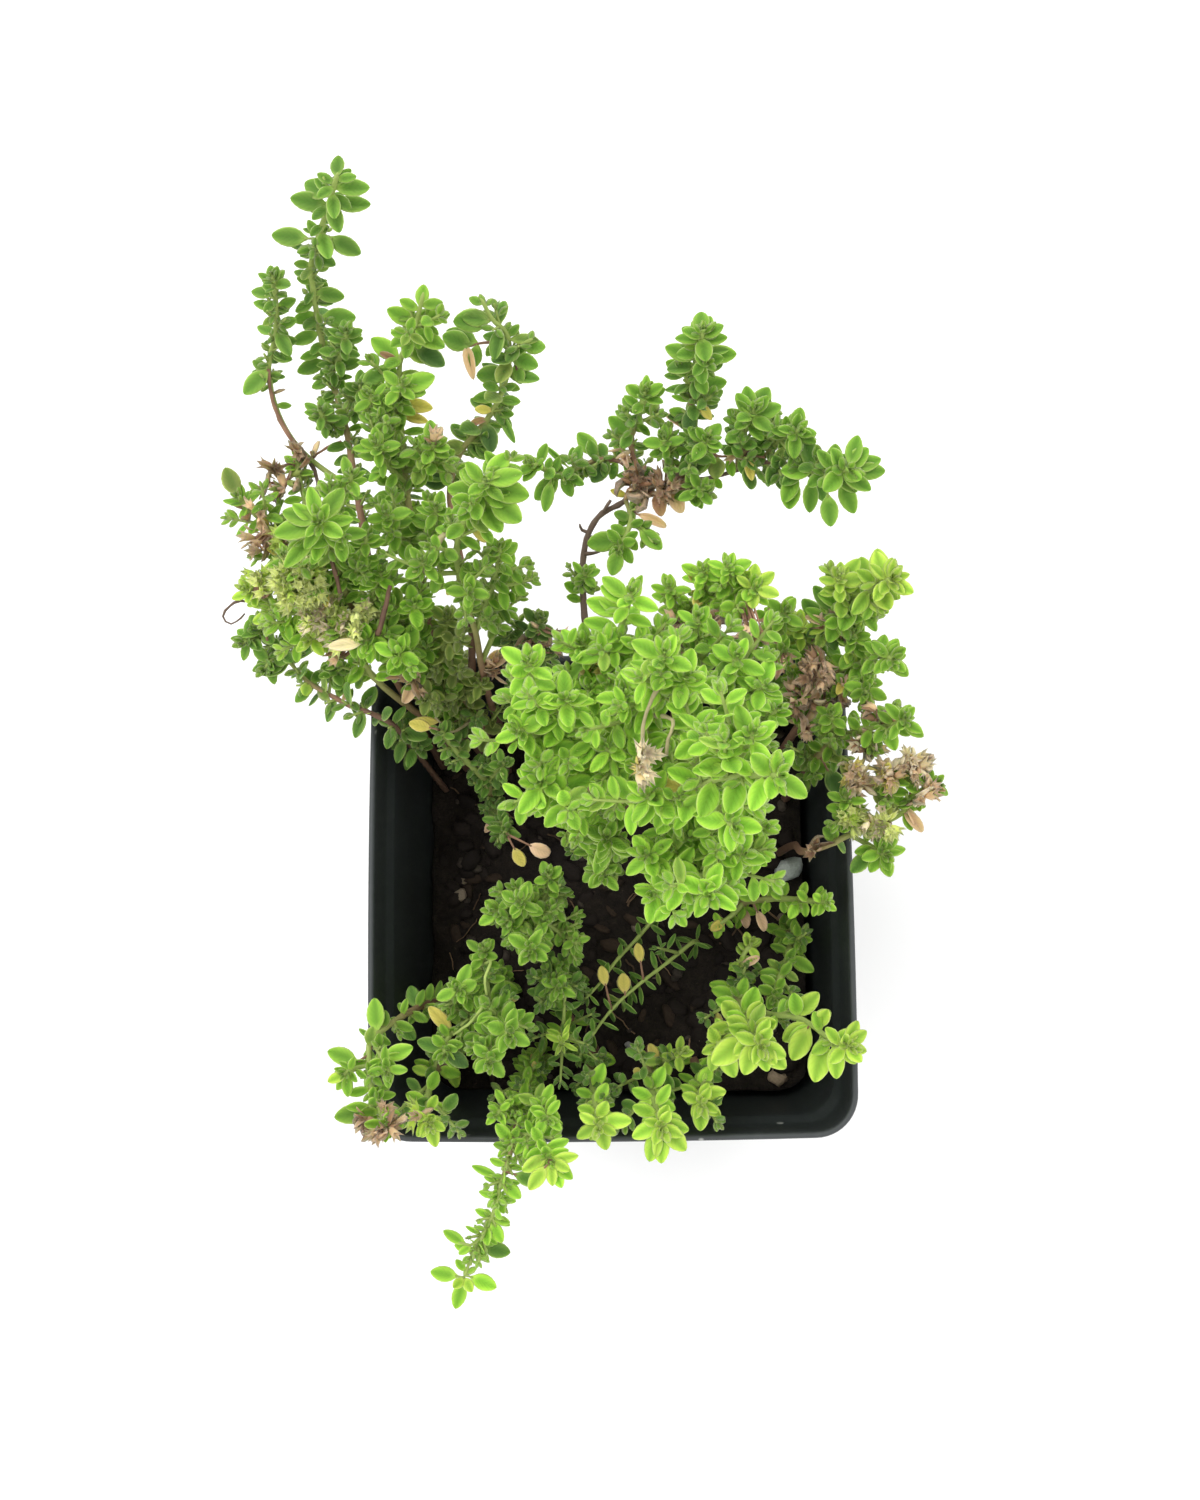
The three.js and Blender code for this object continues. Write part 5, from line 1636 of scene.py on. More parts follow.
    def add_calyx(self, here: Stand, size: float, tone: Array) -> None:
        """Add a ribbed calyx with its teeth spread, painted darker towards its mouth and inside its cup as
        shade.

        Args:
            here: Where it starts and where it opens to.
            size: Its length.
            tone: Its colour.
        """
        rise = np.cross(here.ahead, here.side)
        angles = np.arange(self.CALYX_SIDES) / self.CALYX_SIDES * 2 * math.pi
        rows, painted_shades = [], []
        for far, radius, tooth, shade in self.CALYX_RINGS:
            spread = size * radius * (1 + (0.25 if tooth else 0.06) * np.cos(5 * angles))
            ahead = size * (far - tooth * (0.5 - 0.5 * np.cos(5 * angles)))
            ring = here.centre + here.side * (np.cos(angles) * spread)[:, None]
            rows.append(ring + rise * (np.sin(angles) * spread)[:, None] + here.ahead * ahead[:, None])
            painted_shades += [shade] * self.CALYX_SIDES
        points = np.concatenate([*rows, here.centre[None], (here.centre + here.ahead * size * 0.35)[None]])
        # Painted shade: each ring takes its painted shade, and the point inside the cup is darkened to 0.6
        tints = tone * np.array([*painted_shades, 1.0, 0.6])[:, None]
        faces = skin(len(self.CALYX_RINGS), self.CALYX_SIDES)
        self.pool.put(points, faces, tints, np.array([0.85, 0.6, 0.0]), LEAF_SLOT)


# What the stems of the dome, the thin ones and those at the front have in common, and two dry mixes
DOME = {"narrow": 0.93, "sprigs": 0.38, "sprig_length": 9, "fill": 0.78}
THIN = {"buds": 0, "gap": 5, "aged": 0.3, "slim": 0.55}
FRONT = {"gap": 4, "buds": 0.3, "tip": LIME}
DEAD = (BROWN, BROWN, TAN)
FADED = (TAN, TAN, BROWN)

# The mass at the back left, which leans over the corner
BACK_LEFT = (
    Stem("tall", (-34, 34), MID, (
        Shoot(6, (
            (-34, 34, 80), (-40, 46, 103), (-45, 62, 110), (-48, 78, 112), (-50.5, 92, 113),
            (-53.5, 102, 115), (-55, 108, 119), (-56.5, 116, 124), (-57.5, 125, 131), (-56, 131, 136),
            (-54, 138, 142), (-52.4, 144, 148),
        ), bare=3, step=2.7, clear=2.5),
        Shoot(4.6, (
            (-56, 84, 112), (-60, 88, 112), (-63, 93, 114), (-65, 99, 117), (-65.6, 104, 120),
            (-64.4, 111, 124), (-64.4, 117, 128), (-65.2, 123, 132),
        ), on=(0, 3), bare=4, step=2.8),
        Shoot(5.4, ((-51.5, 106, 121), (-50.3, 111, 126)), on=(0, 5)),
        Shoot(5, ((-48, 96, 118), (-47.5, 100, 123)), on=(0, 4)),
        Shoot(5, ((-54, 92, 117), (-55.5, 95, 121)), on=(0, 4)),
    ), aged=0.5, sprigs=0.12, sprig_length=4, narrow=0.95, fill=0.68, marks=(
        (-59.4, 142.5), (-56.6, 144), (-46, 140.9), (-48.6, 143.2), (-69.7, 120), (-69, 117.4),
        (-67.3, 121.9), (-62.7, 123.9), (-60.4, 122.1), (-62.7, 116), (-68.2, 112.6), (-66.5, 115.3),
        (-67.2, 108.9), (-46.5, 102.4), (-58.5, 96.5), (-48.5, 94.5), (-50.8, 118, -56, 119),
        (-60.6, 115.2, -56.3, 117.5), (-48.6, 113.8, -55, 114), (-61, 113.2, -55.8, 114.8),
        (-47.3, 110.1, -54.5, 110.5), (-61.1, 108.8, -55.6, 111), (-59.5, 105.5, -54.6, 107),
        (-60, 102.7, -54, 105), (-48, 107, -54, 107.5), (-50.4, 98.9, -53.4, 103),
        (-57.2, 99.5, -52.8, 101.5), (-47.3, 104.9, -52.8, 103.5), (-55, 96.3, -52, 98.5),
        (-52.5, 148.1, -52.4, 143), (-62, 139, -55.8, 137.5), (-45.7, 137.2, -54.5, 138),
        (-52, 131.6, -53.5, 138), (-53, 134.5, -53.5, 140), (-65.6, 131.3, -59, 131),
        (-47.8, 127.1, -55, 131.5), (-54, 126.1, -56, 132), (-58.3, 134.3, -57, 131),
        (-54.3, 133.2, -56.5, 130.5), (-59.8, 127.3, -57.5, 126.5), (-61, 125.2, -57.4, 124.6),
        (-55, 124.2, -57.3, 125), (-57.5, 123.8, -56.6, 118), (-54.5, 121.5, -56, 116.5),
        (-65.6, 125.2, -65, 120.5), (-61.4, 106.2, -64.5, 111.5), (-50.9, 105, -54.8, 109.5),
        (-53, 100.5, -54.2, 105), (-70.6, 98.7, -65.5, 103.5), (-69, 105.4, -65.6, 103.2),
        (-63.2, 102.2, -65.4, 102.4), (-61, 96, -64, 96), (-60.2, 113.6, -64.4, 112),
        (-60, 109.2, -64.6, 108.8), (-61, 105.4, -65, 106), (-60.4, 117.8, -64.4, 116),
        (-62.7, 99.4, -64.8, 98, BROWN, 0.5), (-42.3, 103, -47.8, 101),
    ), twigs=(
        Twig(((-60.4, 88.4, 113), (-63.3, 93.2, 115), (-65.2, 99, 118), (-65.7, 103.4, 120.5)), 0.46, PINK),
        Twig(((-66.8, 102.6, 118), (-68, 103.2, 119)), 0.22, GREEN),
    )),
    Stem("fan", (-30, 35), FRESH, (
        Shoot(6, (
            (-30, 36, 84), (-34, 52, 108), (-36.5, 66, 114), (-38.5, 80, 117), (-39.5, 92, 119),
            (-39.7, 104.6, 123), (-37.8, 109, 127), (-36.4, 113, 131), (-35.2, 118.5, 136),
        ), bare=2, step=3.6, clear=7),
        Shoot(5, ((-40.5, 97, 124), (-39.3, 100, 129)), on=(0, 4)),
        Shoot(5, ((-44, 94, 121), (-45.5, 98, 126)), on=(0, 4)),
        Shoot(5.5, ((-42.5, 84, 122), (-44.5, 88, 128)), on=(0, 3)),
        Shoot(5.5, ((-34.5, 84, 122), (-33, 88, 127)), on=(0, 3)),
        Shoot(5.5, ((-40.5, 70, 121), (-42.5, 74, 127)), on=(0, 2)),
        Shoot(5.5, ((-33.5, 70, 121), (-32.5, 75, 127)), on=(0, 2)),
    ), aged=0.55, sprigs=0.3, sprig_length=7, fill=0.84, marks=(
        (-42.4, 115.3), (-39.9, 117.2), (-31.3, 116.4), (-30.2, 113.5), (-45.6, 109.5), (-32.9, 101.4),
        (-46.2, 97.5), (-34.6, 98), (-33.8, 92.5), (-46, 92.5), (-47.5, 88.5), (-33, 88.5),
        (-35.1, 120.5, -36, 115.5), (-36, 106.8, -37.4, 111.5), (-31, 107.2, -37.3, 110.5),
        (-31, 103.4, -35.5, 107, DARK), (-38.5, 107, -38.4, 111), (-43.6, 106.5, -40.5, 104.5, BROWN, 0.6),
        (-34.5, 92.3, -38.8, 93.5, YELLOW, 0.6), (-33.5, 95, -38.8, 96, YELLOW, 0.8),
    ), tufts=(
        Tuft((-33.5, 91), 2, 3, (TAN, BROWN), 1),
    )),
    Stem("arch", (-25.5, 36), MID, (
        Shoot(6.4, (
            (-25.5, 37.5, 91), (-26, 54, 107), (-28.5, 68, 108), (-30, 78, 110), (-28, 85.5, 112),
            (-24, 90.5, 114), (-20.8, 95.5, 116), (-18.8, 101, 118), (-18.2, 106.5, 120), (-19, 110, 122),
            (-21.5, 112.5, 125), (-23.8, 117, 129),
        ), bare=4, step=2.4, clear=5),
        Shoot(5.6, ((-15.5, 107.5, 122), (-13.8, 108.5, 124)), on=(0, 8), clear=3),
    ), aged=0.7, sprigs=0.2, sprig_length=4.5, fill=0.95, marks=(
        (-26.3, 117.2), (-21.4, 117.1), (-20.9, 113.9), (-18, 112.2), (-13.6, 110.3), (-16.5, 111.5),
        (-22.8, 105.2), (-16, 99.3), (-24, 96.8), (-16.1, 96), (-17.5, 93.3), (-32.5, 88.3), (-26.5, 86),
        (-23.5, 92), (-15.5, 104.2), (-24.2, 118, -23.6, 115), (-27.6, 113.3, -23, 111.5, None, 1.25),
        (-30.7, 110.6, -25, 111, None, 1.1), (-11.2, 106.8, -16.5, 107.8, None, 1.25),
        (-25.5, 102.8, -24.5, 107.2), (-25.8, 102.3, -26.4, 105, TAN, 0.6),
        (-17.3, 87.4, -18.5, 94, None, 0.45), (-21.7, 86.1, -21.5, 91, DARK),
        (-25, 94.4, -21.5, 94.5, YELLOW, 0.7), (-25.8, 91.7, -22.5, 92.5, BROWN, 0.8),
        (-20.5, 100, -18.8, 104.5, OLIVE), (-31.2, 86.3, -26.8, 87.6, OLIVE, 1.2),
        (-31.5, 109.5, -26, 107.8, None, 1.25), (-29.5, 112.5, -23.5, 111, None, 1.1),
        (-17.8, 111.5, -20.5, 108, None, 1.1), (-12.6, 103, -18.3, 104.8, None, 1.2),
        (-24.8, 101.2, -19.4, 101.5, None, 1.2), (-16.2, 98.3, -20, 99.8, None, 1.1),
        (-25.6, 96.6, -21, 97.4, None, 1.1), (-17.2, 95.2, -21.5, 96), (-21.2, 86.2, -25.5, 88.6, None, 1.1),
        (-35, 85.2, -29.6, 82.5, None, 1.1), (-35.5, 80.3, -30, 80, DARK),
        (-25.3, 80.3, -29.8, 80.6, None, 1.1), (-27, 91.5, -24.5, 90.5, OLIVE),
    ), twigs=(
        Twig(((-20, 108, 121), (-23.5, 107.9, 120), (-26.5, 107.2, 119), (-29, 106.7, 118)), 0.3, PINK),
        Twig(((-17.2, 104, 119), (-16.9, 102.2, 119)), 0.3),
    )),
    Stem("bright_right", (-21.5, 33), FRESH, (
        Shoot(6.6, (
            (-22, 36, 86), (-24, 44, 102), (-25, 50, 112), (-28, 60, 122), (-28.5, 68, 128), (-26, 74, 133),
            (-23.8, 77.5, 137), (-23, 80, 142),
        ), bare=4),
        Shoot(5.2, ((-26.6, 58.4, 126), (-26, 57.5, 129)), on=(0, 3)),
        Shoot(5.4, ((-21, 62, 120), (-20.3, 67, 124)), on=(0, 2)),
        Shoot(5.2, ((-21.5, 50, 107), (-20, 56.5, 112), (-17, 61, 115)), bare=1),
        Shoot(5.4, ((-33.5, 62, 126), (-35.5, 64.5, 131)), on=(0, 3)),
    ), aged=0.6, sprigs=0.36, sprig_length=7, fill=0.8, marks=(
        (-18.4, 85.6, -22.3, 80), (-14.6, 76.8, -22, 78.6), (-27.6, 82.4, -23.6, 79.4),
        (-25.2, 72.6, -23.4, 77.6), (-16.2, 71.8, -21.8, 76.6), (-20, 69.6, -22.8, 75.4),
        (-30.6, 78.6, -24.2, 77.8), (-15.8, 81.4, -21.8, 79.4),
    ), twigs=(
        Twig(((-31, 69.5, 129), (-33, 66, 129), (-35.3, 61.6, 128)), 0.5, PALE),
    )),
    Stem("bright_left", (-36, 29.5), FRESH, (
        Shoot(7, (
            (-37, 35, 88), (-43, 46, 105), (-50, 58, 116), (-52.5, 66, 125), (-53.5, 70, 132),
            (-54.7, 71.6, 139), (-55.4, 72.4, 145),
        ), bare=2),
        Shoot(5.5, (
            (-58, 65, 115), (-65, 71.5, 114), (-69.3, 75.6, 115), (-71.4, 78, 116),
        ), on=(0, 2), bare=1),
        Shoot(5.5, ((-58, 62, 121), (-62, 66, 125)), on=(0, 2)),
        Shoot(5.5, ((-47.5, 64, 122), (-46, 69.5, 127)), on=(0, 2)),
        Shoot(5.2, ((-50.5, 77, 133), (-49, 82, 137)), on=(0, 4)),
        Shoot(4.4, ((-50, 60, 109), (-55.5, 70, 111), (-58.5, 78, 112), (-60, 86, 113)), bare=2, step=3),
    ), aged=0.7, sprigs=0.34, sprig_length=7, narrow=0.82, fill=0.84, marks=(
        (-73.9, 83.8, -71.4, 78, OLIVE, 1.25), (-68.6, 76.5, -68.5, 80), (-69.8, 74.8, -68.8, 78),
        (-66.5, 73.3, -64.5, 73, YELLOW), (-68, 69.3, -63, 71, TAN, 0.7), (-65.5, 70.3, -62, 69.5),
        (-57.3, 79.6, -55.6, 73), (-50.6, 79.4, -55.2, 73), (-62.8, 74.8, -55.8, 72.4),
        (-48.6, 73, -55, 72.2), (-50.2, 66.8, -54.6, 71.6), (-62, 63.6, -54.8, 71.4),
        (-64.4, 70.2, -55.5, 72), (-56, 64.8, -54.6, 71.4),
    ), twigs=(
        Twig(((-59.6, 86.5, 113), (-60.6, 83.3, 113), (-62.2, 79.4, 113), (-63.4, 76, 113)), 0.4, PINK),
        Twig(((-57.5, 84.7, 112), (-56, 81.4, 112), (-55.6, 79, 112)), 0.45, OLD),
        Twig(((-55.5, 86.4, 112), (-51.2, 88.6, 113)), 0.28, PINK),
        Twig(((-64.5, 80.5, 113), (-66.5, 79.5, 114), (-69, 80.5, 115)), 0.3, PINK),
        Twig(((-53.6, 67.5, 124), (-52.3, 63, 124), (-51, 58.2, 123)), 0.55),
        Twig(((-61, 84, 113), (-64.2, 83.4, 114)), 0.3),
    ), tufts=(
        Tuft((-64.5, 82), 2.4, 9, DEAD, 3),
        Tuft((-61, 80), 4, 9, (TAN, TAN, OLIVE), 4),
        Tuft((-66.5, 75.5), 3, 8, FADED, 3, lift=3),
        Tuft((-58, 85.5), 3, 7, (BROWN, TAN), 3),
        Tuft((-67.5, 67), 3, 9, FADED, 4, lift=3),
        Tuft((-62, 68.5), 3.5, 5, (TAN, LIME), 8, lift=4),
    )),
    Stem("whorled", (-31, 29), BRIGHT, (
        Shoot(4.8, (
            (-33, 32, 86), (-43.8, 41, 101), (-48.8, 47.5, 106), (-53.5, 52, 108), (-58, 56.5, 111),
            (-60, 60, 115),
        ), bare=2, step=3.6),
        Shoot(4.8, ((-63, 56, 108), (-67, 58, 110), (-69.8, 59.5, 112)), on=(0, 3)),
        Shoot(4.6, ((-56, 50, 110), (-57, 49.5, 114)), on=(0, 3)),
    ), aged=0.8, sprigs=0.4, sprig_length=6.5, tip=LIME, marks=(
        (-69.4, 58.6, -66, 57), (-68, 52.8, -63.5, 54.5), (-65, 55.5, -62, 56), (-68.5, 56, -64.5, 56.5),
    ), twigs=(
        Twig((
            (-68.5, 57, 110), (-71, 57, 110), (-73.7, 54.3, 110), (-72.3, 52.5, 110), (-70.8, 53.2, 110),
            (-69.5, 54.5, 109),
        ), 0.24, OLD),
        Twig(((-61.5, 55.2, 109), (-63.5, 54, 108), (-65.3, 51.2, 107), (-65, 49.2, 106)), 0.34, PINK),
        Twig(((-45, 57.5, 110), (-47, 61.5, 112), (-48.2, 65, 114)), 0.3, PALE),
        Twig(((-50.6, 45.5, 107), (-48.6, 50.5, 110), (-47.6, 55, 112)), 0.36, PINK),
    ), tufts=(
        Tuft((-59, 60), 5.5, 4, (CALYX, CALYX, CALYX, LIME), 84, lift=10),
        Tuft((-64.5, 62), 3.4, 3, (CALYX, CALYX, CALYX, LIME), 30, lift=8),
        Tuft((-54, 55), 4.6, 5, (CALYX, CALYX, LIME, STRAW), 60, lift=10),
        Tuft((-50.5, 50.5), 3.6, 4, (CALYX, CALYX, STRAW), 34, lift=10),
        Tuft((-46.6, 53.5), 2.6, 2, (CALYX, CALYX, STRAW), 16, lift=10),
        Tuft((-53.5, 47), 2.2, 4, (TAN, BROWN), 3),
    )),
    Stem("over_corner", (-35.5, 24.5), MID, (
        Shoot(5.6, (
            (-37, 28, 86), (-41.5, 33, 99.8), (-45.6, 35, 100.8), (-49.5, 36.5, 100), (-53, 38.5, 99.5),
            (-56.5, 40.5, 99.5), (-59.5, 43.5, 100), (-62, 47, 101), (-65, 49.5, 102), (-66.8, 52.5, 104),
        ), bare=1, step=3.6),
        Shoot(4.8, ((-52.5, 42, 101), (-51, 44, 103)), on=(0, 4)),
        Shoot(5, ((-64, 45.5, 101), (-65.6, 43.5, 101)), on=(0, 7)),
        Shoot(4.8, ((-68, 49.5, 103), (-70, 48.5, 104)), on=(0, 8)),
    ), aged=1.6, slim=0.75, sprigs=0.12, sprig_length=5, marks=(
        (-69, 48.5), (-65, 46.5), (-63, 46.8), (-64.8, 42.2), (-60, 47), (-59, 46), (-59.5, 41),
        (-57.5, 38.8), (-55, 39), (-52, 37.4), (-51.3, 38.5), (-51.5, 42.3), (-53.5, 42.8), (-49.8, 42.3),
        (-66.5, 54.5), (-68.8, 51.5), (-45.4, 34.9, -44, 38.5, LIME, 0.8),
        (-48.8, 39.6, -50.5, 37.2, TAN, 0.9), (-57.6, 38.5, -57, 41, LIME),
    )),
    Stem("left_heart", (-27, 31), FRESH, (
        Shoot(6.2, (
            (-29, 33, 84), (-34, 42, 99), (-39, 48, 108), (-43.5, 50, 113), (-46.5, 48.5, 118),
        ), bare=1),
        Shoot(6, ((-38.5, 46, 113), (-40.2, 46, 120)), on=(0, 2)),
        Shoot(5.4, ((-37.5, 53, 113), (-36.6, 56, 119)), on=(0, 2)),
        Shoot(5.2, ((-45, 57, 117), (-43, 62.5, 121)), on=(0, 3)),
    ), tip=BRIGHT, sprigs=0.45, sprig_length=6.5, fill=0.95, marks=(
        (-53.4, 47.8, -51.6, 47.6, STRAW, 0.6), (-38.5, 36.5, -36.5, 43, TAN, 0.7),
    ), twigs=(
        Twig(((-43.6, 50.5, 120), (-42.4, 55, 122), (-41.4, 59.5, 123)), 0.5),
        Twig(((-41.5, 49, 113), (-41, 46, 112), (-38, 42, 110), (-35.5, 39.5, 108)), 0.6, OLD),
    ), tufts=(
        Tuft((-37, 41), 3.2, 9, DEAD, 3),
    )),
    Stem("inner_back", (-22, 28), OLIVE, (
        Shoot(5.2, (
            (-23, 30, 80), (-27.5, 38, 93), (-31, 44, 101), (-31, 49, 107), (-30.5, 53.5, 112),
        ), bare=1),
        Shoot(4.8, ((-25.5, 39.5, 96), (-23.5, 40.5, 99))),
        Shoot(5, ((-33, 39.5, 99), (-34.8, 37, 101))),
    ), sprigs=0.5, sprig_length=6.5, low=4, fill=0.85, marks=(
        (-37.5, 32.8, -31, 33.6, YELLOW, 0.8), (-20, 46.8, -26, 41, TAN, 0.9), (-30, 48.8, -29, 45, LIME),
        (-18.3, 47, -24, 41, TAN, 0.8),
    ), twigs=(
        Twig(((-30, 31, 96), (-32.7, 33.8, 97)), 0.3, PALE),
        Twig(((-24, 41.5, 97), (-19.5, 42.5, 98), (-16.5, 45, 99)), 0.26, PINK),
    ), tufts=(
        Tuft((-22.5, 45), 3.6, 7, (TAN, BROWN, BROWN), 3),
    )),
    Stem("back_dark", (-14, 34), DARK, (
        Shoot(4.6, ((-14, 37, 85), (-14.5, 45.5, 100), (-14.2, 49.5, 104), (-12.5, 52.5, 107)), bare=1),
        Shoot(4.6, ((-17.5, 47.5, 102), (-20, 49.5, 104))),
    ), low=3, sprigs=0.35, sprig_length=5, tufts=(
        Tuft((-9.5, 47.8), 3, 10, DEAD, 3),
        Tuft((-14, 47.5), 3, 5, (BROWN, TAN), 2),
    )),
)

# The bare stem that rises over the back edge and branches to the right
WOODY_BACK = (
    Stem("woody", (-4, 34.5), MID, (
        Shoot(5.6, (
            (-3.5, 38, 86), (-4, 50, 104), (-4.4, 58, 107), (-4.3, 63.8, 108), (-3.3, 68.8, 109),
            (-0.9, 72.7, 110), (3.9, 75.5, 111), (6.4, 80, 112), (5.4, 85, 114), (5.5, 89, 117), (7, 93, 120),
            (8.3, 97.5, 124),
        ), bare=8, step=3.4),
        Shoot(4.4, ((-4.2, 60, 111), (-4.1, 61.5, 114)), on=(0, 2)),
        Shoot(5.6, (
            (3, 83.3, 112), (-0.8, 83.8, 112), (-5, 82.3, 113), (-9, 80.8, 114), (-12.5, 82.5, 116),
            (-14.3, 83.3, 117),
        ), on=(0, 7), bare=1, step=2.6),
        Shoot(5.2, ((5, 72, 113), (4, 68.5, 114), (2.4, 65.5, 115)), on=(0, 6)),
        Shoot(6.8, (
            (9.5, 76.5, 112), (13.5, 80, 114), (16, 84.5, 116), (16.8, 89, 119), (17, 94, 122),
            (17.8, 99, 126), (18.6, 104, 132), (19.6, 109.5, 138),
        ), on=(0, 6), bare=3, step=3.4),
        Shoot(8, (
            (19, 79.5, 114), (25.5, 81, 115), (30, 82.5, 117), (35, 82.2, 119), (39.5, 81, 122),
            (43.5, 80.3, 126), (47, 80.6, 130),
        ), on=(4, 1), bare=2, step=3.4),
        Shoot(5.4, ((17.3, 76.8, 117), (19.2, 77.6, 121)), on=(5, 0)),
        Shoot(6, ((18.5, 86, 121), (20.5, 87.5, 125)), on=(4, 2)),
        Shoot(5.4, ((12.8, 84, 118), (11.5, 88, 122)), on=(4, 1)),
        Shoot(6.6, ((26, 85, 118), (27.6, 89.5, 122), (29.3, 93.4, 126)), on=(5, 1)),
        Shoot(6.2, ((33, 86, 120), (35.8, 88, 124), (37.6, 88.6, 128)), on=(5, 2)),
    ), tip=FRESH, bark=OLD, aged=2.4, sprigs=0.34, sprig_length=5, fill=0.72, marks=(
        (4.8, 98.6), (3.6, 96.2), (12.1, 97.8), (12.7, 93.5), (0.9, 92.3), (12.2, 91.3), (5.2, 89),
        (2.5, 87.5), (-5.2, 89.4), (2, 89.5), (-15.6, 84.6), (-13.5, 76), (-3.4, 80.1), (-17, 81.5),
        (-10.5, 84.5), (-2, 68.3), (4.3, 72.2), (-8, 59.3), (-7.4, 56.8), (-1, 61.8), (17.5, 111.6),
        (15.4, 110.2), (22.6, 108.5), (12.1, 106.4), (26.2, 104.6), (12.2, 103.2), (11.4, 98.7), (24.1, 98.9),
        (14.4, 97.6), (21.5, 102.5), (27.8, 97.8), (32.2, 97.9), (25.9, 95), (34.5, 94), (23.9, 93.4),
        (20.5, 90.3), (37.9, 92.2), (40.2, 87.9), (35.2, 91.8), (31.5, 90), (44.8, 86.2), (41, 86.2),
        (53.5, 83), (54.3, 80.4), (51.3, 76.8), (35.4, 73.3), (29.5, 80.2), (37.5, 86.5), (22.5, 77.6),
        (17.5, 73.8), (16, 80.6, 19.4, 82.6), (19.6, 86.2, 21.6, 82.8), (24.8, 79.8, 23.8, 83),
        (17.4, 88.4, 20.4, 85.6, MID), (27, 80, 26.4, 84, MID), (21.6, 79.6, 21.8, 82.4, OLIVE),
        (-3.6, 67, 2.6, 68.4, None, 1.2), (19.5, 81.2, 15.5, 83.6), (34.4, 74.6, 37.4, 80.8),
        (39.4, 72.4, 39.8, 79.8), (8.5, 100.7, 8.3, 97), (21.2, 112.9, 19, 108.8), (20, 96.5, 18, 100.5),
        (19.8, 101, 18.5, 104.5), (13.2, 96.3, 17.2, 95.2, None, 0.6), (19.7, 94.8, 17.2, 95.2, None, 0.5),
        (16.4, 88.5, 17, 94, DARK, 1.15), (49.3, 87.9, 46.8, 82.5), (47.9, 72, 45, 78.5),
        (43.3, 69.6, 42.3, 77.5), (34, 80.9, 40.5, 80.6, None, 1.1), (1.2, 60.8, 2.4, 66, None, 1.1),
        (10.8, 65.6, 5.5, 72), (-2.4, 79.3, 1, 83.2, DARK, 1.1), (-6.3, 76.4, -8.2, 80.8),
        (-11.6, 73.7, -10.3, 80.4, None, 0.7), (-11.8, 87, -6.8, 82.8, None, 0.35),
        (1.2, 77.6, 4.8, 75.8, YELLOW, 0.7), (11.9, 70.4, 6, 73.5, TAN, 0.5),
        (10.7, 73.3, 10, 77.5, BROWN, 1.1), (14.2, 73.4, 13, 79.5, TAN, 0.9),
        (12.5, 92.8, 14.5, 89.5, TAN, 0.6), (28.5, 79, 27, 83.5, YELLOW, 0.7),
    ), twigs=(
        Twig(((4, 83.8, 113), (2.9, 87, 114)), 0.3, PALE),
        Twig(((-3, 65, 109), (-0.8, 65.6, 110)), 0.35, OLD),
        Twig(((22, 84, 117), (27.5, 84, 118), (31, 83.5, 119)), 0.3, PINK),
        Twig(((-0.2, 73.5, 111), (1.2, 75.6, 112)), 0.35, OLD),
        Twig(((-4.5, 69.8, 109), (-4.9, 71, 110)), 0.3, OLD),
    ), tufts=(
        Tuft((9.5, 78.5), 4, 26, (BROWN, TAN, BROWN), 5),
        Tuft((14.5, 79.5), 3.4, 20, DEAD, 4),
        Tuft((5.6, 79.2), 3.6, 24, DEAD, 2, lift=4),
        Tuft((12, 77), 2.8, 18, (BROWN, TAN), 4, lift=4),
        Tuft((26.5, 83.5), 2.6, 5, (TAN, YELLOW, BROWN), 2),
        Tuft((4, 85.5), 2, 3, (TAN, TAN), 1),
    )),
)

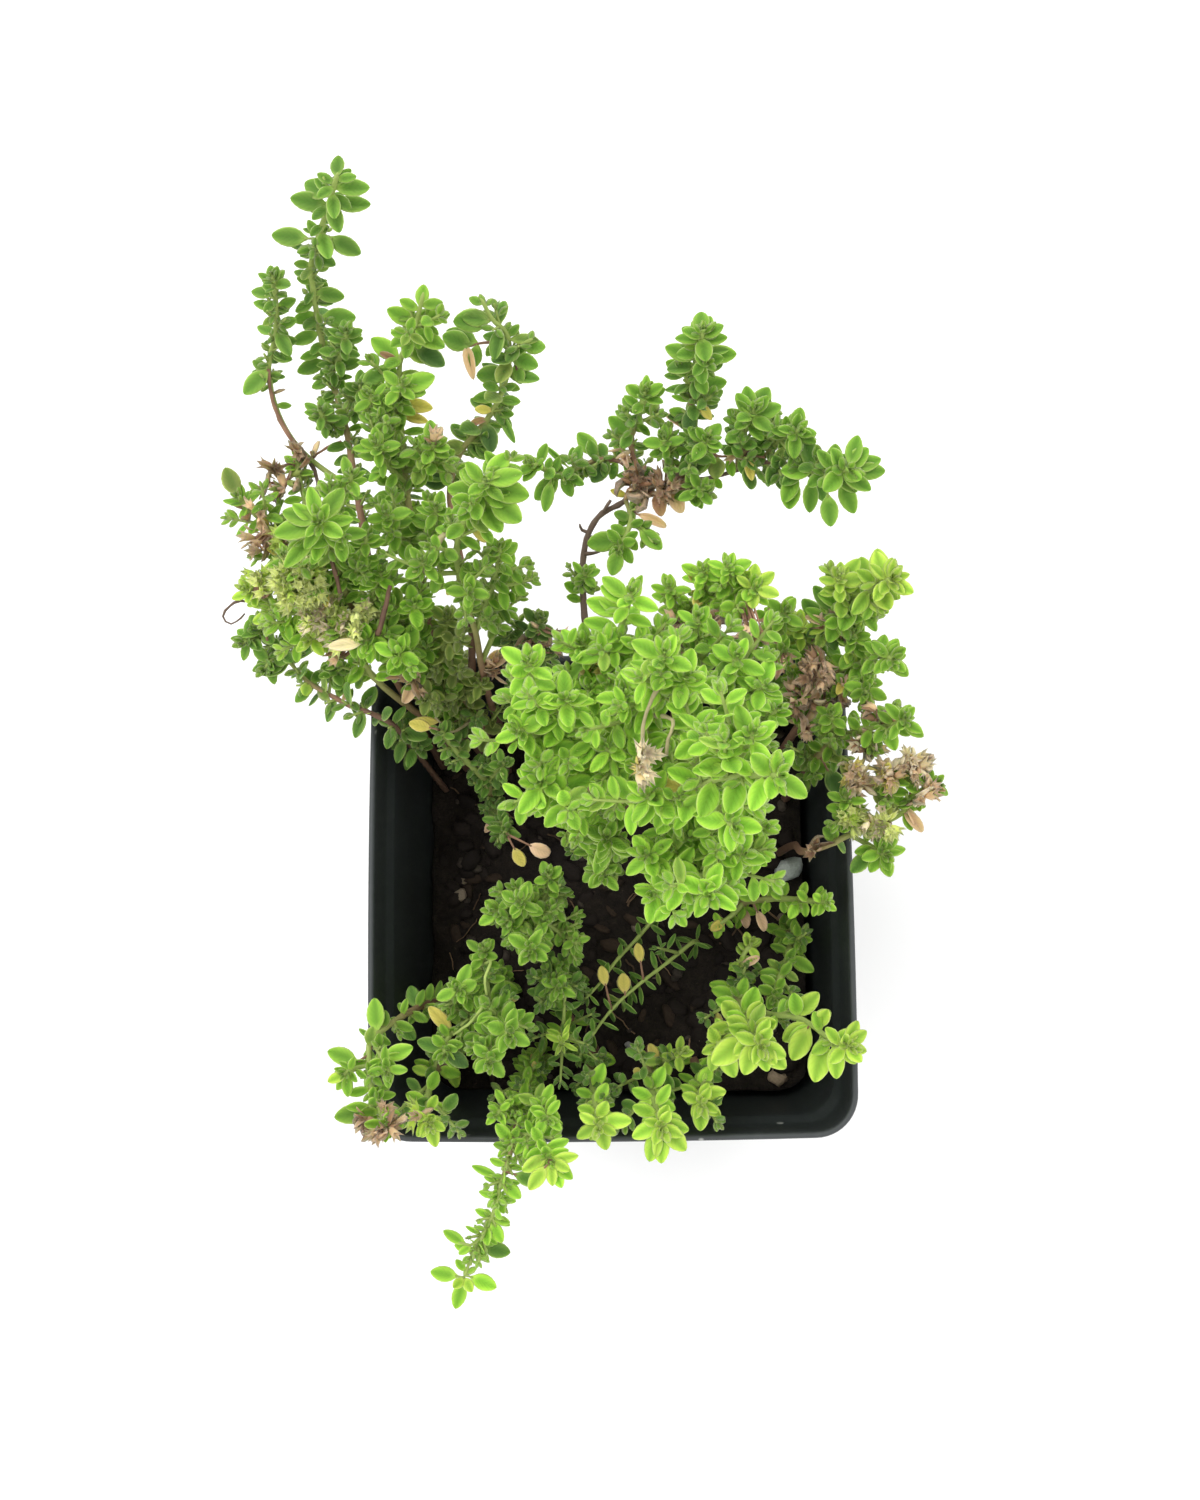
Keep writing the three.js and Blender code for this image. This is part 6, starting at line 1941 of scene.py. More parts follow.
# The bright dome in the middle, which stands highest
HIGH_DOME = (
    Stem("dome_left", (-5, 14), BRIGHT, (
        Shoot(6.8, (
            (-4, 16, 90), (-2.5, 17.5, 120), (-4.5, 21, 138), (-8, 26.5, 147), (-11.3, 32.5, 153),
            (-14, 38.5, 158), (-15, 44.5, 163),
        ), bare=1),
        Shoot(7.8, ((-9, 20, 146), (-13, 21, 155)), on=(0, 2)),
        Shoot(6.2, ((-9, 35, 158), (-7.5, 37, 163)), on=(0, 4)),
        Shoot(6.2, ((-14.5, 30.5, 155), (-17.5, 31, 158)), on=(0, 3)),
    ), **DOME),
    Stem("dome_back", (0, 21), BRIGHT, (
        Shoot(7, (
            (0.5, 22, 90), (1.5, 26, 118), (1, 33, 132), (1, 40, 139), (2, 47, 145), (3.5, 53, 150),
            (4.9, 57.5, 154),
        ), bare=2),
        Shoot(6.2, ((-2.5, 44.5, 143), (-5, 48, 146)), on=(0, 3)),
        Shoot(6.4, ((-2.5, 36, 139), (-3.5, 39, 144)), on=(0, 2)),
        Shoot(6.2, ((5, 44, 145), (6.5, 47.5, 150)), on=(0, 3)),
    ), **DOME, marks=(
        (-4, 34.2, -0.5, 36.5, YELLOW, 1.3), (-3.8, 56, 2.4, 53.6), (-1, 58.8, 3.6, 55.4),
        (-4.4, 52.2, 1.4, 50.4),
    ), tufts=(
        Tuft((-2, 43), 1.8, 2, (TAN, YELLOW), 4, lift=3),
    )),
    Stem("dome_middle", (6.5, 18), BRIGHT, (
        Shoot(7, (
            (7, 20, 90), (7.5, 22.5, 122), (6.8, 27, 145), (7.2, 32, 154), (8.8, 37, 160), (10.5, 41, 165),
            (11, 45.5, 170),
        ), bare=2),
        Shoot(6.4, ((4, 34.5, 158), (2.8, 38, 162)), on=(0, 3)),
        Shoot(6.5, ((12.8, 38.5, 164), (15.2, 41, 168)), on=(0, 4)),
        Shoot(6.4, ((2.5, 26, 152), (-0.5, 27.5, 157)), on=(0, 2)),
    ), **DOME, twigs=(
        Twig(((9.8, 39, 167), (8, 35.5, 168), (6.6, 31, 168), (6.8, 26.5, 167)), 0.36, PALE),
        Twig(((12.4, 32, 167), (11.4, 29, 167), (11, 26, 166)), 0.36, PALE),
    ), tufts=(
        Tuft((6.2, 24.5), 2.2, 4, (STRAW, YELLOW), 12, lift=35),
        Tuft((5.5, 18.5), 2.6, 5, (STRAW, TAN), 14, lift=42),
    )),
    Stem("dome_top", (13, 13), BRIGHT, (
        Shoot(7.4, (
            (13, 14.5, 90), (12.5, 16, 130), (13, 18, 152), (16.5, 20, 164), (21.5, 21.3, 170),
            (27, 21.7, 174), (32.5, 21.6, 178),
        ), bare=2),
        Shoot(7, ((17, 26.5, 166), (18.5, 31, 170)), on=(0, 3)),
        Shoot(7, ((25.5, 26, 174), (27.5, 30, 177)), on=(0, 4)),
        Shoot(7, ((20.5, 15.5, 165), (23.5, 12, 168)), on=(0, 3)),
        Shoot(6.8, ((9.5, 17, 158), (7, 18.5, 162)), on=(0, 2)),
    ), **DOME),
    # Painted shade: its leaves take the darker FRESH green, only their tips BRIGHT, for the shaded back right
    # of the dome
    Stem("dome_right", (20, 19), FRESH, (
        Shoot(6.6, (
            (20, 20, 90), (20.5, 25, 118), (21, 31, 134), (22, 36, 141), (23.5, 41, 146), (24.8, 44.5, 151),
        ), bare=2),
        Shoot(6, ((18.3, 41, 140), (17.3, 47, 142), (17.5, 52.5, 144)), on=(0, 2), bare=1),
        Shoot(6.2, ((27, 37.5, 146), (30, 39, 150)), on=(0, 3)),
        Shoot(5.8, ((28.5, 32, 136), (32.5, 34.5, 138)), on=(0, 2)),
    ), tip=BRIGHT, **DOME),
    Stem("dome_front", (15, 5), BRIGHT, (
        Shoot(7.2, (
            (15, 6, 90), (15.5, 6, 120), (16.2, 5, 138), (17, 3, 146), (18, 1, 152), (18.4, -0.8, 156),
        ), bare=1),
        Shoot(7, ((11, 6.5, 143), (6.5, 7, 148)), on=(0, 2)),
        Shoot(6.8, ((21, 6, 144), (25.3, 7, 149)), on=(0, 2)),
        Shoot(6.4, ((10.5, 1.5, 143), (8, -0.5, 147)), on=(0, 2)),
        Shoot(6.4, ((24, 11.5, 142), (29.5, 12, 146))),
    ), **DOME),
    Stem("dome_low", (-1.5, 7), FRESH, (
        Shoot(5.6, ((-2, 7.5, 90), (-1, 8, 108), (0, 9.5, 122), (-0.5, 10.5, 129)), bare=1),
        Shoot(5.2, ((-2, 5, 109), (-0.8, 3.2, 114))),
    ), sprigs=0.3, sprig_length=5, low=4, fill=0.9),
)

# The right side
RIGHT = (
    Stem("back_crest", (13, 35), BRIGHT, (
        Shoot(6, (
            (13, 38, 88), (13.5, 47, 104), (15, 52, 112), (19, 55.5, 118), (24, 57, 122), (28.7, 57.8, 127),
        ), bare=1),
        Shoot(5, ((12.8, 55.5, 117), (12, 58.5, 121)), on=(0, 2)),
        Shoot(4.8, ((18.4, 59, 122), (18.8, 61.5, 126)), on=(0, 3)),
        Shoot(5, ((23.4, 60.5, 126), (23.3, 62.5, 129)), on=(0, 4)),
    ), sprigs=0.35, sprig_length=5, fill=0.85, marks=(
        (11, 61), (14.5, 62.5), (16.5, 62.3), (20.5, 63), (23, 62.7), (28, 63), (32.3, 56.5),
        (17.8, 59.5, 18.2, 56.5, LIME), (16.5, 57.5, 18, 55.5, YELLOW, 0.9),
        (27.5, 61, 25.5, 57.5, LIME, 0.8), (30.5, 58.5, 27, 57.5, LIME), (32.3, 60.8, 28.2, 58, LIME),
        (28.7, 62.6, 27.8, 58.5, LIME), (33, 56.2, 28.8, 57.3, LIME), (28, 54, 28, 57.5, LIME, 0.9),
        (25.4, 60, 27.8, 58, LIME, 0.7), (15.8, 60.5, 17.8, 58, YELLOW, 0.8), (20.4, 58.8, 18, 57.8, LIME),
        (18.8, 62.2, 18.2, 59.5, LIME), (16.8, 54.5, 17.8, 57, YELLOW),
    ), tufts=(
        Tuft((12.5, 49), 4.4, 26, DEAD, 4, lift=9),
        Tuft((20.5, 48.5), 3.8, 22, DEAD, 3, lift=9),
        Tuft((27.5, 47), 3, 14, (BROWN, TAN), 2, lift=5),
    )),
    Stem("right_crest", (24, 34.5), FRESH, (
        Shoot(5.4, ((24.5, 38, 88), (26.5, 45.5, 102), (30, 49.5, 107), (33, 51.5, 112), (34.3, 53, 116))),
        Shoot(5.2, ((32.5, 46, 109), (33.8, 45, 113)), on=(0, 2)),
    ), sprigs=0.35, sprig_length=5, fill=0.85, marks=(
        (35, 54), (36.5, 50), (33.5, 47.5),
    ), tufts=(
        Tuft((31.5, 43), 3.4, 7, (BROWN, TAN), 3),
    )),
    Stem("right_yellow", (31.5, 33.5), FRESH, (
        Shoot(6.2, (
            (33, 37, 88), (38.5, 45.5, 104), (42.5, 50.5, 110), (46, 54, 115), (50.5, 57, 120),
            (54.8, 59.3, 125),
        ), bare=1, step=4.2),
        Shoot(6, ((37.2, 48, 107.5), (36.4, 50.5, 110))),
        Shoot(5, ((44.5, 57, 119), (44.6, 60, 122)), on=(0, 3)),
    ), sprigs=0.2, sprig_length=5, gap=2.4, fill=0.96, tip=LIME, marks=(
        (44.5, 61), (41.5, 57.5), (39.7, 54.5), (48.5, 63.3), (51.7, 64.6), (54.8, 63.3), (58, 60),
        (55.7, 55), (53.7, 52.5), (50.7, 51.5), (47, 49.5), (44, 48.8), (57.2, 57.3), (46.5, 61.6),
        (38, 48.3, 41.8, 49.5, DARK, 1.1), (38.5, 52, 42, 50.5, TAN, 0.7), (43.5, 45.5, 42, 50, DARK),
        (37.4, 55.4, 41, 51.2, MID, 0.8), (39.6, 58, 43.2, 53, MID, 0.8), (42, 60.2, 44.8, 55, FRESH),
        (45.6, 60.8, 47, 56.5), (48.9, 64, 49.3, 58), (52, 65.2, 51.8, 59.4), (48.2, 49.8, 46.8, 54),
        (51.2, 51.6, 49.2, 56), (54, 53, 51.8, 57.5, LIME), (45.2, 48.6, 44.2, 52.5, FRESH),
        (56.8, 56.2, 54, 59, LIME),
    ), tufts=(
        Tuft((44.5, 48.5), 3, 9, (BROWN, TAN, TAN), 4),
        Tuft((40, 51), 2.2, 4, (TAN, BROWN), 2),
    )),
    Stem("right_middle", (34, 28), FRESH, (
        Shoot(5.8, (
            (36, 31, 90), (41.5, 38.5, 103), (45.5, 41.5, 107), (49, 43.3, 111), (52, 44, 115),
            (54.3, 43.3, 119),
        ), bare=1, step=4.2),
        Shoot(5.2, ((48.8, 39, 110), (48.8, 36.8, 112)), on=(0, 2)),
        Shoot(5.2, ((47, 46.5, 112), (47, 49, 115)), on=(0, 2)),
        Shoot(5, ((36, 33.5, 99), (37.5, 38, 104), (39.5, 41, 107)), on=(0, 0), bare=1, step=3),
    ), sprigs=0.4, sprig_length=5, fill=0.85, marks=(
        (53, 48.5), (55.3, 47.5), (56.5, 41), (50, 48.3), (46, 36.3), (50, 37), (56.8, 44.3), (48.5, 36),
        (43.4, 37, 46, 41, YELLOW, 0.7), (45.5, 44.5, 47.5, 42.5, LIME), (36, 44.7, 39, 43, DARK, 1.2),
    ), twigs=(
        Twig(((36.5, 33.5, 100), (37, 30.8, 101), (38.5, 28.5, 101)), 0.3, PINK),
    ), tufts=(
        Tuft((40, 42), 4.5, 34, (BROWN, TAN, TAN, TAN), 12, lift=4),
        Tuft((36.5, 36.5), 4, 24, (BROWN, TAN, TAN), 6, lift=4),
        Tuft((43, 38), 3.6, 16, (TAN, STRAW, BROWN), 6, lift=4),
        Tuft((37.5, 31.5), 3, 12, FADED, 3, lift=4),
    )),
    Stem("right_low", (35.5, 20), FRESH, (
        Shoot(5.8, (
            (37, 22, 88), (41.5, 27, 101), (46, 29.5, 105), (50.5, 30.5, 110), (54, 31, 115), (56.3, 32, 119),
        ), bare=1, step=4.4),
        Shoot(5, ((42.5, 30, 106), (42, 33.5, 110))),
    ), sprigs=0.3, sprig_length=5, low=3, fill=0.75, marks=(
        (54, 35), (58, 32.3), (59.5, 28.5), (54, 26.3), (56.5, 34.3), (49, 34.5), (46.5, 34),
        (44, 17.3, 40, 25, DARK, 1.1), (43.5, 24, 41, 27, OLIVE), (36.5, 26, 39, 24.5, DARK),
        (36.5, 17.5, 37, 22.5, DARK),
    ), twigs=(
        Twig(((47, 29.5, 106), (48.2, 25.5, 106), (47.2, 22, 106)), 0.28, PALE),
    ), tufts=(
        Tuft((49, 27.5), 3.6, 12, (STRAW, TAN, BROWN), 5, lift=3),
        Tuft((45.5, 22.5), 3, 10, (STRAW, YELLOW, TAN), 6, lift=3),
        Tuft((51, 36), 2.6, 5, (TAN, BROWN), 3),
    )),
    Stem("dried_heads", (34, 9), FRESH, (
        Shoot(4.8, (
            (34.5, 8.5, 84), (36.5, 7.3, 98), (40.5, 8.3, 102), (45, 10.3, 104), (50, 12, 105),
            (54.5, 14, 106), (57, 17, 108), (59.5, 19, 110), (62.3, 19.3, 111),
        ), bare=2, step=3.4),
        Shoot(5.6, ((49, 8, 104), (51.7, 6.3, 107)), on=(0, 3)),
        Shoot(5, ((44.5, 14.5, 106), (44.3, 18, 109)), on=(0, 3)),
        Shoot(5, ((52.5, 18, 108), (53, 22, 110)), on=(0, 5)),
    ), buds=0.1, sprigs=0.1, sprig_length=4, crown=7, fill=0.8, marks=(
        (53.7, 10.9, 51, 7), (54.3, 7, 51, 6.3), (52.2, 2.3, 50.4, 5.8), (48.4, 3.2, 50, 6),
        (45, 3.3, 48.6, 6.6, MID), (47, 17.6, 42.6, 15.6, MID, 1.3), (44, 24.6, 44.3, 20, OLIVE),
        (50.2, 19.6, 49.8, 15.5, OLIVE, 0.9), (42, 12, 42.8, 8.6), (48, 14.8, 47.2, 11),
        (58.4, 17.6, 56, 13.8, FRESH, 1.3), (57.9, 11.6, 56.6, 14.6, TAN, 0.6),
        (57.3, 15.7, 56.5, 18, FRESH, 1.1), (58.5, 11.2, 55, 14.5, TAN, 0.8),
        (62.4, 18.6, 59.8, 19.2, BROWN, 0.6), (58.8, 24.5, 57.5, 18.5, FRESH), (56, 24, 55.5, 17.5, OLIVE),
    ), twigs=(
        Twig(((49, 12, 105), (51, 14, 106), (53.5, 20.5, 108), (54.5, 24, 109)), 0.26, PALE),
        Twig(((56.5, 17, 108), (57.5, 22, 109), (57, 26.5, 110)), 0.26, PALE),
        Twig(((59, 18.5, 110), (60.5, 22.5, 110)), 0.24, PINK),
        Twig(((44.5, 11, 104), (45.5, 15, 105), (46.5, 20, 106)), 0.26, PALE),
    ), tufts=(
        Tuft((57.5, 23.5), 3.6, 26, (STRAW, TAN, STRAW), 10, lift=3),
        Tuft((52, 21.5), 3.2, 20, (STRAW, YELLOW, TAN), 8, lift=3),
        Tuft((47.5, 19.5), 3, 18, (STRAW, TAN, STRAW), 8, lift=3),
        Tuft((59.5, 17), 2.6, 9, (STRAW, TAN), 4, lift=3),
        Tuft((51, 12), 3.6, 6, (CALYX, STRAW, CALYX), 26, lift=3),
        Tuft((45.5, 13.5), 2.8, 5, (CALYX, LIME), 16, lift=3),
        Tuft((38.5, 8.5), 2.6, 5, (TAN, BROWN), 3),
    )),
)

# Inside the front half
FRONT_HALF = (
    Stem("paired", (26, -3), BRIGHT, (
        Shoot(4, (
            (25, -2, 80), (28, -1.6, 85), (31.5, -1.4, 89), (35, -1.6, 93), (38, -2, 96.5), (40.5, -2.3, 100),
        ), step=3.1),
        Shoot(3.6, ((22.5, -4.5, 80), (19, -6.8, 80)), on=(0, 0)),
    ), fill=0.86, buds=0.1, gap=5, marks=(
        (30.2, 1.6), (33, 1.6), (36.5, 1.6), (39.5, 0.8), (27.5, -3.8), (29.3, -3.6), (32.5, -4.2),
        (36.3, -4.9), (38.7, -4.7), (27.3, 1), (41.8, -2.2, 38.5, -2), (22.7, -3.3, 25, -2.5, YELLOW),
        (18.8, -7, 21.5, -5.5, YELLOW), (25.5, -6.3, 25.5, -3, TAN, 0.9), (28.8, -7, 26.5, -3, TAN, 0.8),
    )),
    Stem("right_side", (34, -7), FRESH, (
        Shoot(5, ((33.5, -9, 82), (32.5, -13, 88), (31, -16.5, 92), (30, -20, 96)), step=4.2),
        Shoot(4.4, ((34.5, -8.5, 85), (35, -9.5, 88)), on=(0, 0)),
    ), buds=0.2, gap=3.6, low=3, fill=0.85, marks=(
        (28.5, -9.5), (37.5, -15), (30.5, -20), (36, -11.5), (27.5, -15),
    )),
    Stem("front_bright", (24, -17), BRIGHT, (
        Shoot(7, (
            (23.3, -18.5, 84), (23.6, -20.5, 96), (24.6, -23, 103), (26, -26, 109), (27.5, -28.6, 114),
        )),
        Shoot(6.2, (
            (30, -22.7, 103), (34.8, -23.4, 106), (38.5, -26, 109), (41.5, -28.2, 111), (44, -28.6, 114),
        )),
        Shoot(5, ((21, -26, 101), (19, -29, 104)), on=(0, 2)),
        Shoot(3.8, ((24, -15, 88), (24.5, -12, 89), (26.5, -9, 88)), on=(0, 0)),
    ), crown=14, low=3, fill=0.8, **FRONT, marks=(
        (24, -17), (27, -18.3), (20, -19.5), (17.3, -27.5), (18.2, -33), (22.5, -34.2), (28.5, -33),
        (32, -32.5), (38.3, -18.7), (45.5, -24), (46.8, -29.5), (41.2, -34.5), (37, -35),
        (17.6, -25.6, 23.4, -25, LIME), (18.4, -31.4, 23.8, -27.2, LIME), (24.2, -33.4, 25.6, -27.6, LIME),
        (30, -31.6, 27, -26.8, LIME), (30.4, -24, 26, -25.4, LIME), (20.6, -20.4, 24.2, -24, LIME),
        (27.8, -20, 25.2, -23.8, LIME), (21.4, -23.4, 25, -25.4, LIME), (33, -31, 35.6, -25.8, LIME),
        (31.4, -27.4, 35.6, -25, LIME), (39.8, -22, 37.6, -25, LIME), (22.6, -29.8, 25.8, -27, LIME),
        (24.2, -13, 24.2, -15.5, YELLOW), (27.2, -12.3, 25.5, -13.5, TAN, 0.8),
    )),
    Stem("thin_long", (17, -9), MID, (
        Shoot(3.8, (
            (15.2, -9.3, 77), (10, -13.3, 80), (5, -17, 83), (0, -21.5, 86), (-3.5, -26, 89),
            (-6.5, -30.5, 92),
        ), step=2.2),
    ), low=2, narrow=0.5, **THIN, marks=(
        (2.2, -14.8, 2.6, -19, YELLOW, 2.4), (-1.8, -13.4, -3.2, -18.2, YELLOW, 2),
        (5, -9.2, 3.2, -12.2, YELLOW, 2),
    )),
    Stem("thin_short", (9, -2), MID, (
        Shoot(4, (
            (8.7, -4, 77), (4.8, -8.6, 80), (1, -12.5, 83), (-2, -16.5, 86), (-5, -19.5, 89),
        ), step=2.2),
    ), fill=0.9, narrow=0.6, **THIN, marks=(
        (6.5, -6.2, 5.5, -7.8), (2.6, -9.2, 3, -10.5),
    )),
    Stem("left_dome", (-14, -3), FRESH, (
        Shoot(5.6, ((-14, -3.5, 84), (-14.5, -3.5, 96), (-16, -2.5, 104), (-17, -1, 110))),
        Shoot(5.2, ((-19, -3.5, 102), (-22, -3, 106))),
        Shoot(6, ((-14.5, -7.5, 103), (-15, -10.5, 110))),
        Shoot(5, ((-11.5, 0.5, 100), (-11.5, 4, 103))),
        Shoot(4, ((-9.5, -7, 97), (-5.5, -9.5, 99))),
    ), sprigs=0.35, sprig_length=6, low=7, fill=0.85),
    Stem("left_front", (-23, -17), FRESH, (
        Shoot(6.2, ((-23, -17, 84), (-22.5, -19.5, 96), (-20.5, -23, 103), (-18.8, -26, 109))),
        Shoot(4.8, ((-26.5, -18.5, 99), (-28.6, -17.3, 105))),
        Shoot(5, ((-23.5, -13.5, 99), (-23.8, -9.5, 102))),
        Shoot(6, ((-22.5, -27.5, 104), (-22.6, -31, 108)), on=(0, 2)),
        Shoot(5, ((-27.5, -23.5, 97), (-30.3, -26.5, 99), (-31, -29.5, 101))),
    ), sprigs=0.3, sprig_length=5.5, low=6, fill=0.85, marks=(
        (-33.8, -20.6, -31.8, -23.2, YELLOW, 0.75), (-36, -26.7, -32.4, -28, MID),
        (-29.5, -31, -30.5, -27, MID), (-26.6, -31.6, -30, -28.5, DARK), (-26.2, -12.7, -28, -16.8),
        (-32.4, -19.2, -29.5, -18), (-25.2, -17.6, -28, -17), (-30.6, -16.2, -28.4, -17),
    ), twigs=(
        Twig(((-22.3, -12.6, 108), (-23.4, -15.5, 109), (-23, -18.5, 108)), 0.3, GREEN),
        Twig(((-23.4, -20, 106), (-26, -23.4, 106), (-29, -25.6, 104)), 0.3, GREEN),
    )),
    Stem("front_small", (-9.5, -15.5), FRESH, (
        Shoot(4.6, ((-9.8, -15.5, 82), (-10, -16.2, 92), (-9.8, -17.6, 98))),
    ), low=7, sprigs=0.2, sprig_length=4.5, crown=8),
    Stem("front_narrow", (-9, -24), BRIGHT, (
        Shoot(4.6, ((-9, -24.5, 82), (-9, -25.8, 92), (-9.2, -27.8, 98))),
    ), gap=4, buds=0.2, crown=7, narrow=0.6, low=6, fill=0.9, tip=LIME),
)

# Over the front edge
OVER_FRONT = (
    Stem("trailing", (-15, -31), BRIGHT, (
        Shoot(4.8, (
            (-15.5, -33, 84), (-16.5, -38, 96), (-18, -43.5, 102), (-19.3, -49, 103), (-20.9, -53.5, 102),
            (-22, -58, 101), (-24, -61.6, 100), (-26, -65.6, 99), (-27.4, -69.4, 99),
        ), step=2.4, clear=4),
        Shoot(5.8, ((-13.8, -44.5, 105), (-11.4, -48.6, 109)), on=(0, 2)),
        Shoot(5.4, ((-13, -38.5, 102), (-11.8, -41.5, 107))),
        Shoot(4.6, ((-19.5, -38.5, 100), (-21.5, -40.5, 103))),
        Shoot(4, ((-25.8, -63.3, 102), (-28.3, -62.8, 103)), on=(0, 6), clear=9),
    ), gap=2.2, slim=0.65, narrow=0.9, sprigs=0.1, sprig_length=4.5, low=6, fill=0.76, marks=(
        (-25.9, -49.3, -21.3, -51.4, None, 0.6), (-21.4, -41.8, -20.1, -44.8), (-21.2, -48, -20.1, -45),
        (-21.6, -54.2, -19.9, -50.8), (-19.9, -48.4, -18.4, -51.2, None, 1.1), (-16.9, -55.3, -18, -53),
        (-13.2, -52.6, -16.2, -51.6, MID), (-7.8, -50.3, -10.6, -48.3, LIME),
        (-6.4, -47.7, -10.2, -47.6, LIME, 0.8), (-11.1, -53, -11.4, -49, LIME),
        (-15.4, -53.6, -12.4, -49.4, LIME), (-16.6, -50.2, -12.6, -48.2, LIME), (-7.4, -51.8, -10.8, -49),
        (-9.4, -53.4, -11, -49.4), (-12.8, -51.2, -12.2, -48), (-23.1, -56.8, -20.8, -55, None, 1.2),
        (-20, -57.8, -20.9, -54.8, None, 1.1), (-24.5, -57.4, -22.4, -58), (-18.9, -59.5, -21.6, -58.6),
        (-20.3, -63, -21.9, -59.4), (-18.7, -64.8, -23.2, -64.2, MID, 1.15),
        (-31.2, -60.6, -26.8, -63.1, None, 0.85), (-23.5, -66, -24.7, -62.6, None, 1.2),
        (-24, -61.8, -25.9, -64.6), (-28.3, -65, -25.9, -63.6, None, 1.1), (-28.8, -65.9, -27, -68),
        (-24.9, -67.2, -26.8, -68.6), (-33.5, -67.9, -28.6, -68.6, None, 1.3),
        (-21.3, -70.8, -25.8, -68.9, None, 1.15), (-28.9, -74.6, -28, -70, None, 1.05),
        (-26, -71.3, -27.2, -69.3, LIME), (-29.2, -70.8, -27.6, -69.2, LIME), (-27, -67.4, -27.4, -69.6),
    )),
    Stem("front_edge", (-4, -30), BRIGHT, (
        Shoot(5.2, ((-4, -31.5, 84), (-3.5, -36, 96), (-3, -39.5, 102), (-2.4, -43, 107))),
    ), sprigs=0.1, sprig_length=4, crown=8, low=6, fill=0.9, **FRONT, marks=(
        (-1, -47), (-6.7, -44.5), (3.5, -41.5), (-4.8, -38.5),
    )),
    Stem("front_edge_right", (7, -30), BRIGHT, (
        Shoot(5.6, ((7, -31.5, 84), (7.2, -35.5, 96), (8, -39.5, 103), (9, -43.2, 109))),
        Shoot(4.2, ((10.5, -30.5, 92), (13.3, -29, 95)), on=(0, 0)),
    ), crown=7, low=5, fill=0.9, **FRONT, marks=(
        (3.5, -44.5), (6.5, -49), (8.8, -49.3), (13.3, -47), (14, -43.3), (4.5, -39),
    )),
    Stem("front_star", (16, -32.5), BRIGHT, (
        Shoot(5, ((16, -33.5, 84), (15.8, -36.2, 95), (16.4, -39, 101))),
    ), crown=7, low=3, fill=0.95, **FRONT, marks=(
        (13.7, -36), (20.8, -36.5), (19.8, -41), (16, -43.5),
    )),
)

# The front left corner, and the thin stem behind it
FRONT_CORNER = (
    Stem("corner", (-33, -20.5), FRESH, (
        Shoot(6, (
            (-34, -20, 86), (-37.5, -21.5, 95), (-41.5, -24, 101), (-44.5, -26.5, 105), (-44.8, -31, 108),
            (-44.3, -36, 109), (-44.5, -40, 111),
        ), step=5),
        Shoot(4.8, ((-47, -31.5, 109), (-49.6, -32.7, 112)), on=(0, 4)),
        Shoot(5.2, ((-42.2, -30, 109), (-41.3, -32.7, 113)), on=(0, 3)),
        Shoot(4.8, ((-42.3, -40.5, 112), (-41.2, -42.5, 115)), on=(0, 5)),
    ), gap=4, narrow=0.88, buds=0.2, sprigs=0.05, sprig_length=4, fill=0.72, marks=(
        (-44.2, -18.7, -43.7, -25, None, 1.1), (-37.4, -16.5, -36, -20.6, MID, 1.3),
        (-36.3, -26.6, -39.6, -24, MID, 1.2), (-52.6, -28.4, -46.8, -30, None, 1.05),
        (-52.4, -33.8, -48.8, -32.6, LIME, 1.1), (-48.7, -36.8, -48.8, -32.8), (-42, -27.2, -43.4, -30.6),
        (-36.9, -27.9, -41, -29, None, 1.2), (-39.8, -31.6, -42, -29.4), (-41, -34.8, -43, -31.4, None, 1.2),
        (-45.9, -37.7, -44.6, -36), (-39.8, -36.4, -43.2, -36.6, None, 0.9),
        (-51.3, -40.4, -45.6, -39.2, None, 1.1), (-40.8, -44.3, -42.4, -40.6, None, 1.5),
        (-46.6, -33.5, -44.8, -31.5), (-45.6, -43.4, -44.6, -40.4, LIME),
    ), twigs=(
        Twig(((-44.5, -26, 105), (-44.9, -29, 107), (-46.8, -30.3, 108)), 0.3, PINK),
    ), tufts=(
        Tuft((-47.5, -43.8), 1.5, 9, (BROWN, TAN, BROWN), 3),
        Tuft((-44.2, -44.5), 1.5, 9, (BROWN, TAN, BROWN), 3),
        Tuft((-39.8, -38.6), 1.2, 1, (TAN,), 3),
        Tuft((-39.9, -41.4), 1.2, 1, (TAN, BROWN), 3),
    )),
    Stem("corner_inner", (-32, -32), BRIGHT, (
        Shoot(5, ((-33, -32.5, 86), (-33.6, -35, 95), (-34, -38.3, 102), (-33.6, -42, 107)), step=4.2),
    ), crown=9, low=3, fill=0.9, **FRONT, marks=(
        (-36, -44), (-32.5, -46), (-31.3, -41), (-37, -31.5), (-28.5, -35.3),
    ), tufts=(
        Tuft((-39.5, -40.5), 1.8, 2, (LIME, TAN), 4),
    )),
    Stem("left_thin", (-23, 16), MID, (
        Shoot(4.2, (
            (-22, 17.5, 76), (-22.8, 21, 84), (-25.5, 24, 90), (-29, 27.5, 95), (-32, 31.5, 100),
        ), bare=1, step=3.4),
        Shoot(4.4, ((-20.8, 14.5, 82), (-19.2, 11.3, 88)), on=(0, 0)),
        Shoot(4.6, ((-21, 23.5, 90), (-19.5, 25, 94))),
    ), sprigs=0.2, sprig_length=4.5, low=3, fill=0.75, marks=(
        (-37.5, 32.8, -32, 31, YELLOW), (-11.2, 7.3, -18.5, 11.5, TAN, 1.2), (-16, 5.2, -19.5, 12, YELLOW),
        (-14.5, 6, -19, 12, YELLOW, 0.8), (-23, 12.5, -20.6, 14.5, TAN, 0.9),
    )),
)

STEMS: tuple[Stem, ...] = BACK_LEFT + WOODY_BACK + HIGH_DOME + RIGHT + FRONT_HALF + OVER_FRONT + FRONT_CORNER


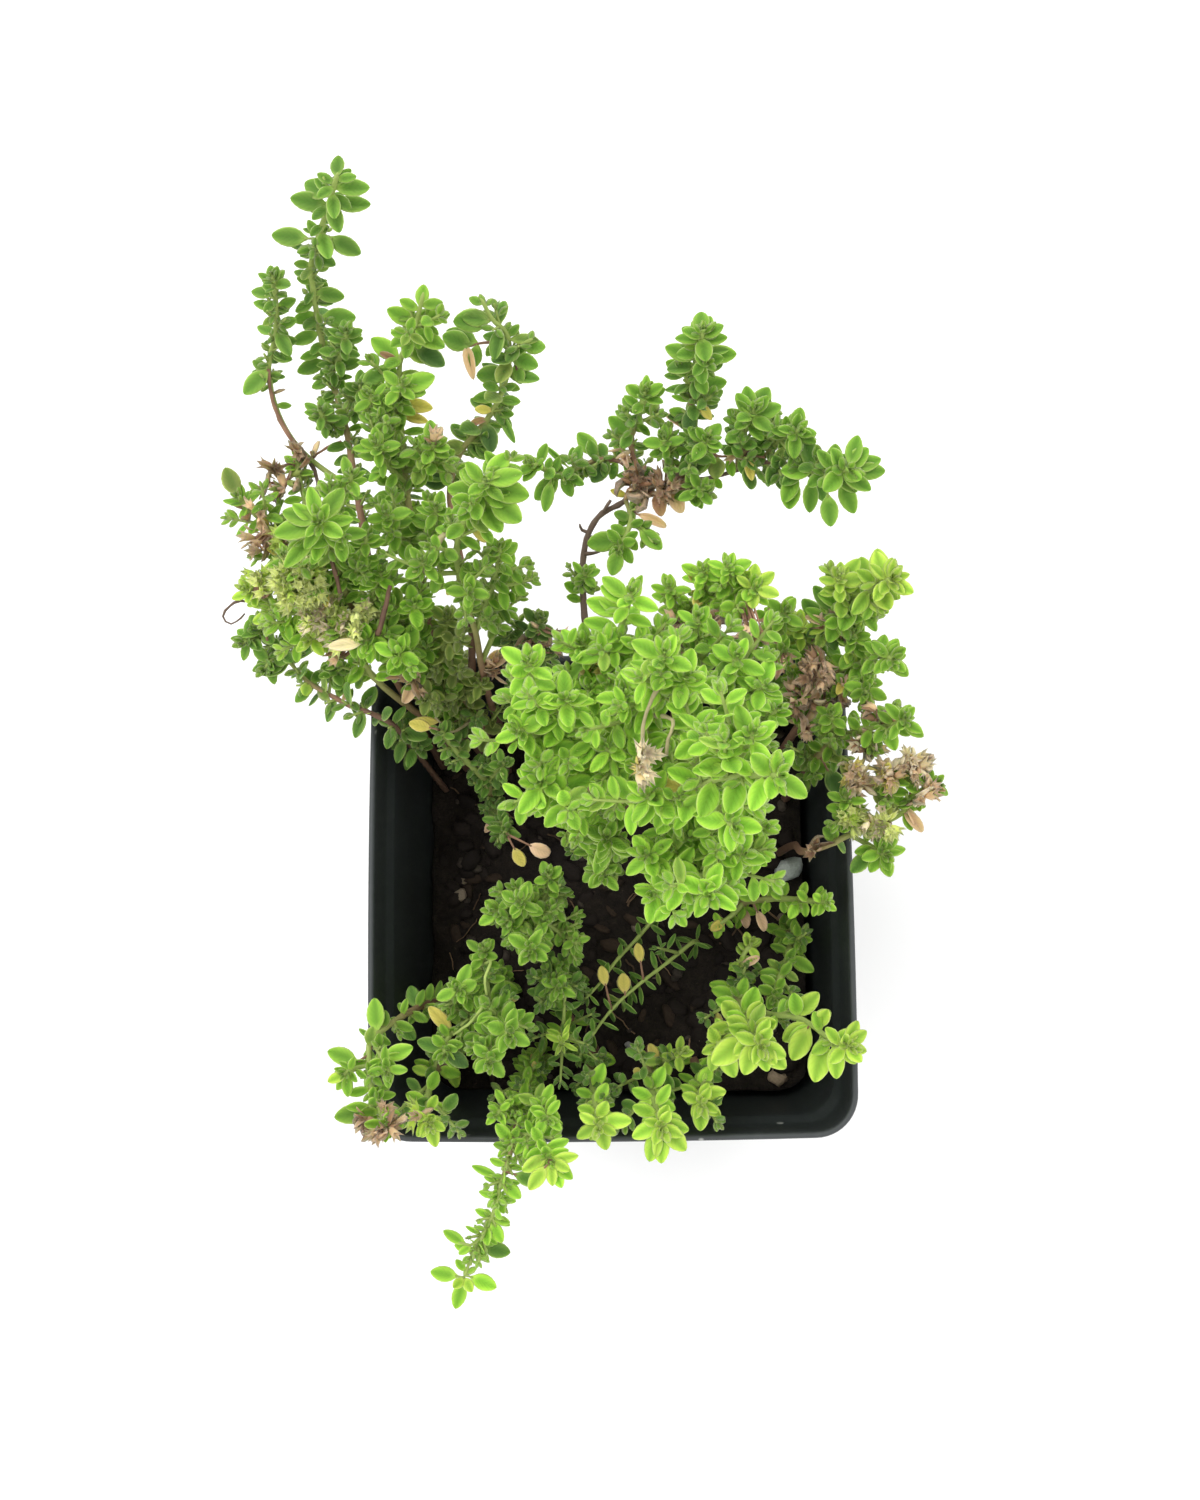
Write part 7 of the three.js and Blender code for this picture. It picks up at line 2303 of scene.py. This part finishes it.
@dataclass
class Pot:
    """The square nursery pot with its collar, lip and drain holes."""

    lip: float = 0.6
    foot: float = 0.8
    cove: float = 1.2
    drain: float = 4.0
    drain_place: float = 17.0
    corner_steps: int = 12
    side_steps: int = 10

    def profile(self) -> list[tuple[float, float, float]]:
        """Trace the wall from its foot up outside and down inside.

        Returns:
            Height, half width and corner radius at each ring.
        """
        body_top = POT_HEIGHT - COLLAR_HEIGHT
        edge = RIM_HALF - COLLAR_FLARE
        rows = []

        def put(z: float, half: float, inset: float = 0.0) -> None:
            """Add a ring."""
            rows.append((z, half, pot_corner(z) - inset))

        def put_wall(levels: Sequence[float], more: float = 0.0) -> None:
            """Add rings of the wall's inside."""
            for z in levels:
                put(z, pot_half(z) - WALL + more, WALL)

        arc = [turn / 3 * QUARTER for turn in range(4)]
        for angle in arc:
            inset = self.foot * (1 - math.sin(angle))
            put(self.foot * (1 - math.cos(angle)), pot_half(self.foot) - inset, inset)
        for z in np.linspace(6, body_top - 1.2, 12):
            put(z, pot_half(z))
        put(body_top - 0.75, pot_half(body_top - 0.75) + 0.05)
        put(body_top - 0.45, pot_half(body_top - 0.45) + 0.3)
        put(body_top - 0.1, edge - 0.25)
        put(body_top + 0.35, edge + 0.02)
        for z in (body_top + 1.2, body_top + 4, POT_HEIGHT - 3.2):
            put(z, pot_half(z))
        put(POT_HEIGHT - 1.5, RIM_HALF - 0.08)
        for turn in range(7):
            angle = turn / 6 * math.pi
            out = self.lip * math.cos(angle)
            put(POT_HEIGHT - self.lip * (1 - math.sin(angle)), RIM_HALF - WALL / 2 + out, WALL / 2 - out)
        put_wall((POT_HEIGHT - 1.5, POT_HEIGHT - 4, body_top + 2.6))
        put_wall((body_top + 1.3,), -0.25)
        put(body_top + 0.3, pot_half(body_top) - WALL + 0.15, WALL)
        put_wall((body_top - 0.6, *np.linspace(body_top - 6, FLOOR + 2.2, 12)))
        for angle in arc:
            inset = self.cove * (1 - math.cos(angle))
            half = pot_half(FLOOR + self.cove) - WALL - inset
            put(FLOOR + self.cove * (1 - math.sin(angle)), half, WALL + inset)
        return rows

    def build(self, plastic: Material) -> Solid:
        """Build the pot.

        Args:
            plastic: Its material.

        Returns:
            The finished piece.
        """
        rings = []
        for z, half, corner in self.profile():
            flat = square_ring(half, corner, self.corner_steps, self.side_steps, SIDE_BOW)
            rings.append(np.column_stack([flat, np.full(len(flat), z)]))
        points = np.concatenate(rings + [np.array([[0, 0, 0.0], [0, 0, FLOOR]])])
        pool = MeshPool()
        pool.put(points, skin(len(rings), len(rings[0])), np.zeros(3), np.zeros(3), 0)
        pot = pool.make("nursery_pot", (plastic,))
        self.drill(pot)
        return pot

    def drill(self, pot: Solid) -> None:
        """Cut the four drain holes.

        Args:
            pot: The pot.
        """
        cutter = bmesh.new()
        for x in (-self.drain_place, self.drain_place):
            for y in (-self.drain_place, self.drain_place):
                where = Matrix.Translation(Vector((x, y, FLOOR / 2)) * MM)
                bmesh.ops.create_cone(cutter, cap_ends=True, segments=32, radius1=self.drain * MM,
                                      radius2=self.drain * MM, depth=4 * MM, matrix=where)
        mesh = bpy.data.meshes.new("drain_cutter")
        cutter.to_mesh(mesh)
        cutter.free()
        tool = add_object("drain_cutter", mesh)
        cut = pot.modifiers.new("drains", "BOOLEAN")
        cut.operation, cut.solver, cut.object = "DIFFERENCE", "EXACT", tool
        drilled = bpy.data.meshes.new_from_object(pot.evaluated_get(bpy.context.evaluated_depsgraph_get()))
        pot.modifiers.clear()
        pot.data = drilled
        bpy.data.objects.remove(tool)
        drilled.shade_smooth()
        drilled.set_sharp_from_angle(angle=math.radians(50))


@dataclass
class Soil:
    """The peat in the pot."""

    cells: int = 110
    gap: float = 0.35
    bottom: float = 2.1
    rough_height: float = 1.0
    grain_height: float = 0.45
    HALVINGS: ClassVar[int] = 26
    DEPTHS: ClassVar[Spot] = (14.0, 34.0)

    def edge(self, angles: Array, z: float) -> Array:
        """Find how far the pot's inside is from its axis.

        Args:
            angles: Directions about the axis.
            z: Height.

        Returns:
            The distances in millimetres.
        """
        half = pot_half(z) - WALL - self.gap
        corner = pot_corner(z) - WALL
        low, high = np.full_like(angles, half * 0.9), np.full_like(angles, half * 1.5)
        for _ in range(self.HALVINGS):
            reach = (low + high) / 2
            inside = square_distance(reach * np.cos(angles), reach * np.sin(angles), half, corner) < 0
            low, high = np.where(inside, reach, low), np.where(inside, high, reach)
        return reach

    def surface(self, x: float, y: float) -> float:
        """Measure the finer top, with its rough parts and grains.

        Args:
            x: Place across the soil.
            y: Place along the soil.

        Returns:
            Its height in millimetres.
        """
        rough = noise.fractal(Vector((x * 0.16, y * 0.16, 3.1)), 0.9, 2.1, 5)
        grains = noise.fractal(Vector((x * 0.7, y * 0.7, 8.4)), 0.8, 2.1, 3)
        return float(soil_top(x, y)) + self.rough_height * rough + self.grain_height * grains

    def build(self, peat: Material) -> Solid:
        """Build the body of soil with its crumbly top.

        Args:
            peat: Its material.

        Returns:
            The finished piece.
        """
        pool = MeshPool()
        line = np.linspace(-1, 1, self.cells + 1)
        u, v = np.meshgrid(line, line, indexing="ij")
        share = np.maximum(np.abs(u), np.abs(v))
        angle = np.arctan2(v, u)
        reach = self.edge(angle, SOIL_LEVEL - 4)
        x, y = share * reach * np.cos(angle), share * reach * np.sin(angle)
        top = np.array([[a, b, self.surface(a, b)] for a, b in zip(x.ravel(), y.ravel())])
        n, size = self.cells, self.cells + 1
        i, j = np.meshgrid(np.arange(n), np.arange(n), indexing="ij")
        a = i * size + j
        quads = np.stack([a, a + size, a + size + 1, a + 1], axis=-1).reshape(-1, 4)
        loop = [(i, 0) for i in range(n)] + [(n, j) for j in range(n)]
        loop += [(i, n) for i in range(n, 0, -1)] + [(0, j) for j in range(n, 0, -1)]
        border = np.array([i * size + j for i, j in loop])
        angles = np.arctan2(top[border, 1], top[border, 0])
        rings = [top]
        levels = (SOIL_LEVEL - self.DEPTHS[0], SOIL_LEVEL - self.DEPTHS[1], self.bottom)
        for z in levels:
            far = self.edge(angles, z)
            rings.append(np.column_stack([far * np.cos(angles), far * np.sin(angles), np.full(len(far), z)]))
        points = np.concatenate(rings + [np.array([[0, 0, self.bottom]])])
        faces = [quads]
        count = len(border)
        above = border
        for ring in range(len(levels)):
            below = size * size + ring * count + np.arange(count)
            faces.append(np.stack([above, below, np.roll(below, -1), np.roll(above, -1)], axis=1))
            above = below
        centre = np.full(count, len(points) - 1)
        faces.append(np.stack([centre, np.roll(above, -1), above], axis=1))
        pool.put(points, faces, np.zeros(3), np.zeros(3), 0)
        return pool.make("peat_soil", (peat,))


@dataclass
class Litter:
    """The crumbs, lumps and fibres that lie on the soil."""

    soil: Soil
    crumbs: int = 420
    fibres: int = 46
    margin: float = 1.5
    corner: float = 6.0
    fibre_tint: Colour = (0.20, 0.13, 0.075)
    fibre_steps: int = 8
    lump_form: Place = (1.2, 1.0, 0.7)
    bulge: float = 0.42
    sunk: float = 0.25

    # Kinds of crumbs: share of them, colour, least and greatest radius, form
    KINDS: ClassVar = (
        (0.60, (0.016, 0.011, 0.008), (0.7, 2.0), (1.4, 1.0, 0.55)),
        (0.24, (0.036, 0.023, 0.014), (0.6, 1.6), (1.9, 0.9, 0.4)),
        (0.11, (0.060, 0.048, 0.036), (0.5, 1.2), (1.2, 1.0, 0.8)),
        (0.04, (0.160, 0.125, 0.090), (0.5, 1.3), (1.2, 1.0, 0.8)),
        (0.01, (0.420, 0.410, 0.390), (0.4, 0.8), (1.1, 1.0, 0.9)),
    )
    # Lumps that show in the picture: where each is seen, its radius and its colour
    LUMPS: ClassVar = (
        (-27.0, 32.0, 2.0, (0.42, 0.30, 0.19)), (30.5, -37.0, 1.7, (0.36, 0.27, 0.18)),
        (-28.0, 0.0, 1.4, (0.30, 0.24, 0.17)), (14.5, -31.0, 1.6, (0.30, 0.13, 0.08)),
        (35.4, 4.2, 2.5, (0.66, 0.72, 0.66)),
    )

    def __post_init__(self) -> None:
        """Start the draws and shape the ball that every bit is made of."""
        self.rng = np.random.default_rng(7)
        self.pool = MeshPool()
        self.half = pot_half(SOIL_LEVEL) - WALL - self.margin
        ball = bmesh.new()
        bmesh.ops.create_icosphere(ball, subdivisions=2, radius=1.0)
        self.ball = np.array([tuple(vert.co) for vert in ball.verts])
        self.faces = np.array([[vert.index for vert in face.verts] for face in ball.faces])
        ball.free()

    def build(self, finish: Material) -> Solid:
        """Lay bark, grit, perlite and fibres on the soil.

        Args:
            finish: Their material.

        Returns:
            The finished piece.
        """
        shares = np.cumsum([kind[0] for kind in self.KINDS])
        for _ in range(self.crumbs):
            x, y = self.rng.uniform(-self.half, self.half, 2)
            kind = int(np.searchsorted(shares, self.rng.random() * shares[-1]))
            _, tint, sizes, form = self.KINDS[kind]
            size = self.rng.uniform(*sizes)
            if square_distance(x, y, self.half - size, self.corner) <= 0:
                self.put_lump(x, y, size, form, tint)
        for x, y, size, tint in self.LUMPS:
            x, y, _ = np.clip(seen(x, y, soil_top(x, y)), 2 - self.half, self.half - 2)
            self.put_lump(x, y, size, self.lump_form, tint)
        for _ in range(self.fibres):
            self.put_fibre()
        return self.pool.make("soil_crumbs", (finish,))

    def put_lump(self, x: float, y: float, size: float, form: Place, tint: Colour) -> None:
        """Add one bit, half sunk in the soil.

        Args:
            x: Place across the soil.
            y: Place along the soil.
            size: Its radius.
            form: Its length, width and height over its radius.
            tint: Its colour.
        """
        offset = Vector(tuple(self.rng.uniform(0, 50, 3)))
        waves = [noise.noise(Vector(tuple(row)) * 1.5 + offset) for row in self.ball]
        bulge = 1 + self.bulge * np.array(waves)
        points = self.ball * bulge[:, None] * np.array(form) * size
        turn = self.rng.uniform(0, 2 * math.pi)
        tip = self.rng.normal(0, 0.3)
        spin = Matrix.Rotation(turn, 3, "Z") @ Matrix.Rotation(tip, 3, "X")
        z = self.soil.surface(x, y) + self.sunk * size * form[2]
        points = points @ np.array(spin).T + np.array([x, y, z])
        self.pool.put(points, [self.faces], np.array(tint) * self.rng.uniform(0.7, 1.3), np.zeros(3), 0)

    def put_fibre(self) -> None:
        """Add one thin dry fibre that follows the soil."""
        x, y = self.rng.uniform(-self.half + 5, self.half - 5, 2)
        heading = self.rng.uniform(0, 2 * math.pi)
        step = self.rng.uniform(3, 10) / self.fibre_steps
        rows = []
        for _ in range(self.fibre_steps + 1):
            if square_distance(x, y, self.half, self.corner) > -0.5:
                break
            rows.append((x, y, self.soil.surface(x, y) + self.sunk + 0.3 * self.rng.random()))
            heading += self.rng.normal(0, 0.28)
            x += math.cos(heading) * step
            y += math.sin(heading) * step
        if len(rows) > 3:
            tint = np.array(self.fibre_tint) * self.rng.uniform(0.4, 1.5)
            radii = np.full(len(rows), self.rng.uniform(0.1, 0.24))
            self.pool.tube(np.array(rows), radii, tint, 0.0, 0, 5)


@dataclass
class Studio:
    """The pale floor, the soft lights and the camera."""

    floor_size: float = 4.0
    world: float = 1.12

    # Panels of light: name, place in metres, side and power; all of them face the plant
    LIGHTS: ClassVar = (
        ("key", (-0.45, 0.30, 0.95), 0.7, 5.0),
        ("fill", (0.7, -0.35, 0.8), 0.9, 2.2),
        ("back", (0.1, 0.85, 0.6), 0.6, 1.0),
    )
    PLANT: ClassVar[Place] = (0.0, 0.02, 0.1)

    def build(self) -> None:
        """Set up the camera, the lights and the floor."""
        self.place_camera()
        self.hang_lights()
        mesh = bpy.data.meshes.new("floor")
        half = self.floor_size / 2
        corners = [(-half, -half, 0), (half, -half, 0), (half, half, 0), (-half, half, 0)]
        mesh.from_pydata(corners, [], [(0, 1, 2, 3)])
        mesh.materials.append(FloorFinish().make())
        add_object("floor", mesh)

    def place_camera(self) -> None:
        """Put the camera where the picture was taken from."""
        data = bpy.data.cameras.new("camera")
        data.sensor_width, data.lens = 36.0, LENS
        data.clip_start, data.clip_end = 0.01, 20.0
        ahead = Vector(AIM - EYE).normalized()
        right = ahead.cross(Vector((0, 1, 0))).normalized()
        top = right.cross(ahead)
        roll = math.radians(CAMERA_ROLL)
        across = right * math.cos(roll) + top * math.sin(roll)
        above = top * math.cos(roll) - right * math.sin(roll)
        facing = Matrix((across, above, -ahead)).transposed()
        camera = add_object("camera", data)
        camera.matrix_world = Matrix.Translation(Vector(EYE) * MM) @ facing.to_4x4()
        bpy.context.scene.camera = camera

    def hang_lights(self) -> None:
        """Hang three soft panels and fill the rest with even light."""
        for name, place, size, power in self.LIGHTS:
            data = bpy.data.lights.new(name, "AREA")
            data.size, data.energy = size, power
            lamp = add_object(name, data)
            lamp.location = place
            lamp.rotation_euler = (Vector(self.PLANT) - Vector(place)).to_track_quat("-Z", "Y").to_euler()
        world = bpy.data.worlds.new("studio")
        world.use_nodes = True
        back = world.node_tree.nodes["Background"]
        back.inputs[0].default_value = (1.0, 1.0, 1.0, 1.0)
        back.inputs[1].default_value = self.world
        bpy.context.scene.world = world
        bpy.context.scene.view_settings.view_transform = "Standard"


def finish_piece(piece: Solid, nodes: Sequence[str] = ()) -> None:
    """Attach a piece to the part and report it.

    Args:
        piece: The piece.
        nodes: Solids that it stands for.
    """
    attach(piece, "root")
    if nodes:
        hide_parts(*nodes)
    triangles = sum(len(face.vertices) - 2 for face in piece.data.polygons)
    log.info("%s: %d triangles", piece.name, triangles)


def write_sizes() -> None:
    """Update the view layer."""
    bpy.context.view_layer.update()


def main() -> None:
    """Build the studio, the pot, the soil and every leafy stem."""
    logging.basicConfig(level=logging.INFO, format="%(message)s")
    Studio().build()
    finish_piece(Pot().build(PotFinish().make()), ["pot"])
    soil = Soil()
    finish_piece(soil.build(SoilFinish().make()), ["soil"])
    finish_piece(Litter(soil).build(CrumbFinish("soil_bits").make()))
    leaf, bark = LeafFinish().make(), StemFinish().make()
    for owner, stem in enumerate(STEMS):
        piece = Foliage(stem, owner).build(leaf, bark)
        finish_piece(piece, [f"leafy_stem_{stem.name}"])
    write_sizes()


if __name__ == "__main__":
    main()
